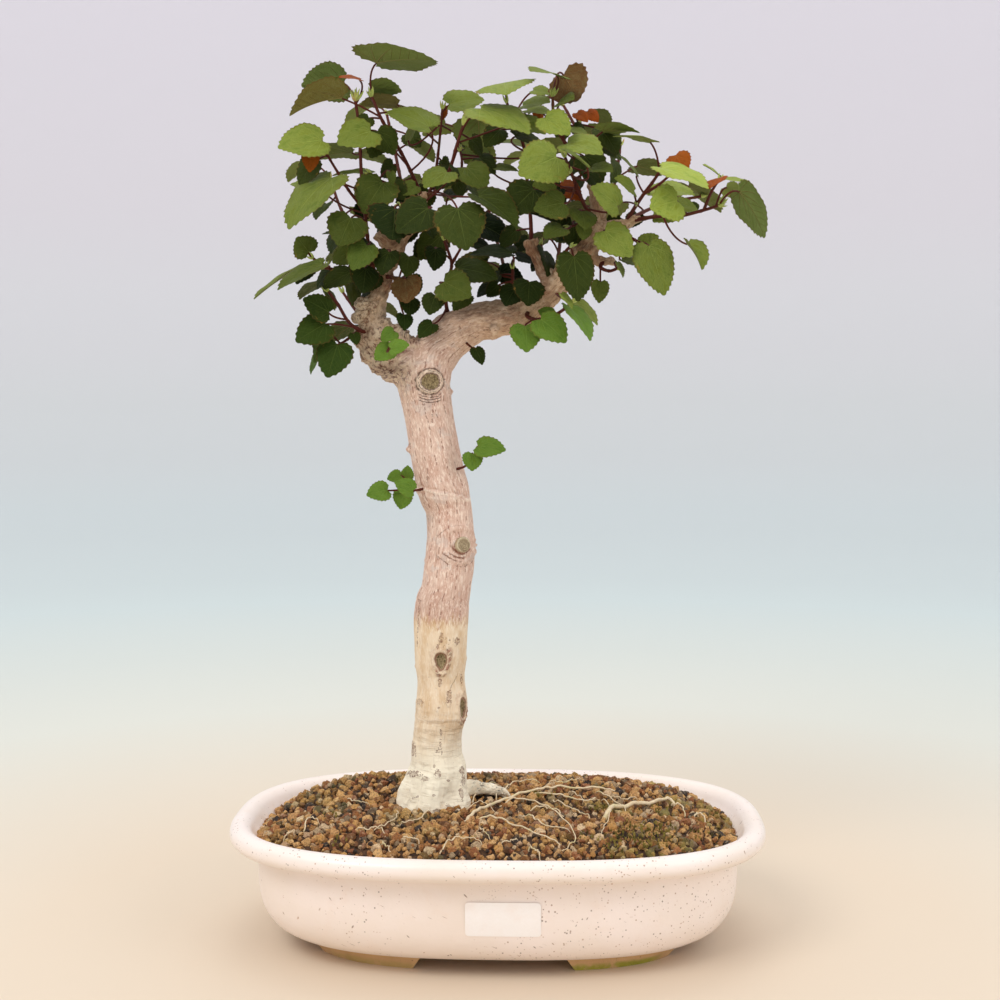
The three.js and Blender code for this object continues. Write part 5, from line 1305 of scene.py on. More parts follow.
def bark_finish(settings):
    m = Finish("smooth_freckled_bark")
    grain = m.attribute("grain")
    side, _, height = m.parts(m.place)
    limb = m.attribute("limb", "Fac")
    fleck = m.noise(m.stretched(grain, 1, 1, 0.24), 1.05, 4, 0.6)
    streak = m.noise(m.stretched(grain, 1, 1, 0.1), 0.5, 4, 0.6)
    cloud = m.noise(m.stretched(grain, 1, 1, 0.45), 0.14, 4)
    blotch = m.noise(m.stretched(grain, 1, 1, 0.6), 0.36, 6, 0.7)
    # upper bark: pinkish, with short pale upright flecks
    upper = m.mix(m.between(cloud, 0.38, 0.64), (*settings.upper, 1), (206, 167, 147))
    upper = m.mix(m.between(streak, 0.48, 0.7, 0, 0.35), upper, (228, 203, 184))
    upper = m.mix(m.between(fleck, 0.53, 0.61, 0, 0.75), upper, (243, 222, 204))
    upper = m.mix(m.between(fleck, 0.44, 0.34, 0, 0.45), upper, (176, 130, 108))
    thread = m.noise(m.stretched(grain, 1, 1, 0.14), 2.1, 3, 0.6)
    upper = m.mix(m.between(thread, 0.58, 0.66, 0, 0.6), upper, (244, 224, 206))
    upper = m.mix(m.between(m.noise(grain, 0.085, 3), 0.58, 0.66, 0, 0.35), upper, (200, 188, 180))
    # lower bark: cream with tan clouds, paler at the foot, with soft level wrinkles
    level = m.noise(m.stretched(grain, 0.1, 0.1, 1), 1.0, 4, 0.6)
    wrinkled = m.times(m.between(height, 0.165, 0.14), m.between(level, 0.5, 0.68))
    lower = m.mix(m.between(cloud, 0.4, 0.62, 0, 0.8), (*settings.lower, 1), (218, 186, 146))
    lower = m.mix(m.between(fleck, 0.5, 0.66, 0, 0.4), lower, (250, 238, 220))
    lower = m.mix(m.between(fleck, 0.42, 0.32, 0, 0.22), lower, (208, 174, 140))
    lower = m.mix(m.between(height, 0.15, 0.105, 0, 0.95), lower, (255, 245, 220))
    lower = m.mix(m.times(wrinkled, 0.14), lower, (212, 176, 136))
    edge = m.plus(height, m.times(m.noise(m.stretched(grain, 1, 1, 0.35), 0.3, 4, 0.6), 0.024))
    above_band = m.between(edge, 0.2225, 0.2315)
    base = m.mix(above_band, lower, upper)
    rust = m.times(m.line(m.less(edge, 0.226), 0.006), m.between(fleck, 0.55, 0.42))
    base = m.mix(m.times(rust, 0.55), base, (184, 132, 94))
    # limbs: browner and softly blotched; brown stains with painted shade; the crumbly lumps with painted
    # light and shade
    woody = m.mix(m.between(cloud, 0.38, 0.62), (*settings.limb, 1), (224, 192, 154))
    woody = m.mix(m.between(blotch, 0.5, 0.58, 0, 0.6), woody, (150, 104, 68))
    woody = m.mix(m.between(blotch, 0.44, 0.38, 0, 0.6), woody, (240, 216, 184))
    pale_dots = m.dots(m.stretched(grain, 1, 1, 0.7), 0.6, 0.3, 0.4)
    woody = m.mix(m.times(pale_dots, 0.6), woody, (240, 222, 204))
    base = m.mix(m.between(limb, 0.2, 0.9, 0, 0.85), base, woody)
    # Brown stains, and painted shade on the limbs in the leaves' shadow, under the left knee and below the
    # root
    stain = m.attribute("stain", "Fac")
    stain = m.times(stain, m.between(blotch, 0.35, 0.6, 0.65, 1.0))
    # The crumbly lumps: painted light on their raised crumbs and painted shade in the pits between them, from
    # the same noise that raises them
    crumbly = m.attribute("crumbly", "Fac")
    crumbs = m.noise(grain, 0.36, 5, 0.7)
    base = m.mix(m.times(m.between(crumbs, 0.46, 0.53, 0, 0.85), crumbly), base, (250, 226, 192))
    base = m.mix(stain, base, m.mix(m.between(fleck, 0.4, 0.62), (100, 62, 42), (154, 108, 78)))
    base = m.mix(m.times(m.between(crumbs, 0.45, 0.39, 0, 0.85), crumbly), base, (78, 46, 28))
    # folds with a painted highlight on their ridges and painted shade in their creases, pores and small marks
    fold = m.attribute("fold", "Fac")
    # Painted highlight along the raised folds, then painted shade in the sunk ones
    ridge_highlight = m.times(m.between(fold, 0.1, 0.6, 0, 0.7), m.between(fleck, 0.4, 0.55, 0.4, 1))
    base = m.mix(ridge_highlight, base, (244, 224, 204))
    base = m.mix(m.between(fold, -0.15, -0.6, 0, 0.75), base, (160, 116, 88))
    pores = m.most(pore_rows(m, grain, 7.0, 3.2, 0.62), m.times(pore_rows(m, grain, 4.4, 4.4, 0.34), 0.5))
    pores = m.times(pores, m.between(above_band, 0, 1, 0.15, 0.8))
    dotted = m.dots(m.stretched(grain, 1, 1, 0.8), 0.5, 0.2, m.between(limb, 0.1, 0.6, 0.16, 0.45))
    pores = m.most(pores, m.times(dotted, 0.7))
    base = m.mix(m.times(pores, 0.85), base, (116, 60, 38))
    aside, above, dark = m.parts(m.attribute("mark"))
    ragged = m.times(m.less(m.noise(grain, 0.6, 4, 0.6), 0.5), 2.8)
    reach = m.plus(m.vector("LENGTH", m.combine(aside, above, 0.0)), ragged)
    rim = m.most(m.line(m.less(reach, 0.7), 0.34), m.between(reach, 0.8, 0.7, 0, 0.5))
    marks = m.times(rim, m.between(dark, 0, 0.8))
    marks = m.times(marks, m.between(m.noise(grain, 0.75, 3, 0.6), 0.41, 0.48, 0.2, 1.0))
    base = m.mix(m.times(marks, 0.85), base, (116, 66, 46))
    base, creases_and_shadow = wound_finish(m, base, grain)
    roughness = m.between(m.noise(grain, 0.5, 3), 0.3, 0.7, 0.62, 0.8)
    relief = [
        (fleck, 0.00016), (streak, 0.00014), (wrinkled, -0.0002), (pores, -0.00015), (marks, -0.00015),
        (creases_and_shadow, -0.0004), (m.noise(grain, 3.0, 3), 0.00015), (m.times(blotch, limb), 0.0012),
        (m.times(crumbs, crumbly), 0.004),
    ]
    return m.surface(base, roughness, relief, Specular_IOR_Level=0.25)


def root_finish():
    m = Finish("pale_fine_roots")
    base = m.mix(m.mottle(260, 4), (238, 222, 190), (204, 174, 130))
    base = m.mix(m.between(m.mottle(90, 3), 0.5, 0.7, 0, 0.6), base, (196, 186, 124))
    return m.surface(base, 0.75, [(m.mottle(900, 3), 0.0003)])


class BONSAI_OT_bark(bpy.types.Operator):
    """Makes the trunk and limbs as one skin of smooth bark with its healed cuts and pores"""

    bl_idname = "bonsai.bark"
    bl_label = "Trunk and limbs"

    def execute(self, context):
        settings = context.scene.bonsai_bark
        fresh("trunk_and_limbs")
        skin = wood_skin(settings.voxel)
        shape_bark(skin)
        skin.name = skin.data.name = "trunk_and_limbs"
        skin.data.materials.clear()
        skin.data.materials.append(bark_finish(settings))
        skin.data.shade_smooth()
        belongs(skin, "bark", "trunk")
        sawn_stub()
        return {"FINISHED"}


# Fine roots on the soil: their radius at each end and their places in the picture

FINE_ROOTS = (
    (1.2, 0.55, (464, 822), (478, 815), (500, 805), (531, 795), (556, 791), (595, 793), (617, 791)),
    (1.7, 1.0, (604, 820), (612, 813), (631, 809), (650, 808), (667, 803), (675, 806)),
    (0.6, 0.3, (500, 806), (520, 802), (548, 812), (566, 826), (574, 846), (562, 853)),
    (0.65, 0.35, (531, 796), (560, 799), (586, 805), (600, 800)),
    (0.75, 0.35, (475, 820), (496, 822), (518, 831), (545, 842), (568, 849)),
    (0.6, 0.4, (529, 813), (540, 811), (552, 813), (562, 817)),
    (0.6, 0.3, (524, 817), (535, 823), (553, 832), (573, 833)),
    (0.5, 0.3, (440, 853), (452, 844), (466, 843), (482, 845)),
    (0.5, 0.35, (529, 852), (536, 855), (541, 861)),
    (0.5, 0.3, (553, 801), (564, 809), (580, 817), (593, 822)),
    (0.4, 0.3, (571, 795), (578, 800), (584, 803)), (0.5, 0.3, (471, 804), (482, 793), (498, 784)),
    (0.4, 0.3, (495, 801), (503, 795), (509, 789)), (0.4, 0.25, (466, 812), (480, 806), (494, 812)),
    (0.45, 0.3, (500, 845), (510, 846), (518, 843)), (0.4, 0.25, (478, 831), (484, 836), (490, 841)),
    (0.45, 0.3, (595, 793), (612, 803), (628, 815)),
    (0.4, 0.25, (600, 800), (610, 812), (606, 828), (598, 838)),
    (0.6, 0.35, (672, 807), (680, 809), (685, 817)), (0.6, 0.4, (693, 819), (701, 818), (706, 827)),
    (0.4, 0.3, (640, 800), (622, 803), (608, 800)), (0.5, 0.3, (304, 831), (310, 823), (320, 825)),
    (0.5, 0.3, (355, 831), (368, 834), (378, 832), (386, 838)),
    (0.4, 0.25, (374, 831), (388, 828), (397, 820), (398, 813)),
    (0.45, 0.3, (283, 842), (290, 838), (295, 836)), (0.5, 0.35, (403, 841), (411, 843), (420, 844)),
    (0.45, 0.3, (381, 846), (386, 850), (391, 854)),
    (0.5, 0.3, (430, 812), (421, 822), (408, 827), (398, 826)),
    (0.4, 0.25, (345, 800), (356, 806), (370, 806)), (0.5, 0.3, (505, 790), (520, 785), (540, 784)),
    (0.4, 0.25, (548, 784), (566, 786), (584, 781)),
)


def winding_tree(name):
    """Turns lines with a thickness at each point into round closed stems or roots."""
    g = Geometry(name, Sides="Int", Material="Material")
    g.finished(g.tubes(g.inputs[0]), (g.value("Material"), None))
    return g


class BONSAI_OT_fine_roots(bpy.types.Operator):
    """Lays the thin pale roots over the granules"""

    bl_idname = "bonsai.fine_roots"
    bl_label = "Fine roots"

    def execute(self, context):
        points, edges, thick = [], [], []
        for n, (first, last, *places) in enumerate(FINE_ROOTS):
            rows = curve_rows([on_soil(u, v) for u, v in places], 8 * len(places))
            for k, row in enumerate(rows):
                part = k / (len(rows) - 1)
                wander = [1.5 * noise.noise(Vector((k * 0.4, n * 9.1, s * 5.3))) for s in range(3)]
                ground = soil_height(row[0] + wander[0], row[1] + wander[1])
                height = ground + 3.2 + wander[2] - 3.2 * step(part, 0.85, 1) - 3.2 * step(part, 0.15, 0)
                points.append((row[0] + wander[0], row[1] + wander[1], height))
                thick.append(first + (last - first) * part)
                if k:
                    edges.append((len(points) - 2, len(points) - 1))
        roots = new_object(fresh("fine_roots"), points, [], edges=edges)
        store(roots, "thick", thick)
        winding_tree("winding_roots").on(roots, Sides=7, Material=root_finish())
        settled(roots)
        roots.data.shade_smooth()
        belongs(roots, "bark")
        return {"FINISHED"}


# Label

LABEL = {"x": 7, "z": 43, "wide": 47, "high": 22, "thick": 0.3, "corner": 2.2}


def wall_at(x, z):
    """How far forward the pot's wall stands at a place on its front."""
    rows = np.array(POT_PROFILE[4:8], float)
    a = np.interp(z, rows[:, 2], rows[:, 0])
    b = np.interp(z, rows[:, 2], rows[:, 1])
    return -b * (1 - np.abs(x / a) ** OVAL) ** (1 / OVAL)


def paper_finish():
    m = Finish("smooth_white_paper")
    base = m.mix(m.mottle(700, 4), (255, 250, 247), (249, 243, 238))
    base = m.mix(m.between(m.mottle(60, 3), 0.45, 0.7, 0, 0.5), base, (250, 238, 230))
    return m.surface(base, 0.42, [(m.mottle(1500, 3), 0.00002), (m.mottle(55, 2), 0.0002)])


class BONSAI_OT_label(bpy.types.Operator):
    """Sticks a blank paper slip with rounded corners on the front of the pot"""

    bl_idname = "bonsai.label"
    bl_label = "Blank label"

    def execute(self, context):
        half_wide, half_high, corner = LABEL["wide"] / 2, LABEL["high"] / 2, LABEL["corner"]
        columns = np.concatenate((
            -half_wide + corner * (1 - np.cos(np.linspace(0, math.pi / 2, 6))),
            np.linspace(-half_wide + corner, half_wide - corner, 25)[1:-1],
            half_wide - corner * (1 - np.sin(np.linspace(0, math.pi / 2, 6))),
        ))
        rings = []
        for aside in columns:
            over = max(0, abs(aside) - (half_wide - corner))
            reach = half_high - corner + math.sqrt(max(0, corner**2 - over**2))
            x = LABEL["x"] + aside
            heights = LABEL["z"] + np.linspace(-reach, reach, 9)
            front = [(x, wall_at(x, h) - 0.35 - LABEL["thick"], h) for h in heights]
            back = [(x, wall_at(x, h) - 0.35, h) for h in reversed(heights)]
            rings.append(np.array(back + front))
        slip = new_object(fresh("label_slip"), *loft(rings), [paper_finish()])
        outward(slip)
        slip.data.set_sharp_from_angle(angle=math.radians(40))
        belongs(slip, "label_paper", "label")
        return {"FINISHED"}


# Leaves. Half the blade's outline as (aside, along) in blade lengths, from the stalk's joint round the lobe
# to the tip.

HEART = (
    (0, 0), (0.1, -0.09), (0.23, -0.125), (0.38, -0.07), (0.49, 0.07), (0.52, 0.26), (0.472, 0.47),
    (0.365, 0.67), (0.2, 0.86), (0, 1),
)
TOOTH = 0.024
BLADE_COLUMNS = 3
STALK_R = 0.62
STEM_R = 1.7
BRANCH_R = 1.36
REAR_LEAVES = 3
INNER_LEAVES = 3
NO_INNER_LEAVES = ("shoot_right", "shoot_right_up", "shoot_right_low", "shoot_front_right", "shoot_twig_low")
SMALL_BLADE = 0.027

# Shoots, read one by one. Each has its stems as lines of (x, z, depth), the first leaving the wood and the
# others leaving an earlier stem, and its leaves as
# (stem, how far up it, joint x, z, depth, tip x, z, depth, roll, fold, width).
SHOOTS = {
    "shoot_top_left": ((
        ((-51, 500, 12), (-57, 514, 8), (-64, 528, 4), (-78, 552, -2), (-84, 566, -4)),
    ), (
        (0, 1, -81, 588, -6, -42, 590, -34, 110, 14, 1.1), (0, 0.93, -84, 571, 4, -64, 569, 8, 128),
        (0, 0.8, -67, 561, 10, -92, 559, 16, 112), (0, 0.35, -85, 543, -18, -107, 534, -30, 38),
        (0, 0.76, -104, 565, -12, -139, 553, -20, 104, 34, 0.8), (0, 0.3, -46, 546, -18, -74, 556, -10, 62),
    )),
    "shoot_outer_left": ((
        ((-79, 435, 9), (-84, 455, 3), (-87, 470, 1), (-89, 490, 0), (-91, 510, -2), (-92, 532, -4),
         (-93, 549, -5), (-95, 563, -6)),
        ((-89, 489, 0), (-95, 498, -5), (-99, 503, -8), (-107, 516, -12), (-113, 526, -14), (-118, 536, -16)),
    ), (
        (0, 0.98, -92, 577, -9, -107, 578, -14, 80), (0, 0.9, -103, 575, 8, -131, 573, 12, 150, 10),
        (0, 0.78, -97, 529, 22, -123, 524, 34, 115), (0, 0.82, -91, 529, 24, -73, 520, 34, 112),
        (1, 1, -118, 537, -18, -147, 532, -28, 45), (1, 0.8, -125, 531, -20, -126, 516, -22, 8, 12, 0.8),
        (0, 0.42, -116, 503, 4, -139, 508, 8, 66), (1, 0.36, -112, 512, -16, -140, 478, -30, 60, 10, 0.95),
        (0, 0.38, -98.5, 485.5, -28, -107, 467, -34, 10, 8, 1.25),
        (0, 0.28, -88, 467.5, -26, -98, 451, -32, 18), (0, 0.3, -92, 473, 14, -118, 475, 18, 78),
        (0, 0.14, -89, 452, -14, -91, 435.5, -20, 14, 10, 1.1), (0, 0.2, -73, 463, -24, -78, 447.5, -30, 20),
    )),
    "shoot_inner_left": ((
        ((-57, 487, 12), (-61, 494, 9), (-68, 502, 5), (-76, 508, 1), (-85, 515, -2)),
    ), (
        (0, 0.96, -86, 515, 2, -111, 513.5, 4, 82), (0, 0.55, -77, 509, -12, -90, 488.5, -20, 22, 20, 1.1),
        (0, 0.7, -70, 521, -2, -78, 513, 4, 30), (0, 0.3, -55, 507, -8, -66, 501, -12, 35),
        (0, 0.85, -72, 516, -10, -71, 507, -12, 20, 20, 0.7),
    )),
    "shoot_front_left": ((
        ((-57, 484, 10), (-59, 490, 0), (-62, 494, -14), (-66, 495, -28)),
    ), (
        (0, 1, -69, 491.5, -38, -71, 471, -46, 12, 8, 1.55), (0, 0.5, -47, 492, -26, -68, 476, -32, 25),
        (0, 0.3, -34, 516, -18, -49, 505.5, -28, 50, 12, 1.1),
    )),
    "shoot_centre": ((
        ((-50, 500, 12), (-42, 503, 8), (-36, 510, 4), (-31, 521, -2), (-28, 532, -8), (-23, 547, -12)),
        ((-46, 501.5, 11), (-42, 514, 12), (-40, 527, 12), (-38, 546, 12), (-37, 558, 12)),
        ((-37, 509, 4), (-26, 513, 10), (-24, 523, 16), (-25, 530, 20)),
    ), (
        (0, 0.96, -11, 558, -24, 21, 541, -40, 64, 8), (1, 0.95, -32, 561, 8, -9, 564, 14, 54),
        (0, 0.9, -13, 551, 16, -12, 531, 8, 172, 8, 1.5), (0, 0.85, 10, 549, -4, 32, 541, -12, 60),
        (2, 0.9, 20, 533, 16, -3, 535, 20, 80), (1, 1, -37, 560, 12, -38, 550, 10, 60, 30, 0.6),
        (1, 0.6, -47, 551, 18, -38, 550, 22, 80), (2, 1, -22, 531, 24, -3, 523, 30, 45, 10, 1.1),
        (2, 0.4, -21, 519, -8, -8, 504, -16, 30), (0, 0.2, -27, 492, -42, -21, 464, -50, 8, 8, 1.1),
        (0, 0.14, -13, 500, -26, 13, 478, -34, 58, 22, 0.85), (1, 0.8, -60, 537, 24, -50, 551, 28, 110),
    )),
    "shoot_centre_low": ((
        ((-57, 482, 16), (-46, 485, 22), (-34, 486, 26), (-22, 484, 28)),
    ), (
        (0, 1, -15, 483, 26, 8, 470, 24, 40, 14, 0.9), (0, 0.5, -45, 470, 22, -55, 457, 20, 30),
        (0, 0.7, -33, 500, 34, -18, 506, 40, 70),
    )),
    "shoot_crown": ((
        ((22.5, 469, 6), (22, 485, 10), (20, 505, 16), (18, 530, 12), (12, 548, 4), (6, 562, -2)),
    ), (
        (0, 1, 4.5, 575, -6, 6, 567, -42, 0, 4), (0, 0.9, 17, 560, 6, 35, 562, -6, 68),
        (0, 0.84, 24, 570, 12, 36, 567, 8, 60), (0, 0.76, 20, 557, -4, 36, 554, -10, 70),
        (0, 0.6, 12, 540, 18, 30, 536, 26, 70), (0, 0.4, -1, 519, 14, 14, 516.5, 14, 72),
    )),
    "shoot_crown_right": ((
        ((64.5, 512, 2), (56, 521, 0), (46, 534, -4), (38, 549, -6), (36.5, 566, -7)),
    ), (
        (0, 1, 40, 579.5, -10, 21.5, 582.5, -30, 84, 8), (0, 0.96, 44, 580, 8, 54, 563.5, -6, 170, 8, 1.1),
        (0, 0.8, 41, 562, -12, 51, 564, -26, 62), (0, 0.75, 32, 552, -22, 48, 540.5, -30, 35),
        (0, 0.6, 27, 556, 12, 26, 547, 10, 20, 10, 0.8), (0, 0.35, 46, 544, -2, 60, 540, -8, 72),
        (0, 0.3, 47, 535, -22, 70, 527.5, -34, 55),
    )),
    "shoot_top_right": ((
        ((65, 519, 2), (62, 529, 6), (57, 538, 8), (55, 549, 6)),
    ), (
        (0, 1, 60, 556, 8, 67, 549, 4, 30, 10, 0.9), (0, 0.9, 53, 555, -2, 60, 549, -6, 40),
        (0, 0.5, 70, 543, -8, 95, 542, -18, 104, 16),
    )),
    "shoot_mid_right": ((
        ((65, 486, 3), (60, 491, -7), (55, 501, -14), (51, 511, -18), (45, 526, -22)),
        ((60, 490, -7), (54, 482, -16), (48, 480, -20)),
    ), (
        (0, 0.95, 39, 526, -40, 14, 514, -52, 22, 8, 1.05), (0, 0.8, 60, 519.5, -30, 42, 531.5, -36, 84),
        (0, 0.75, 63, 519, -26, 77, 516, -36, 60), (0, 0.7, 44, 495.5, -38, 24, 491, -44, 20, 8, 0.95),
        (0, 0.62, 42, 507, 0, 56, 497, -4, 45), (0, 0.55, 24, 504.5, -30, 8, 488, -40, 22, 10, 1.1),
        (0, 0.5, 37, 509, -4, 23, 507, -6, 35), (0, 0.28, 80, 494, -34, 62, 506, -42, 40),
        (0, 0.2, 56, 490, -26, 58.5, 478, -32, 38, 10, 1.5),
        (1, 0.7, 58, 480.5, -18, 57, 471, -20, 12, 8, 1.1), (1, 1, 42, 480, -14, 20, 489, -20, 60, 34),
        (1, 0.9, 43, 479, -22, 31, 472, -30, 40),
    )),
    "shoot_front_right": ((
        ((47, 449, 4), (45, 458, -8), (46, 464, -20), (49, 467, -28)),
    ), (
        (0, 1, 51, 460, -34, 54, 430, -42, 14, 10, 0.8),
    )),
    "shoot_right": ((
        ((92, 484.5, -4), (108, 487, -12), (121, 487, -18), (138, 491, -26), (148, 494, -30)),
        ((138, 491, -26), (143, 503, -27), (148, 511, -28)),
    ), (
        (0, 1, 162, 503, -42, 179, 472.5, -50, 128, 8, 0.85), (0, 0.95, 153, 506, -30, 163, 499, -26, 150),
        (1, 1, 148, 512, -30, 142, 505, -40, 60, 10, 1), (1, 0.96, 149, 513, -30, 137, 521, -36, 86),
        (1, 0.98, 151, 511.5, -32, 169, 508, -40, 80), (0, 0.6, 121, 495, -12, 134, 491, -8, 55),
        (0, 0.5, 120, 497, -34, 102, 492, -44, 18, 8, 1.15), (0, 0.4, 118, 491, -28, 104, 483, -32, 30),
        (0, 0.3, 127, 468.5, -32, 137, 451, -38, 66, 34),
    )),
    "shoot_right_up": ((
        ((86, 483, -2), (92, 493, -6), (98, 502, -8), (104, 510, -10), (108, 516, -12)),
        ((98, 502, -8), (108, 508, -16), (116, 515, -20)),
    ), (
        (0, 1, 102, 536, -14, 77, 539.5, -22, 96, 10), (1, 1, 119, 527, -18, 126, 516, -24, 12, 8, 1.1),
        (1, 0.9, 110, 519, -26, 141, 505, -38, 72, 12), (1, 0.3, 104, 504, -18, 132, 500.5, -26, 70),
        (0, 0.5, 93, 514, -4, 81, 527, -8, 84), (0, 0.3, 91, 504, -14, 78, 512, -22, 62),
    )),
    "shoot_right_low": ((
        ((78, 480, -1), (86, 474.5, -6), (94, 470, -12)),
    ), (
        (0, 1, 101.5, 467, -26, 112, 434, -36, 14, 8, 0.72), (0, 0.9, 97, 468, -14, 108, 474, -12, 35),
        (0, 0.4, 72, 477, -22, 90, 460, -30, 18, 8, 0.9), (0, 0.6, 84, 458, -2, 101, 450, -4, 72),
    )),
    "shoot_twig_low": ((
        ((71, 457, -2), (69, 453, -6), (75, 450.5, -9), (80, 452, -10)),
    ), (
        (0, 0.3, 69, 443, -10, 68, 429, -14, 8, 8, 0.8), (0, 1, 80.5, 456, -12, 84, 446, -14, 70),
    )),
    "shoot_over_limb": ((
        ((9, 431, 6), (10, 442, 4), (10, 452, 4)),
    ), (
        (0, 1, 9, 462, 2, -19, 461, 6, 72), (0, 0.9, 13, 460, 10, 26, 455, 12, 66),
        (0, 0.5, 21, 443, -16, 20, 427, -24, 14, 10, 1.15), (0, 0.7, 2, 449, 4, 17, 446, 6, 40, 10, 1.1),
        (0, 0.3, 12, 439, -12, 5, 427, -18, 22, 10, 1.2), (0, 0.2, -5, 441, 18, -14, 433, 22, 55),
    )),
    "shoot_over_stub": ((
        ((36, 446, 8), (31, 458, 14), (29, 468, 18)),
    ), (
        (0, 1, 20, 471, 16, 10, 462, 18, 45), (0, 0.6, 24, 457, 16, 38, 453, 20, 55),
        (0, 0.9, 36, 476, 26, 50, 470, 30, 50),
    )),
    "shoot_fork": ((
        ((-33, 418, 14), (-35, 432, 8), (-33, 446, 4), (-31, 455, 2), (-36, 471, 2)),
        ((-31, 455, 2), (-24, 467, 4)),
    ), (
        (0, 0.6, -27, 452, -12, 0, 445, -16, 50, 10, 1), (0, 0.4, -36, 443, -14, -18, 433, -20, 22, 10, 1.15),
        (0, 0.25, -42, 434, -22, -46, 421, -26, 18, 10, 1.1), (0, 0.3, -20, 434, -4, -30, 424, -6, 38),
        (0, 0.8, -42, 465, -16, -43, 450.5, -20, 20), (0, 0.9, -38, 474, 6, -53, 458, 6, 30),
        (0, 0.15, -44, 415, -8, -53, 405.5, -12, 32), (1, 1, -19, 470, 10, -4, 464, 14, 60),
    )),
    "shoot_low_left": ((
        ((-83, 408, 8), (-93, 411, -2), (-100, 416, -6), (-108, 429, -10), (-114, 437, -12)),
        ((-93, 411, -2), (-101, 405, -10), (-107, 401, -14)),
    ), (
        (0, 0.36, -116, 415, -22, -136, 403, -30, 22, 8, 0.95),
        (0, 0.55, -114, 423, -16, -131, 432, -22, 28, 8, 1), (0, 1, -116, 438, -12, -110, 424, -16, 70),
        (1, 1, -108, 401, -20, -115, 379, -26, 10, 8, 1), (1, 0.9, -119, 412, -4, -124, 389, -6, 58),
        (1, 0.7, -120, 395, 6, -126, 381, 8, 72), (1, 0.5, -97, 408.5, -16, -95, 401, -18, 15),
    )),
    "shoot_mid_left": ((
        ((-77, 443, 13), (-90, 447, 14), (-102, 450, 5), (-117, 453.5, -5), (-124, 459, -9)),
    ), (
        (0, 1, -127, 463, -12, -135, 473, -14, 25, 10, 1.5),
        (0, 0.9, -134, 452, -12, -164, 431.5, -22, 84, 14, 0.6),
        (0, 0.84, -118, 454.5, -18, -148, 437.5, -26, 70, 14, 0.8), (0, 0.75, -118, 453, 2, -133, 452, 2, 72),
        (0, 0.55, -99, 449, -18, -117, 438.5, -24, 48), (0, 0.5, -98, 464, 0, -111, 456, 2, 35, 10, 1.1),
        (0, 0.45, -99, 446, -4, -98, 427, -8, 55),
    )),
    "shoot_inner_low": ((
        ((-76, 447, 8), (-70, 446, -2), (-64, 445, -8)),
    ), (
        (0, 1, -62, 445, -10, -61, 429, -16, 160, 8, 1.2), (0, 0.8, -60, 460, -14, -62, 446.5, -20, 20),
        (0, 0.7, -59, 432, -18, -60, 420.5, -22, 18, 8, 1.15), (0, 0.5, -63, 421, -8, -63, 410.5, -12, 18),
    )),
    "shoot_fresh": ((
        ((-71, 396, 0), (-71, 400, -9), (-71, 403, -14)),
    ), (
        (0, 0.8, -72, 399, -18, -83, 391, -22, 18), (0, 0.9, -72, 398.5, -24, -59.5, 401, -26, 38),
        (0, 1, -70, 410, -16, -78.5, 403.5, -20, 20),
    )),
    "shoot_under_limb": ((
        ((21, 424, 4), (20, 420, -8), (27, 418, -12), (38, 421, -14), (46, 426, -14), (50, 430, -12)),
    ), (
        (0, 0.35, 18.5, 413.5, -18, 19.5, 396, -24, 8, 8, 1.1),
        (0, 0.55, 29, 418, -18, 46, 402.5, -24, 28, 8, 0.95), (0, 0.7, 37, 420, -18, 27, 424, -20, 28),
        (0, 0.9, 48.5, 426, -18, 62, 403.5, -26, 68), (0, 1, 51, 430, -8, 67, 414, -12, 70),
        (0, 0.95, 43, 435, -8, 50, 425, -10, 66),
    )),
    "sprout_limb": ((
        ((-23, 404, 4), (-19, 400.5, -1), (-17, 399, -3)),
    ), (
        (0, 1, -15, 398.5, -4, -10.5, 387.5, -6, 30, 10, 0.85),
    )),
    "sprout_left": ((
        ((-50, 304, 2), (-57, 303, -4), (-61, 304, -6)),
    ), (
        (0, 1, -75, 303, -12, -89, 299.5, -16, 22), (0, 0.7, -66, 313, -3, -75, 310.5, -5, 20),
        (0, 0.5, -62, 311, 1, -61, 320, -1, 15), (0, 0.85, -57.5, 303, -14, -70, 308.5, -16, 25, 10, 1),
        (0, 0.9, -64, 301.5, -10, -66, 290, -13, 8, 10, 1.1),
    )),
    "sprout_right": ((
        ((-29, 317, 3), (-22, 319.5, -1), (-17, 325, -3), (-14.5, 330, -4)),
    ), (
        (0, 0.6, -17, 327.5, -10, -17.5, 316, -12, 6, 8, 1.15),
        (0, 1, -13, 333, -6, 5.5, 330, -12, 28, 8, 0.8),
    )),
}
REAR_STEMS = {
    "rear_left": ((-74, 452, 14), (-84, 462, 34), (-96, 476, 52), (-106, 494, 64), (-112, 512, 70)),
    "rear_upright": ((-60, 481, 15), (-62, 496, 36), (-66, 516, 54), (-70, 536, 64), (-74, 554, 68)),
    "rear_centre": ((-53, 491, 14), (-40, 506, 38), (-30, 524, 58), (-24, 544, 70)),
    "rear_limb": ((10, 426, 14), (6, 444, 36), (2, 462, 56), (-4, 482, 72), (-8, 504, 80)),
    "rear_elbow": ((37, 440, 12), (40, 456, 36), (42, 476, 56), (40, 498, 72), (36, 520, 80)),
    "rear_right": ((62, 469, 8), (68, 482, 34), (76, 500, 54), (80, 518, 66), (82, 534, 70)),
    "rear_branch": ((82, 481, 2), (94, 488, 26), (108, 494, 46), (124, 498, 58), (136, 500, 64)),
    "rear_top": ((64, 516, 4), (60, 530, 24), (52, 546, 40), (44, 560, 48)),
    "rear_low_left": ((-76, 404, 16), (-84, 410, 36), (-94, 422, 50), (-104, 436, 58)),
}

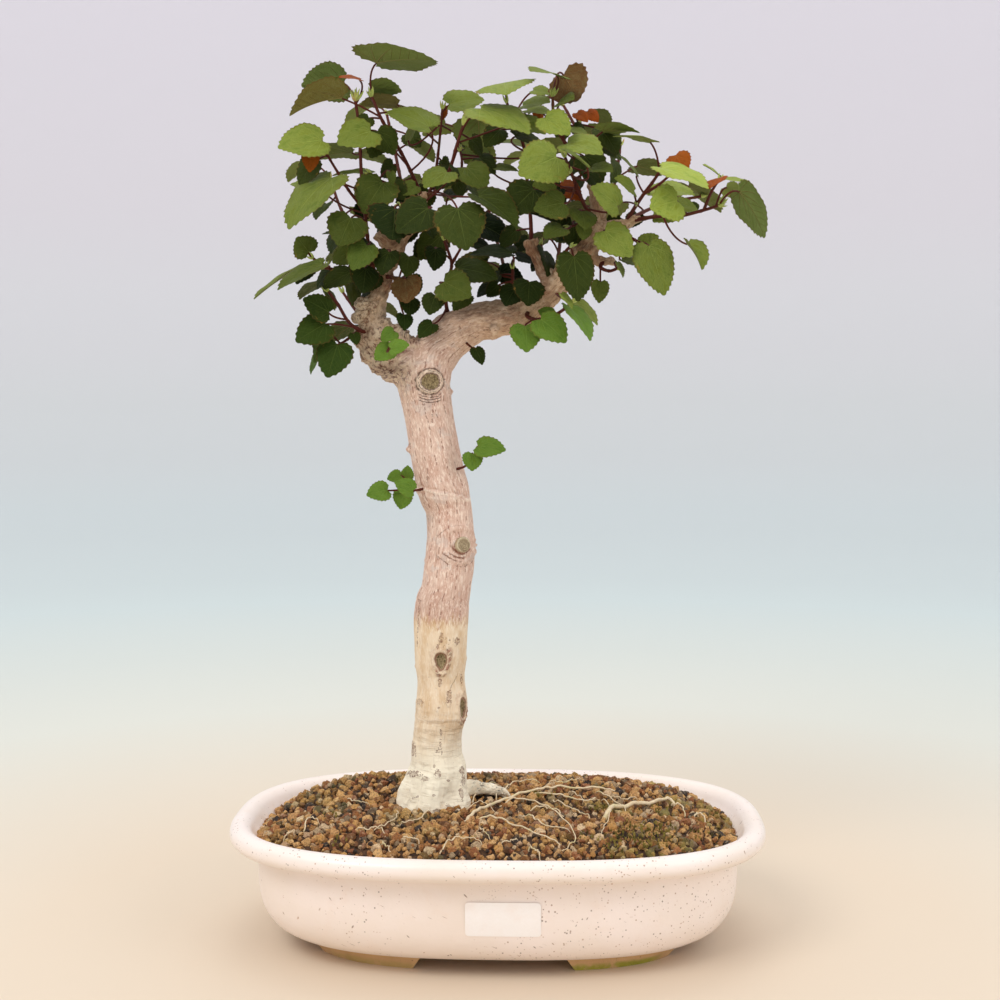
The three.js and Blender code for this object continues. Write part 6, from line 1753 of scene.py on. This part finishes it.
# Leaves that differ from the tree's usual green, by shoot and row: newest orange leaves, reddish ones
# and those whose brown-green undersides show
YOUNG = {
    "shoot_outer_left": (0, 5), "shoot_mid_right": (4,), "shoot_crown_right": (4,), "shoot_top_right": (0, 1),
    "shoot_centre": (5,), "shoot_right_up": (1,), "shoot_right": (2,),
}
REDDISH = {"shoot_crown_right": (1,), "shoot_inner_low": (0,)}
OLIVE = {"shoot_outer_left": (1, 9), "shoot_top_left": (2, 4), "shoot_right": (0,)}


def rear_leaves(line, first):
    """Leaves by rule for a stem on the far side, one on each side in turn, as in the part's source."""
    leaves = []
    for k in range(REAR_LEAVES):
        n = first + 11 * k
        part = (k + 1) / REAR_LEAVES
        foot = curve_at(line, part)
        side = 1 if k % 2 else -1
        joint = foot + (side * (9 + 9 * draw(n)), 2 + 10 * draw(n + 1), 4 + 12 * draw(n + 2))
        size = 23 + 9 * draw(n + 3)
        tip = joint + size * np.array((side * (0.4 + 0.3 * draw(n + 4)), -0.25 - 0.5 * draw(n + 5), 0.45))
        leaves.append((0, part, *joint, *tip, 105 + 35 * draw(n + 6)))
    return leaves


def inner_leaves(stem, line, first):
    """Small shaded leaves by rule, close to a stem inside the crown."""
    leaves = []
    for k in range(INNER_LEAVES):
        n = first + 13 * k
        part = (k + 0.2 + 0.7 * draw(n)) / INNER_LEAVES
        turn = 2 * math.pi * draw(n + 1)
        out = np.array((math.cos(turn), -0.5 + 0.6 * draw(n + 2), math.sin(turn)))
        joint = curve_at(line, part) + out * (6 + 8 * draw(n + 3))
        size = 12 + 9 * draw(n + 4)
        tip = joint + size * np.array((0.6 * out[0], -0.5 - 0.4 * draw(n + 5), 0.5 * out[2]))
        leaves.append((stem, part, *joint, *tip, 15 + 50 * draw(n + 6)))
    return leaves


def all_shoots():
    """(name, stems, leaves, first number for draws) of every shoot, in the part's order."""
    shoots = [(name, stems, leaves) for name, (stems, leaves) in SHOOTS.items()]
    for k, (name, line) in enumerate(REAR_STEMS.items()):
        shoots.append((name, (line,), rear_leaves(line, 500 + 90 * k)))
    return [(name, stems, leaves, 100 * k) for k, (name, stems, leaves) in enumerate(shoots)]


class Leaf:
    """One leaf's frame: where its blade joins its stalk, its three ways and its form."""

    def __init__(self, row, n, shift):
        self.stem, self.at = row[0], row[1]
        self.roll = row[8]
        fold = row[9] if len(row) > 9 else 14
        self.wide = row[10] if len(row) > 10 else 1
        self.arch = 0.12 + 0.16 * draw(n)
        self.fold = math.tan(math.radians(fold))
        self.joint = seen(row[2], row[3], row[4] + shift)
        tip = seen(row[5], row[6], row[7] + shift)
        self.length = np.linalg.norm(tip - self.joint)
        self.along = (tip - self.joint) / self.length
        to_eye = unit(EYE - self.joint)
        front = unit(to_eye - self.along * to_eye.dot(self.along))
        up = np.cross(self.along, front)
        if up[2] + 0.3 * up[0] < 0:
            up = -up
        roll = math.radians(self.roll)
        self.face = front * math.cos(roll) + up * math.sin(roll)
        self.across = np.cross(self.along, self.face)

    def place(self, u, v, lift=0.0):
        rise = self.fold * abs(u) - 0.3 * u * u + self.arch * v * (1 - v)
        flat = self.across * (u * self.wide) + self.along * v
        return self.joint + (flat + self.face * rise) * self.length + self.face * lift


def fitted_leaf(row, n, tree):
    """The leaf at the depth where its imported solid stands."""
    best = None
    for k in range(21):
        shift = (-1 if k % 2 else 1) * math.ceil(k / 2) * 3
        leaf = Leaf(row, n, shift)
        spots = [leaf.place(0, *spot) for spot in ((1, 0), (0.3, 0.45), (0.66, -0.45), (0, -0.675))]
        miss = sorted(tree.find(Vector(spot) * MM)[2] for spot in spots)[1]
        if best is None or miss < best[0]:
            best = (miss, leaf)
        if miss < 2e-6:
            break
    return best


def stalk_places(leaf, foot, count=9):
    reach = np.linalg.norm(leaf.joint - foot)
    joint = leaf.joint - leaf.face * 0.3
    bend = leaf.joint - leaf.along * 0.3 * reach - leaf.face * 0.25 * reach
    parts = np.linspace(0, 1, count)[:, None]
    return joint * (1 - parts) ** 2 + bend * 2 * parts * (1 - parts) + foot * parts**2


def blade_shape(name, teeth, tooth, thickness):
    """A flat toothed heart one unit long, thin and closed; its height holds the real thickness."""
    rows = 2 * teeth
    line = curve_rows([(u, v, 0) for u, v in HEART], 400)[:, :2]
    walked = np.concatenate(([0], np.cumsum(np.linalg.norm(np.diff(line, axis=0), axis=1))))
    at = np.linspace(0, walked[-1], rows + 1)
    outline = np.stack([np.interp(at, walked, line[:, k]) for k in (0, 1)], axis=1)
    ahead = np.gradient(outline, axis=0)
    ahead /= np.linalg.norm(ahead, axis=1)[:, None]
    for k in range(2, rows):
        own = tooth * (0.7 + 0.6 * draw(k * 3.3 + teeth))
        push = own if k % 2 else -0.35 * tooth
        lean = 0.5 * own if k % 2 else 0
        outline[k] += (ahead[k, 1] * push + ahead[k, 0] * lean, -ahead[k, 0] * push + ahead[k, 1] * lean)
    middle = np.linspace(0, 1, rows + 1) ** 1.25
    middle[1:-1] = np.minimum(middle[1:-1], 0.985)
    points, parts, under, faces = [], [], [], []
    index = {}

    def corner(side, k, c, layer):
        key = (0 if c == 0 or k == 0 else side, k, c, 0 if c == BLADE_COLUMNS or k == rows else layer)
        if k == rows:
            key = (0, rows, 0, 0)
        if key not in index:
            part = c / BLADE_COLUMNS
            u = side * outline[k][0] * part
            v = middle[k] + (outline[k][1] - middle[k]) * part
            full = 0 if key[3] == 0 else (1 - part**2)
            index[key] = len(points)
            points.append((u, v, key[3] * full))
            parts.append(1 if k == rows else part)
        return index[key]

    for side in (1, -1):
        for layer in (1, -1):
            for k in range(rows):
                for c in range(BLADE_COLUMNS):
                    face = [corner(side, k, c, layer), corner(side, k, c + 1, layer),
                            corner(side, k + 1, c + 1, layer), corner(side, k + 1, c, layer)]
                    face = list(dict.fromkeys(face))
                    if side * layer < 0:
                        face.reverse()
                    faces.append(face)
                    under.append(layer < 0)
    blade = new_object(name, np.array(points) * (1, 1, thickness / 2) / MM, faces)
    store(blade, "under", under, "BOOLEAN", "FACE")
    store(blade, "blade", [(u, v, part) for (u, v, _), part in zip(points, parts)], "FLOAT_VECTOR")
    return blade


def leafy_tree(name):
    """Sets a blade out at each leaf's joint, bends it to the leaf's fold and arch, and makes the stems."""
    g = Geometry(name, Blade="Object", Small_blade="Object", Small="Float", Sides="Int", Wave="Float",
                 Upper_side="Material", Underside="Material", Stems="Material")
    parted = g.add("GeometryNodeSeparateGeometry", {0: g.inputs[0], 1: g.named("is_leaf", "BOOLEAN")})
    size = g.named("size")
    small = g.math("LESS_THAN", size, g.value("Small"))
    sets = []
    for label, chosen in (("Blade", g.less(1.0, small)), ("Small_blade", small)):
        blade = g.add("GeometryNodeObjectInfo", {0: g.value(label)}).outputs["Geometry"]
        inputs = {"Points": parted.outputs[0], "Instance": blade, "Selection": chosen}
        sets.append(g.add("GeometryNodeInstanceOnPoints", inputs).outputs[0])
    blades = g.add("GeometryNodeRealizeInstances", {0: g.join(*sets)}).outputs[0]
    joint = g.named("joint", "FLOAT_VECTOR")
    flat = g.vector("SUBTRACT", g.add("GeometryNodeInputPosition").outputs[0], joint)
    u, v, lift = g.parts(flat)
    aside = g.math("ABSOLUTE", u)
    rise = g.times(aside, g.named("fold"))
    rise = g.less(rise, g.times(u, u, 0.3))
    rise = g.plus(rise, g.times(g.named("arch"), v, g.less(1.0, v)))
    wave = g.math("SINE", g.plus(g.times(v, 11.0), g.times(g.named("own"), 40.0)))
    second = g.math("SINE", g.plus(g.times(u, 9.0), g.times(g.named("own"), 71.0)))
    wave = g.times(g.plus(wave, second), aside, g.value("Wave"))
    rise = g.plus(rise, wave)
    rise = g.plus(g.times(rise, size), lift)
    place = joint
    moves = dict(across=g.times(u, g.named("wide"), size), along=g.times(v, size), face=rise)
    for way, amount in moves.items():
        place = g.vector("ADD", place, g.scaled(g.named(way, "FLOAT_VECTOR"), amount))
    blades = g.add("GeometryNodeSetPosition", {"Geometry": blades, "Position": place}).outputs[0]
    stems = g.keep(g.tubes(parted.outputs[1]), "is_stem", True, "BOOLEAN")
    under, is_stem = g.named("under", "BOOLEAN"), g.named("is_stem", "BOOLEAN")
    g.finished(g.join(blades, stems), (g.value("Upper_side"), None), (g.value("Underside"), under),
               (g.value("Stems"), is_stem))
    return g


def vein_mask(m):
    """(veins, fine net, aside, edge): veins from the joint, side veins off the midrib and a net between."""
    u, v, edge = m.parts(m.attribute("blade"))
    aside = m.math("ABSOLUTE", u)
    bent = m.less(v, m.times(aside, aside, 0.5))
    veins = m.line(aside, m.between(v, 0.0, 1.0, 0.02, 0.006))
    for degrees, width, strength in ((33, 0.013, 0.9), (66, 0.012, 0.8), (104, 0.010, 0.7)):
        a = math.radians(degrees)
        reach = m.plus(m.times(aside, math.sin(a)), m.times(bent, math.cos(a)))
        off = m.less(m.times(bent, math.sin(a)), m.times(aside, math.cos(a)))
        ray = m.times(m.line(off, width), m.between(reach, 0.6, 0.3, 0.0, 1.0))
        ray = m.times(ray, m.math("GREATER_THAN", reach, 0.0), strength)
        veins = m.most(veins, ray)
    climb = m.less(v, m.plus(m.times(aside, 0.95), 0.02))
    phase = m.math("ABSOLUTE", m.less(m.math("FRACT", m.math("DIVIDE", climb, 0.15)), 0.5))
    side_veins = m.between(phase, 0.05, 0.0, 0.0, 1.0)
    inner = m.math("GREATER_THAN", m.less(bent, m.times(aside, 1.5)), 0.04)
    side_veins = m.times(side_veins, inner, 0.6)
    veins = m.most(veins, side_veins)
    net = m.cells(m.combine(u, v, m.times(m.attribute("own", "Fac"), 7.0)), 17, "DISTANCE_TO_EDGE")
    net = m.between(net["Distance"], 0.0, 0.09, 1, 0)
    return veins, net, aside, m.between(edge, 0.9, 1.0)


def blade_finish():
    m = Finish("hibiscus_leaf_upper")
    veins, net, aside, edge = vein_mask(m)
    own = m.attribute("own", "Fac")
    leaf = m.attribute("leaf_colour", "Color")
    around = m.vector("ADD", m.attribute("blade"), m.combine(own, own, own))
    cloud = m.noise(around, 3.2, 4)
    base = m.mix(m.between(cloud, 0.45, 0.7, 0, 0.5), leaf, m.mix(1.0, leaf, (216, 214, 120), "MULTIPLY"))
    base = m.mix(m.between(cloud, 0.5, 0.3, 0, 0.5), base, m.mix(1.0, leaf, (176, 200, 150), "MULTIPLY"))
    base = m.mix(m.times(net, 0.16), base, m.mix(1.0, leaf, (170, 196, 140), "MULTIPLY"))
    base = m.mix(m.times(veins, 0.6), base, m.mix(0.12, m.scaled(leaf, 1.35), (196, 208, 110)))
    base = m.mix(m.times(edge, 0.45), base, (96, 56, 32))
    rusty = m.times(m.between(m.noise(around, 5, 3), 0.6, 0.7), m.between(aside, 0.3, 0.5, 0, 0.6))
    base = m.mix(rusty, base, (150, 112, 50))
    flecks = m.dots(around, 22, 0.14, 0.06)
    base = m.mix(m.times(flecks, 0.5), base, (206, 200, 120))
    rough = m.between(m.noise(around, 6, 2), 0.3, 0.7, 0.48, 0.62)
    relief = [(net, -0.00012), (veins, -0.00022), (m.noise(around, 30, 3), 0.0001)]
    return m.surface(base, rough, relief, Specular_IOR_Level=0.07)


def underside_finish():
    m = Finish("hibiscus_leaf_underside")
    veins, net, aside, edge = vein_mask(m)
    own = m.attribute("own", "Fac")
    leaf = m.attribute("under_colour", "Color")
    around = m.vector("ADD", m.attribute("blade"), m.combine(own, own, own))
    base = m.mix(m.between(m.noise(around, 4, 4), 0.4, 0.7, 0, 0.3), leaf, m.mix(0.25, leaf, (186, 192, 130)))
    base = m.mix(m.times(net, 0.2), base, m.mix(0.4, leaf, (200, 200, 140)))
    base = m.mix(m.times(veins, 0.65), base, m.mix(0.6, leaf, (186, 150, 96)))
    base = m.mix(m.times(edge, 0.4), base, (112, 66, 40))
    relief = [(net, 0.00015), (veins, 0.0006), (m.noise(around, 60, 3), 0.0001)]
    return m.surface(base, 0.75, relief, Specular_IOR_Level=0.1)


def stem_finish(settings):
    m = Finish("red_brown_stems")
    base = m.mix(m.mottle(180, 4), (*settings.stem, 1), (98, 40, 26))
    green = m.between(m.mottle(60, 3), 0.58, 0.72, 0, 0.4)
    base = m.mix(green, base, (104, 84, 40))
    pale = m.dots(m.place, 700, 0.3, 0.12)
    base = m.mix(m.times(pale, 0.5), base, (186, 150, 116))
    return m.surface(base, 0.55, [(m.mottle(900, 3), 0.00015)], Specular_IOR_Level=0.2)


def bud_finish():
    m = Finish("yellow_green_buds")
    base = m.mix(m.mottle(240, 4), (186, 196, 92), (146, 158, 66))
    base = m.mix(m.between(m.mottle(90, 3), 0.58, 0.72, 0, 0.7), base, (196, 120, 72))
    return m.surface(base, 0.6, [(m.mottle(1200, 3), 0.0001)], Sheen_Weight=0.3)


def blend(a, b, amount):
    return np.array(a[:3]) * (1 - amount) + np.array(b[:3]) * amount


def leaf_colours(name, k, leaf, inner, settings):
    """The leaf's colour above and below: its own tone and age, with painted light on the high, outer and
    front leaves and painted shade on the inner and far-side ones.
    """
    lot = draw(300 + 17 * k + len(name) * 31 + leaf.joint[0])
    # Painted light: higher, outer and nearer-the-front leaves are lighter; painted shade: inner and far-side
    # leaves are darker; sprouts low on the trunk are young and light
    high = float(step(leaf.joint[2], 450, 575))
    near = float(step(-leaf.joint[1], -45, 40))
    outer = float(step(abs(leaf.joint[0] + 20), 45, 140))
    low = leaf.joint[2] < 345
    freshness_and_light = 0.36 * high + 0.46 * outer + 0.16 * near + 0.34 * (lot - 0.6)
    if low or name in ("shoot_fresh", "shoot_under_limb"):
        freshness_and_light = 0.6 + 0.2 * lot
    if name.startswith("rear"):
        freshness_and_light = 0.02 + 0.3 * high + 0.25 * lot
    if inner:
        freshness_and_light = 0.1 * lot + 0.15 * high
    freshness_and_light = float(step(freshness_and_light, -0.02, 0.96))
    fresh = settings.light if leaf.joint[2] > 430 and name != "shoot_fresh" else tone(116, 148, 58)
    green = blend(settings.dark, fresh, max(0, min(1, freshness_and_light)))
    upper = blend(green, tone(104, 116, 40), 0.12 * draw(lot * 91))
    under = blend(upper, tone(132, 140, 84), 0.1 + 0.3 * max(0, min(1, freshness_and_light)))
    if k in YOUNG.get(name, ()):
        upper = blend(settings.young, tone(150, 92, 26), 0.4 * lot)
        under = blend(upper, tone(140, 72, 22), 0.4)
    if k in REDDISH.get(name, ()):
        upper = blend(tone(98, 54, 26), tone(92, 66, 28), lot)
        under = blend(upper, tone(120, 92, 60), 0.15)
    if k in OLIVE.get(name, ()):
        upper = blend(tone(92, 104, 42), tone(76, 100, 38), lot)
        under = (tone(116, 104, 50) if name == "shoot_top_left" else tone(100, 114, 56))[:3]
    return (*upper, 1), (*under, 1)


# What each point of a shoot's lines holds, by kind, with its value where nothing is set
LEAF_FIELDS = {
    "BOOLEAN": (False, ("is_leaf",)),
    "FLOAT_VECTOR": ((0, 0, 0), ("joint", "across", "along", "face")),
    "FLOAT": (0, ("size", "wide", "fold", "arch", "own", "thick")),
    "FLOAT_COLOR": ((0, 0, 0, 1), ("leaf_colour", "under_colour")),
}
# What the pieces still need once the blades and stems are made; the finishes read them
KEPT_FIELDS = ("own", "leaf_colour", "under_colour")


def leaves_name(node):
    """leaves_fork for shoot_fork, leaves_rear_top for rear_top, leaves_sprout_left for sprout_left."""
    return node.replace("shoot", "leaves") if node.startswith("shoot") else f"leaves_{node}"


class BONSAI_OT_leaves(bpy.types.Operator):
    """Makes every leafy shoot: toothed, folded and veined blades on round red-brown stalks and stems"""

    bl_idname = "bonsai.leaves"
    bl_label = "Leafy shoots"

    def execute(self, context):
        settings = context.scene.bonsai_leaf
        blade = blade_shape("blade", settings.teeth, TOOTH, settings.thickness)
        small = blade_shape("small_blade", settings.teeth * 2 // 3, 1.3 * TOOTH, settings.thickness)
        grow = leafy_tree("leafy_shoot")
        finishes = dict(Upper_side=blade_finish(), Underside=underside_finish(), Stems=stem_finish(settings))
        misses = []
        for name, stems, rows, first in all_shoots():
            node = frame["nodes"][name]
            tree = KDTree(len(node.data.vertices))
            for k, vertex in enumerate(node.data.vertices):
                tree.insert(vertex.co, k)
            tree.balance()
            points, edges, fields = [], [], []

            def add_line(places, radii, colour_at):
                for k, (place, radius) in enumerate(zip(places, radii)):
                    points.append(place)
                    fields.append({"thick": radius, "own": colour_at})
                    if k:
                        edges.append((len(points) - 2, len(points) - 1))

            for k, line in enumerate(stems):
                places = [seen(*row) for row in curve_rows(line, 8 * len(line))]
                root = (STEM_R if k == 0 else BRANCH_R) * (0.55 if name.startswith("sprout") else 0.86)
                radii = [root * (1 - 0.34 * part) for part in np.linspace(0, 1, len(places))]
                knuckle = [r * (1.2 if k % 8 == 4 else 1) for k, r in enumerate(radii)]
                add_line(places, knuckle, draw(first + k))
            inner = []
            if stems[0][0][1] > 425 and name not in NO_INNER_LEAVES:
                for k, line in enumerate(stems):
                    inner += inner_leaves(k, line, first + 700 + 40 * k)
            for k, row in enumerate([*rows, *inner]):
                if k < len(rows):
                    miss, leaf = fitted_leaf(row, first + 3 * k, tree)
                    misses.append((miss, name, k))
                else:
                    leaf = Leaf(row, first + 3 * k, 0)
                foot = seen(*curve_at(stems[leaf.stem], leaf.at))
                stalk = stalk_places(leaf, foot)
                add_line(stalk, np.linspace(STALK_R, STALK_R * 1.15, len(stalk)), draw(first + 3 * k))
                upper, under = leaf_colours(name, k, leaf, k >= len(rows), settings)
                points.append(leaf.joint)
                fields.append({
                    "is_leaf": True, "joint": leaf.joint * MM, "across": leaf.across, "along": leaf.along,
                    "face": leaf.face, "size": leaf.length * MM, "wide": leaf.wide, "fold": leaf.fold,
                    "arch": leaf.arch, "own": draw(first + 3 * k + 1), "leaf_colour": upper,
                    "under_colour": under,
                })
            shoot = new_object(fresh(leaves_name(name)), points, [], edges=edges)
            for kind, (empty, names) in LEAF_FIELDS.items():
                for field in names:
                    store(shoot, field, [held.get(field, empty) for held in fields], kind)
            grow.on(shoot, Blade=blade, Small_blade=small, Small=SMALL_BLADE, Sides=7, Wave=0.03, **finishes)
            settled(shoot)
            for field in ("is_stem", "under", *(name for _, names in LEAF_FIELDS.values() for name in names)):
                spent = shoot.data.attributes.get(field)
                if spent and field not in KEPT_FIELDS:
                    shoot.data.attributes.remove(spent)
            shoot.data.shade_smooth()
            shoot.data.set_sharp_from_angle(angle=math.radians(50))
            young = name in ("shoot_fresh", "shoot_under_limb") or name.startswith("sprout")
            belongs(shoot, "leaf_young" if young else "leaf", name)
        remove(blade, small)
        worst = max(misses)
        if worst[0] > 0.001:
            raise RuntimeError(f"a leaf of {worst[1]} (row {worst[2]}) stands off its solid by {worst[0]} m")
        return {"FINISHED"}


# Buds and young stipules: x, z and depth as seen of more buds than those at the stems' ends, and their size

SIDE_BUDS = (
    (-93, 566, -8, 9), (-100, 572, -10, 8), (-88, 575, -12, 7), (-118, 529, -18, 7), (-22, 552, -16, 8),
    (-18, 560, -16, 7), (40, 571, -12, 7), (54, 551, 0, 7), (117, 524, -22, 7), (152, 497, -32, 8),
    (157, 503, -34, 7), (47, 515, -24, 7), (-112, 460, -6, 5), (93, 494, -8, 5),
)


# A bract's radius along it, both in its own lengths
BRACT = ((-0.12, 0.03), (0.05, 0.09), (0.25, 0.13), (0.5, 0.115), (0.75, 0.07), (0.92, 0.03), (1.0, 0.006))


def bud(place, way, size):
    """Three pointed bracts that spread from one spot."""
    side = unit(np.cross(way, RIGHT + AHEAD * 0.3))
    over = np.cross(way, side)
    bodies = []
    for k in range(3):
        turn = 2 * math.pi * k / 3 + size
        lean = side * math.cos(turn) + over * math.sin(turn)
        tip_way = unit(way + lean * (0.35 if k else 0.08))
        line = [place + tip_way * size * part + lean * 0.5 * math.sin(part * 3) for part, _ in BRACT]
        bodies.append(loft(rings_along(np.array(line), [size * r for _, r in BRACT], 8, facing=side)))
    return bodies


class BONSAI_OT_buds(bpy.types.Operator):
    """Sets yellow-green buds on the ends of the stems and beside the newest leaves"""

    bl_idname = "bonsai.buds"
    bl_label = "Buds"

    def execute(self, context):
        bodies, feet = [], []
        for name, stems, _, first in all_shoots():
            for k, line in enumerate(stems):
                end, before = seen(*curve_at(line, 1)), seen(*curve_at(line, 0.94))
                way = unit(end - before)
                size = (3.4 if name.startswith("sprout") else 4.8) + 2.2 * draw(first + 40 + k)
                bodies += bud(end - way * 0.6, way, size)
                feet += [seen(*curve_at(line, part)) for part in np.linspace(0.3, 1, 40)]
        feet = np.array(feet)
        for x, z, depth, size in SIDE_BUDS:
            spot = seen(x, z, depth)
            foot = feet[np.argmin(np.linalg.norm(feet - spot, axis=1))]
            way = unit(unit(spot - foot) + UP * 0.6)
            bodies += bud(foot, way, size)
        buds = new_object(fresh("leaf_buds"), *joined(bodies), [bud_finish()])
        belongs(buds, "leaf_young")
        return {"FINISHED"}


# Stage


# The floor's reach and height: a wide bowl whose edge rises far behind the part
FLOOR_PROFILE = (
    (3400, 1750), (3390, 1300), (3340, 900), (3200, 520), (2900, 230), (2500, 70), (2100, 8), (1800, 0),
    (900, 0), (20, 0),
)


def floor_finish(settings):
    m = Finish("plain_pale_floor")
    far = m.math("DIVIDE", m.vector("LENGTH", m.place), 4.0)
    base = m.ramp(
        far, (0.08, (*settings.floor, 1)), (0.2, (220, 220, 209)), (0.3, (216, 221, 214)),
        (0.45, (215, 226, 224)), (0.66, (213, 221, 221)), (0.77, (218, 220, 220)), (0.83, (226, 224, 226)),
        (0.87, (231, 225, 229)), (0.93, (237, 230, 236)),
    )
    return m.surface(base, 0.85, [(m.mottle(600, 2), 0.00002)])


def lamp(name, place, aim, size, power, tint=(1, 1, 1)):
    light = bpy.data.lights.new(name, "AREA")
    light.shape = "DISK"
    light.size = size
    light.energy = power
    light.color = tint
    thing = bpy.data.objects.new(name, light)
    thing.location = place
    thing.rotation_euler = (Vector(aim) - Vector(place)).to_track_quat("-Z", "Y").to_euler()
    bpy.context.scene.collection.objects.link(thing)


class BONSAI_OT_stage(bpy.types.Operator):
    """Sets the plain floor, the soft studio light and the camera"""

    bl_idname = "bonsai.stage"
    bl_label = "Stage and camera"

    def execute(self, context):
        settings = context.scene.bonsai_stage
        points, faces = loft([round_ring(reach, z, 96) for reach, z in FLOOR_PROFILE], cap=False)
        faces.append(tuple(range(len(points) - 96, len(points))))
        floor = new_object(fresh("plain_floor"), points, faces, [floor_finish(settings)])
        lamp("key_light", (-1.1, -1.5, 1.9), (0, 0, 0.3), 1.3, settings.key, (1, 0.985, 0.96))
        lamp("fill_light", (1.7, -1.2, 1.2), (0, 0, 0.3), 1.6, settings.key * 0.45, (0.97, 0.98, 1))
        lamp("top_light", (0.1, 0.5, 2.3), (0, 0, 0.3), 1.5, settings.key * 0.42)
        world = bpy.data.worlds.new("soft_studio")
        world.use_nodes = True
        world.node_tree.nodes["Background"].inputs[0].default_value = tone(240, 241, 244)
        world.node_tree.nodes["Background"].inputs[1].default_value = 0.97
        context.scene.world = world
        context.scene.view_settings.view_transform = "Standard"
        camera = bpy.data.objects.new("camera", bpy.data.cameras.new("camera"))
        camera.data.lens = settings.lens
        camera.data.sensor_width = 36
        camera.data.clip_start = 0.01
        camera.data.clip_end = 50
        camera.location = EYE * MM
        camera.rotation_euler = (math.pi / 2 - VIEW_PITCH, 0, VIEW_TURN)
        context.scene.collection.objects.link(camera)
        context.scene.camera = camera
        return {"FINISHED"}


# Panel and registration

PIECES = (
    BONSAI_OT_stage,
    BONSAI_OT_pot,
    BONSAI_OT_screens,
    BONSAI_OT_soil,
    BONSAI_OT_granules,
    BONSAI_OT_bark,
    BONSAI_OT_fine_roots,
    BONSAI_OT_leaves,
    BONSAI_OT_buds,
    BONSAI_OT_label,
)


class VIEW3D_PT_bonsai(bpy.types.Panel):
    """Lists the pieces of the bonsai and their settings"""

    bl_idname = "VIEW3D_PT_bonsai"
    bl_label = "Sea hibiscus bonsai"
    bl_space_type = "VIEW_3D"
    bl_region_type = "UI"
    bl_category = "Bonsai"

    def draw(self, context):
        for key, group in SETTINGS.items():
            box = self.layout.box()
            for name in group.__annotations__:
                box.prop(getattr(context.scene, key), name)
        for piece in PIECES:
            self.layout.operator(piece.bl_idname)


def register():
    for group in SETTINGS.values():
        bpy.utils.register_class(group)
    for key, group in SETTINGS.items():
        setattr(bpy.types.Scene, key, bpy.props.PointerProperty(type=group))
    for piece in (*PIECES, VIEW3D_PT_bonsai):
        bpy.utils.register_class(piece)


def unregister():
    for piece in reversed((*PIECES, VIEW3D_PT_bonsai)):
        bpy.utils.unregister_class(piece)
    for key, group in SETTINGS.items():
        delattr(bpy.types.Scene, key)
        bpy.utils.unregister_class(group)


def main():
    register()
    for piece in PIECES:
        group, name = piece.bl_idname.split(".")
        getattr(getattr(bpy.ops, group), name)()


if __name__ == "__main__":
    main()
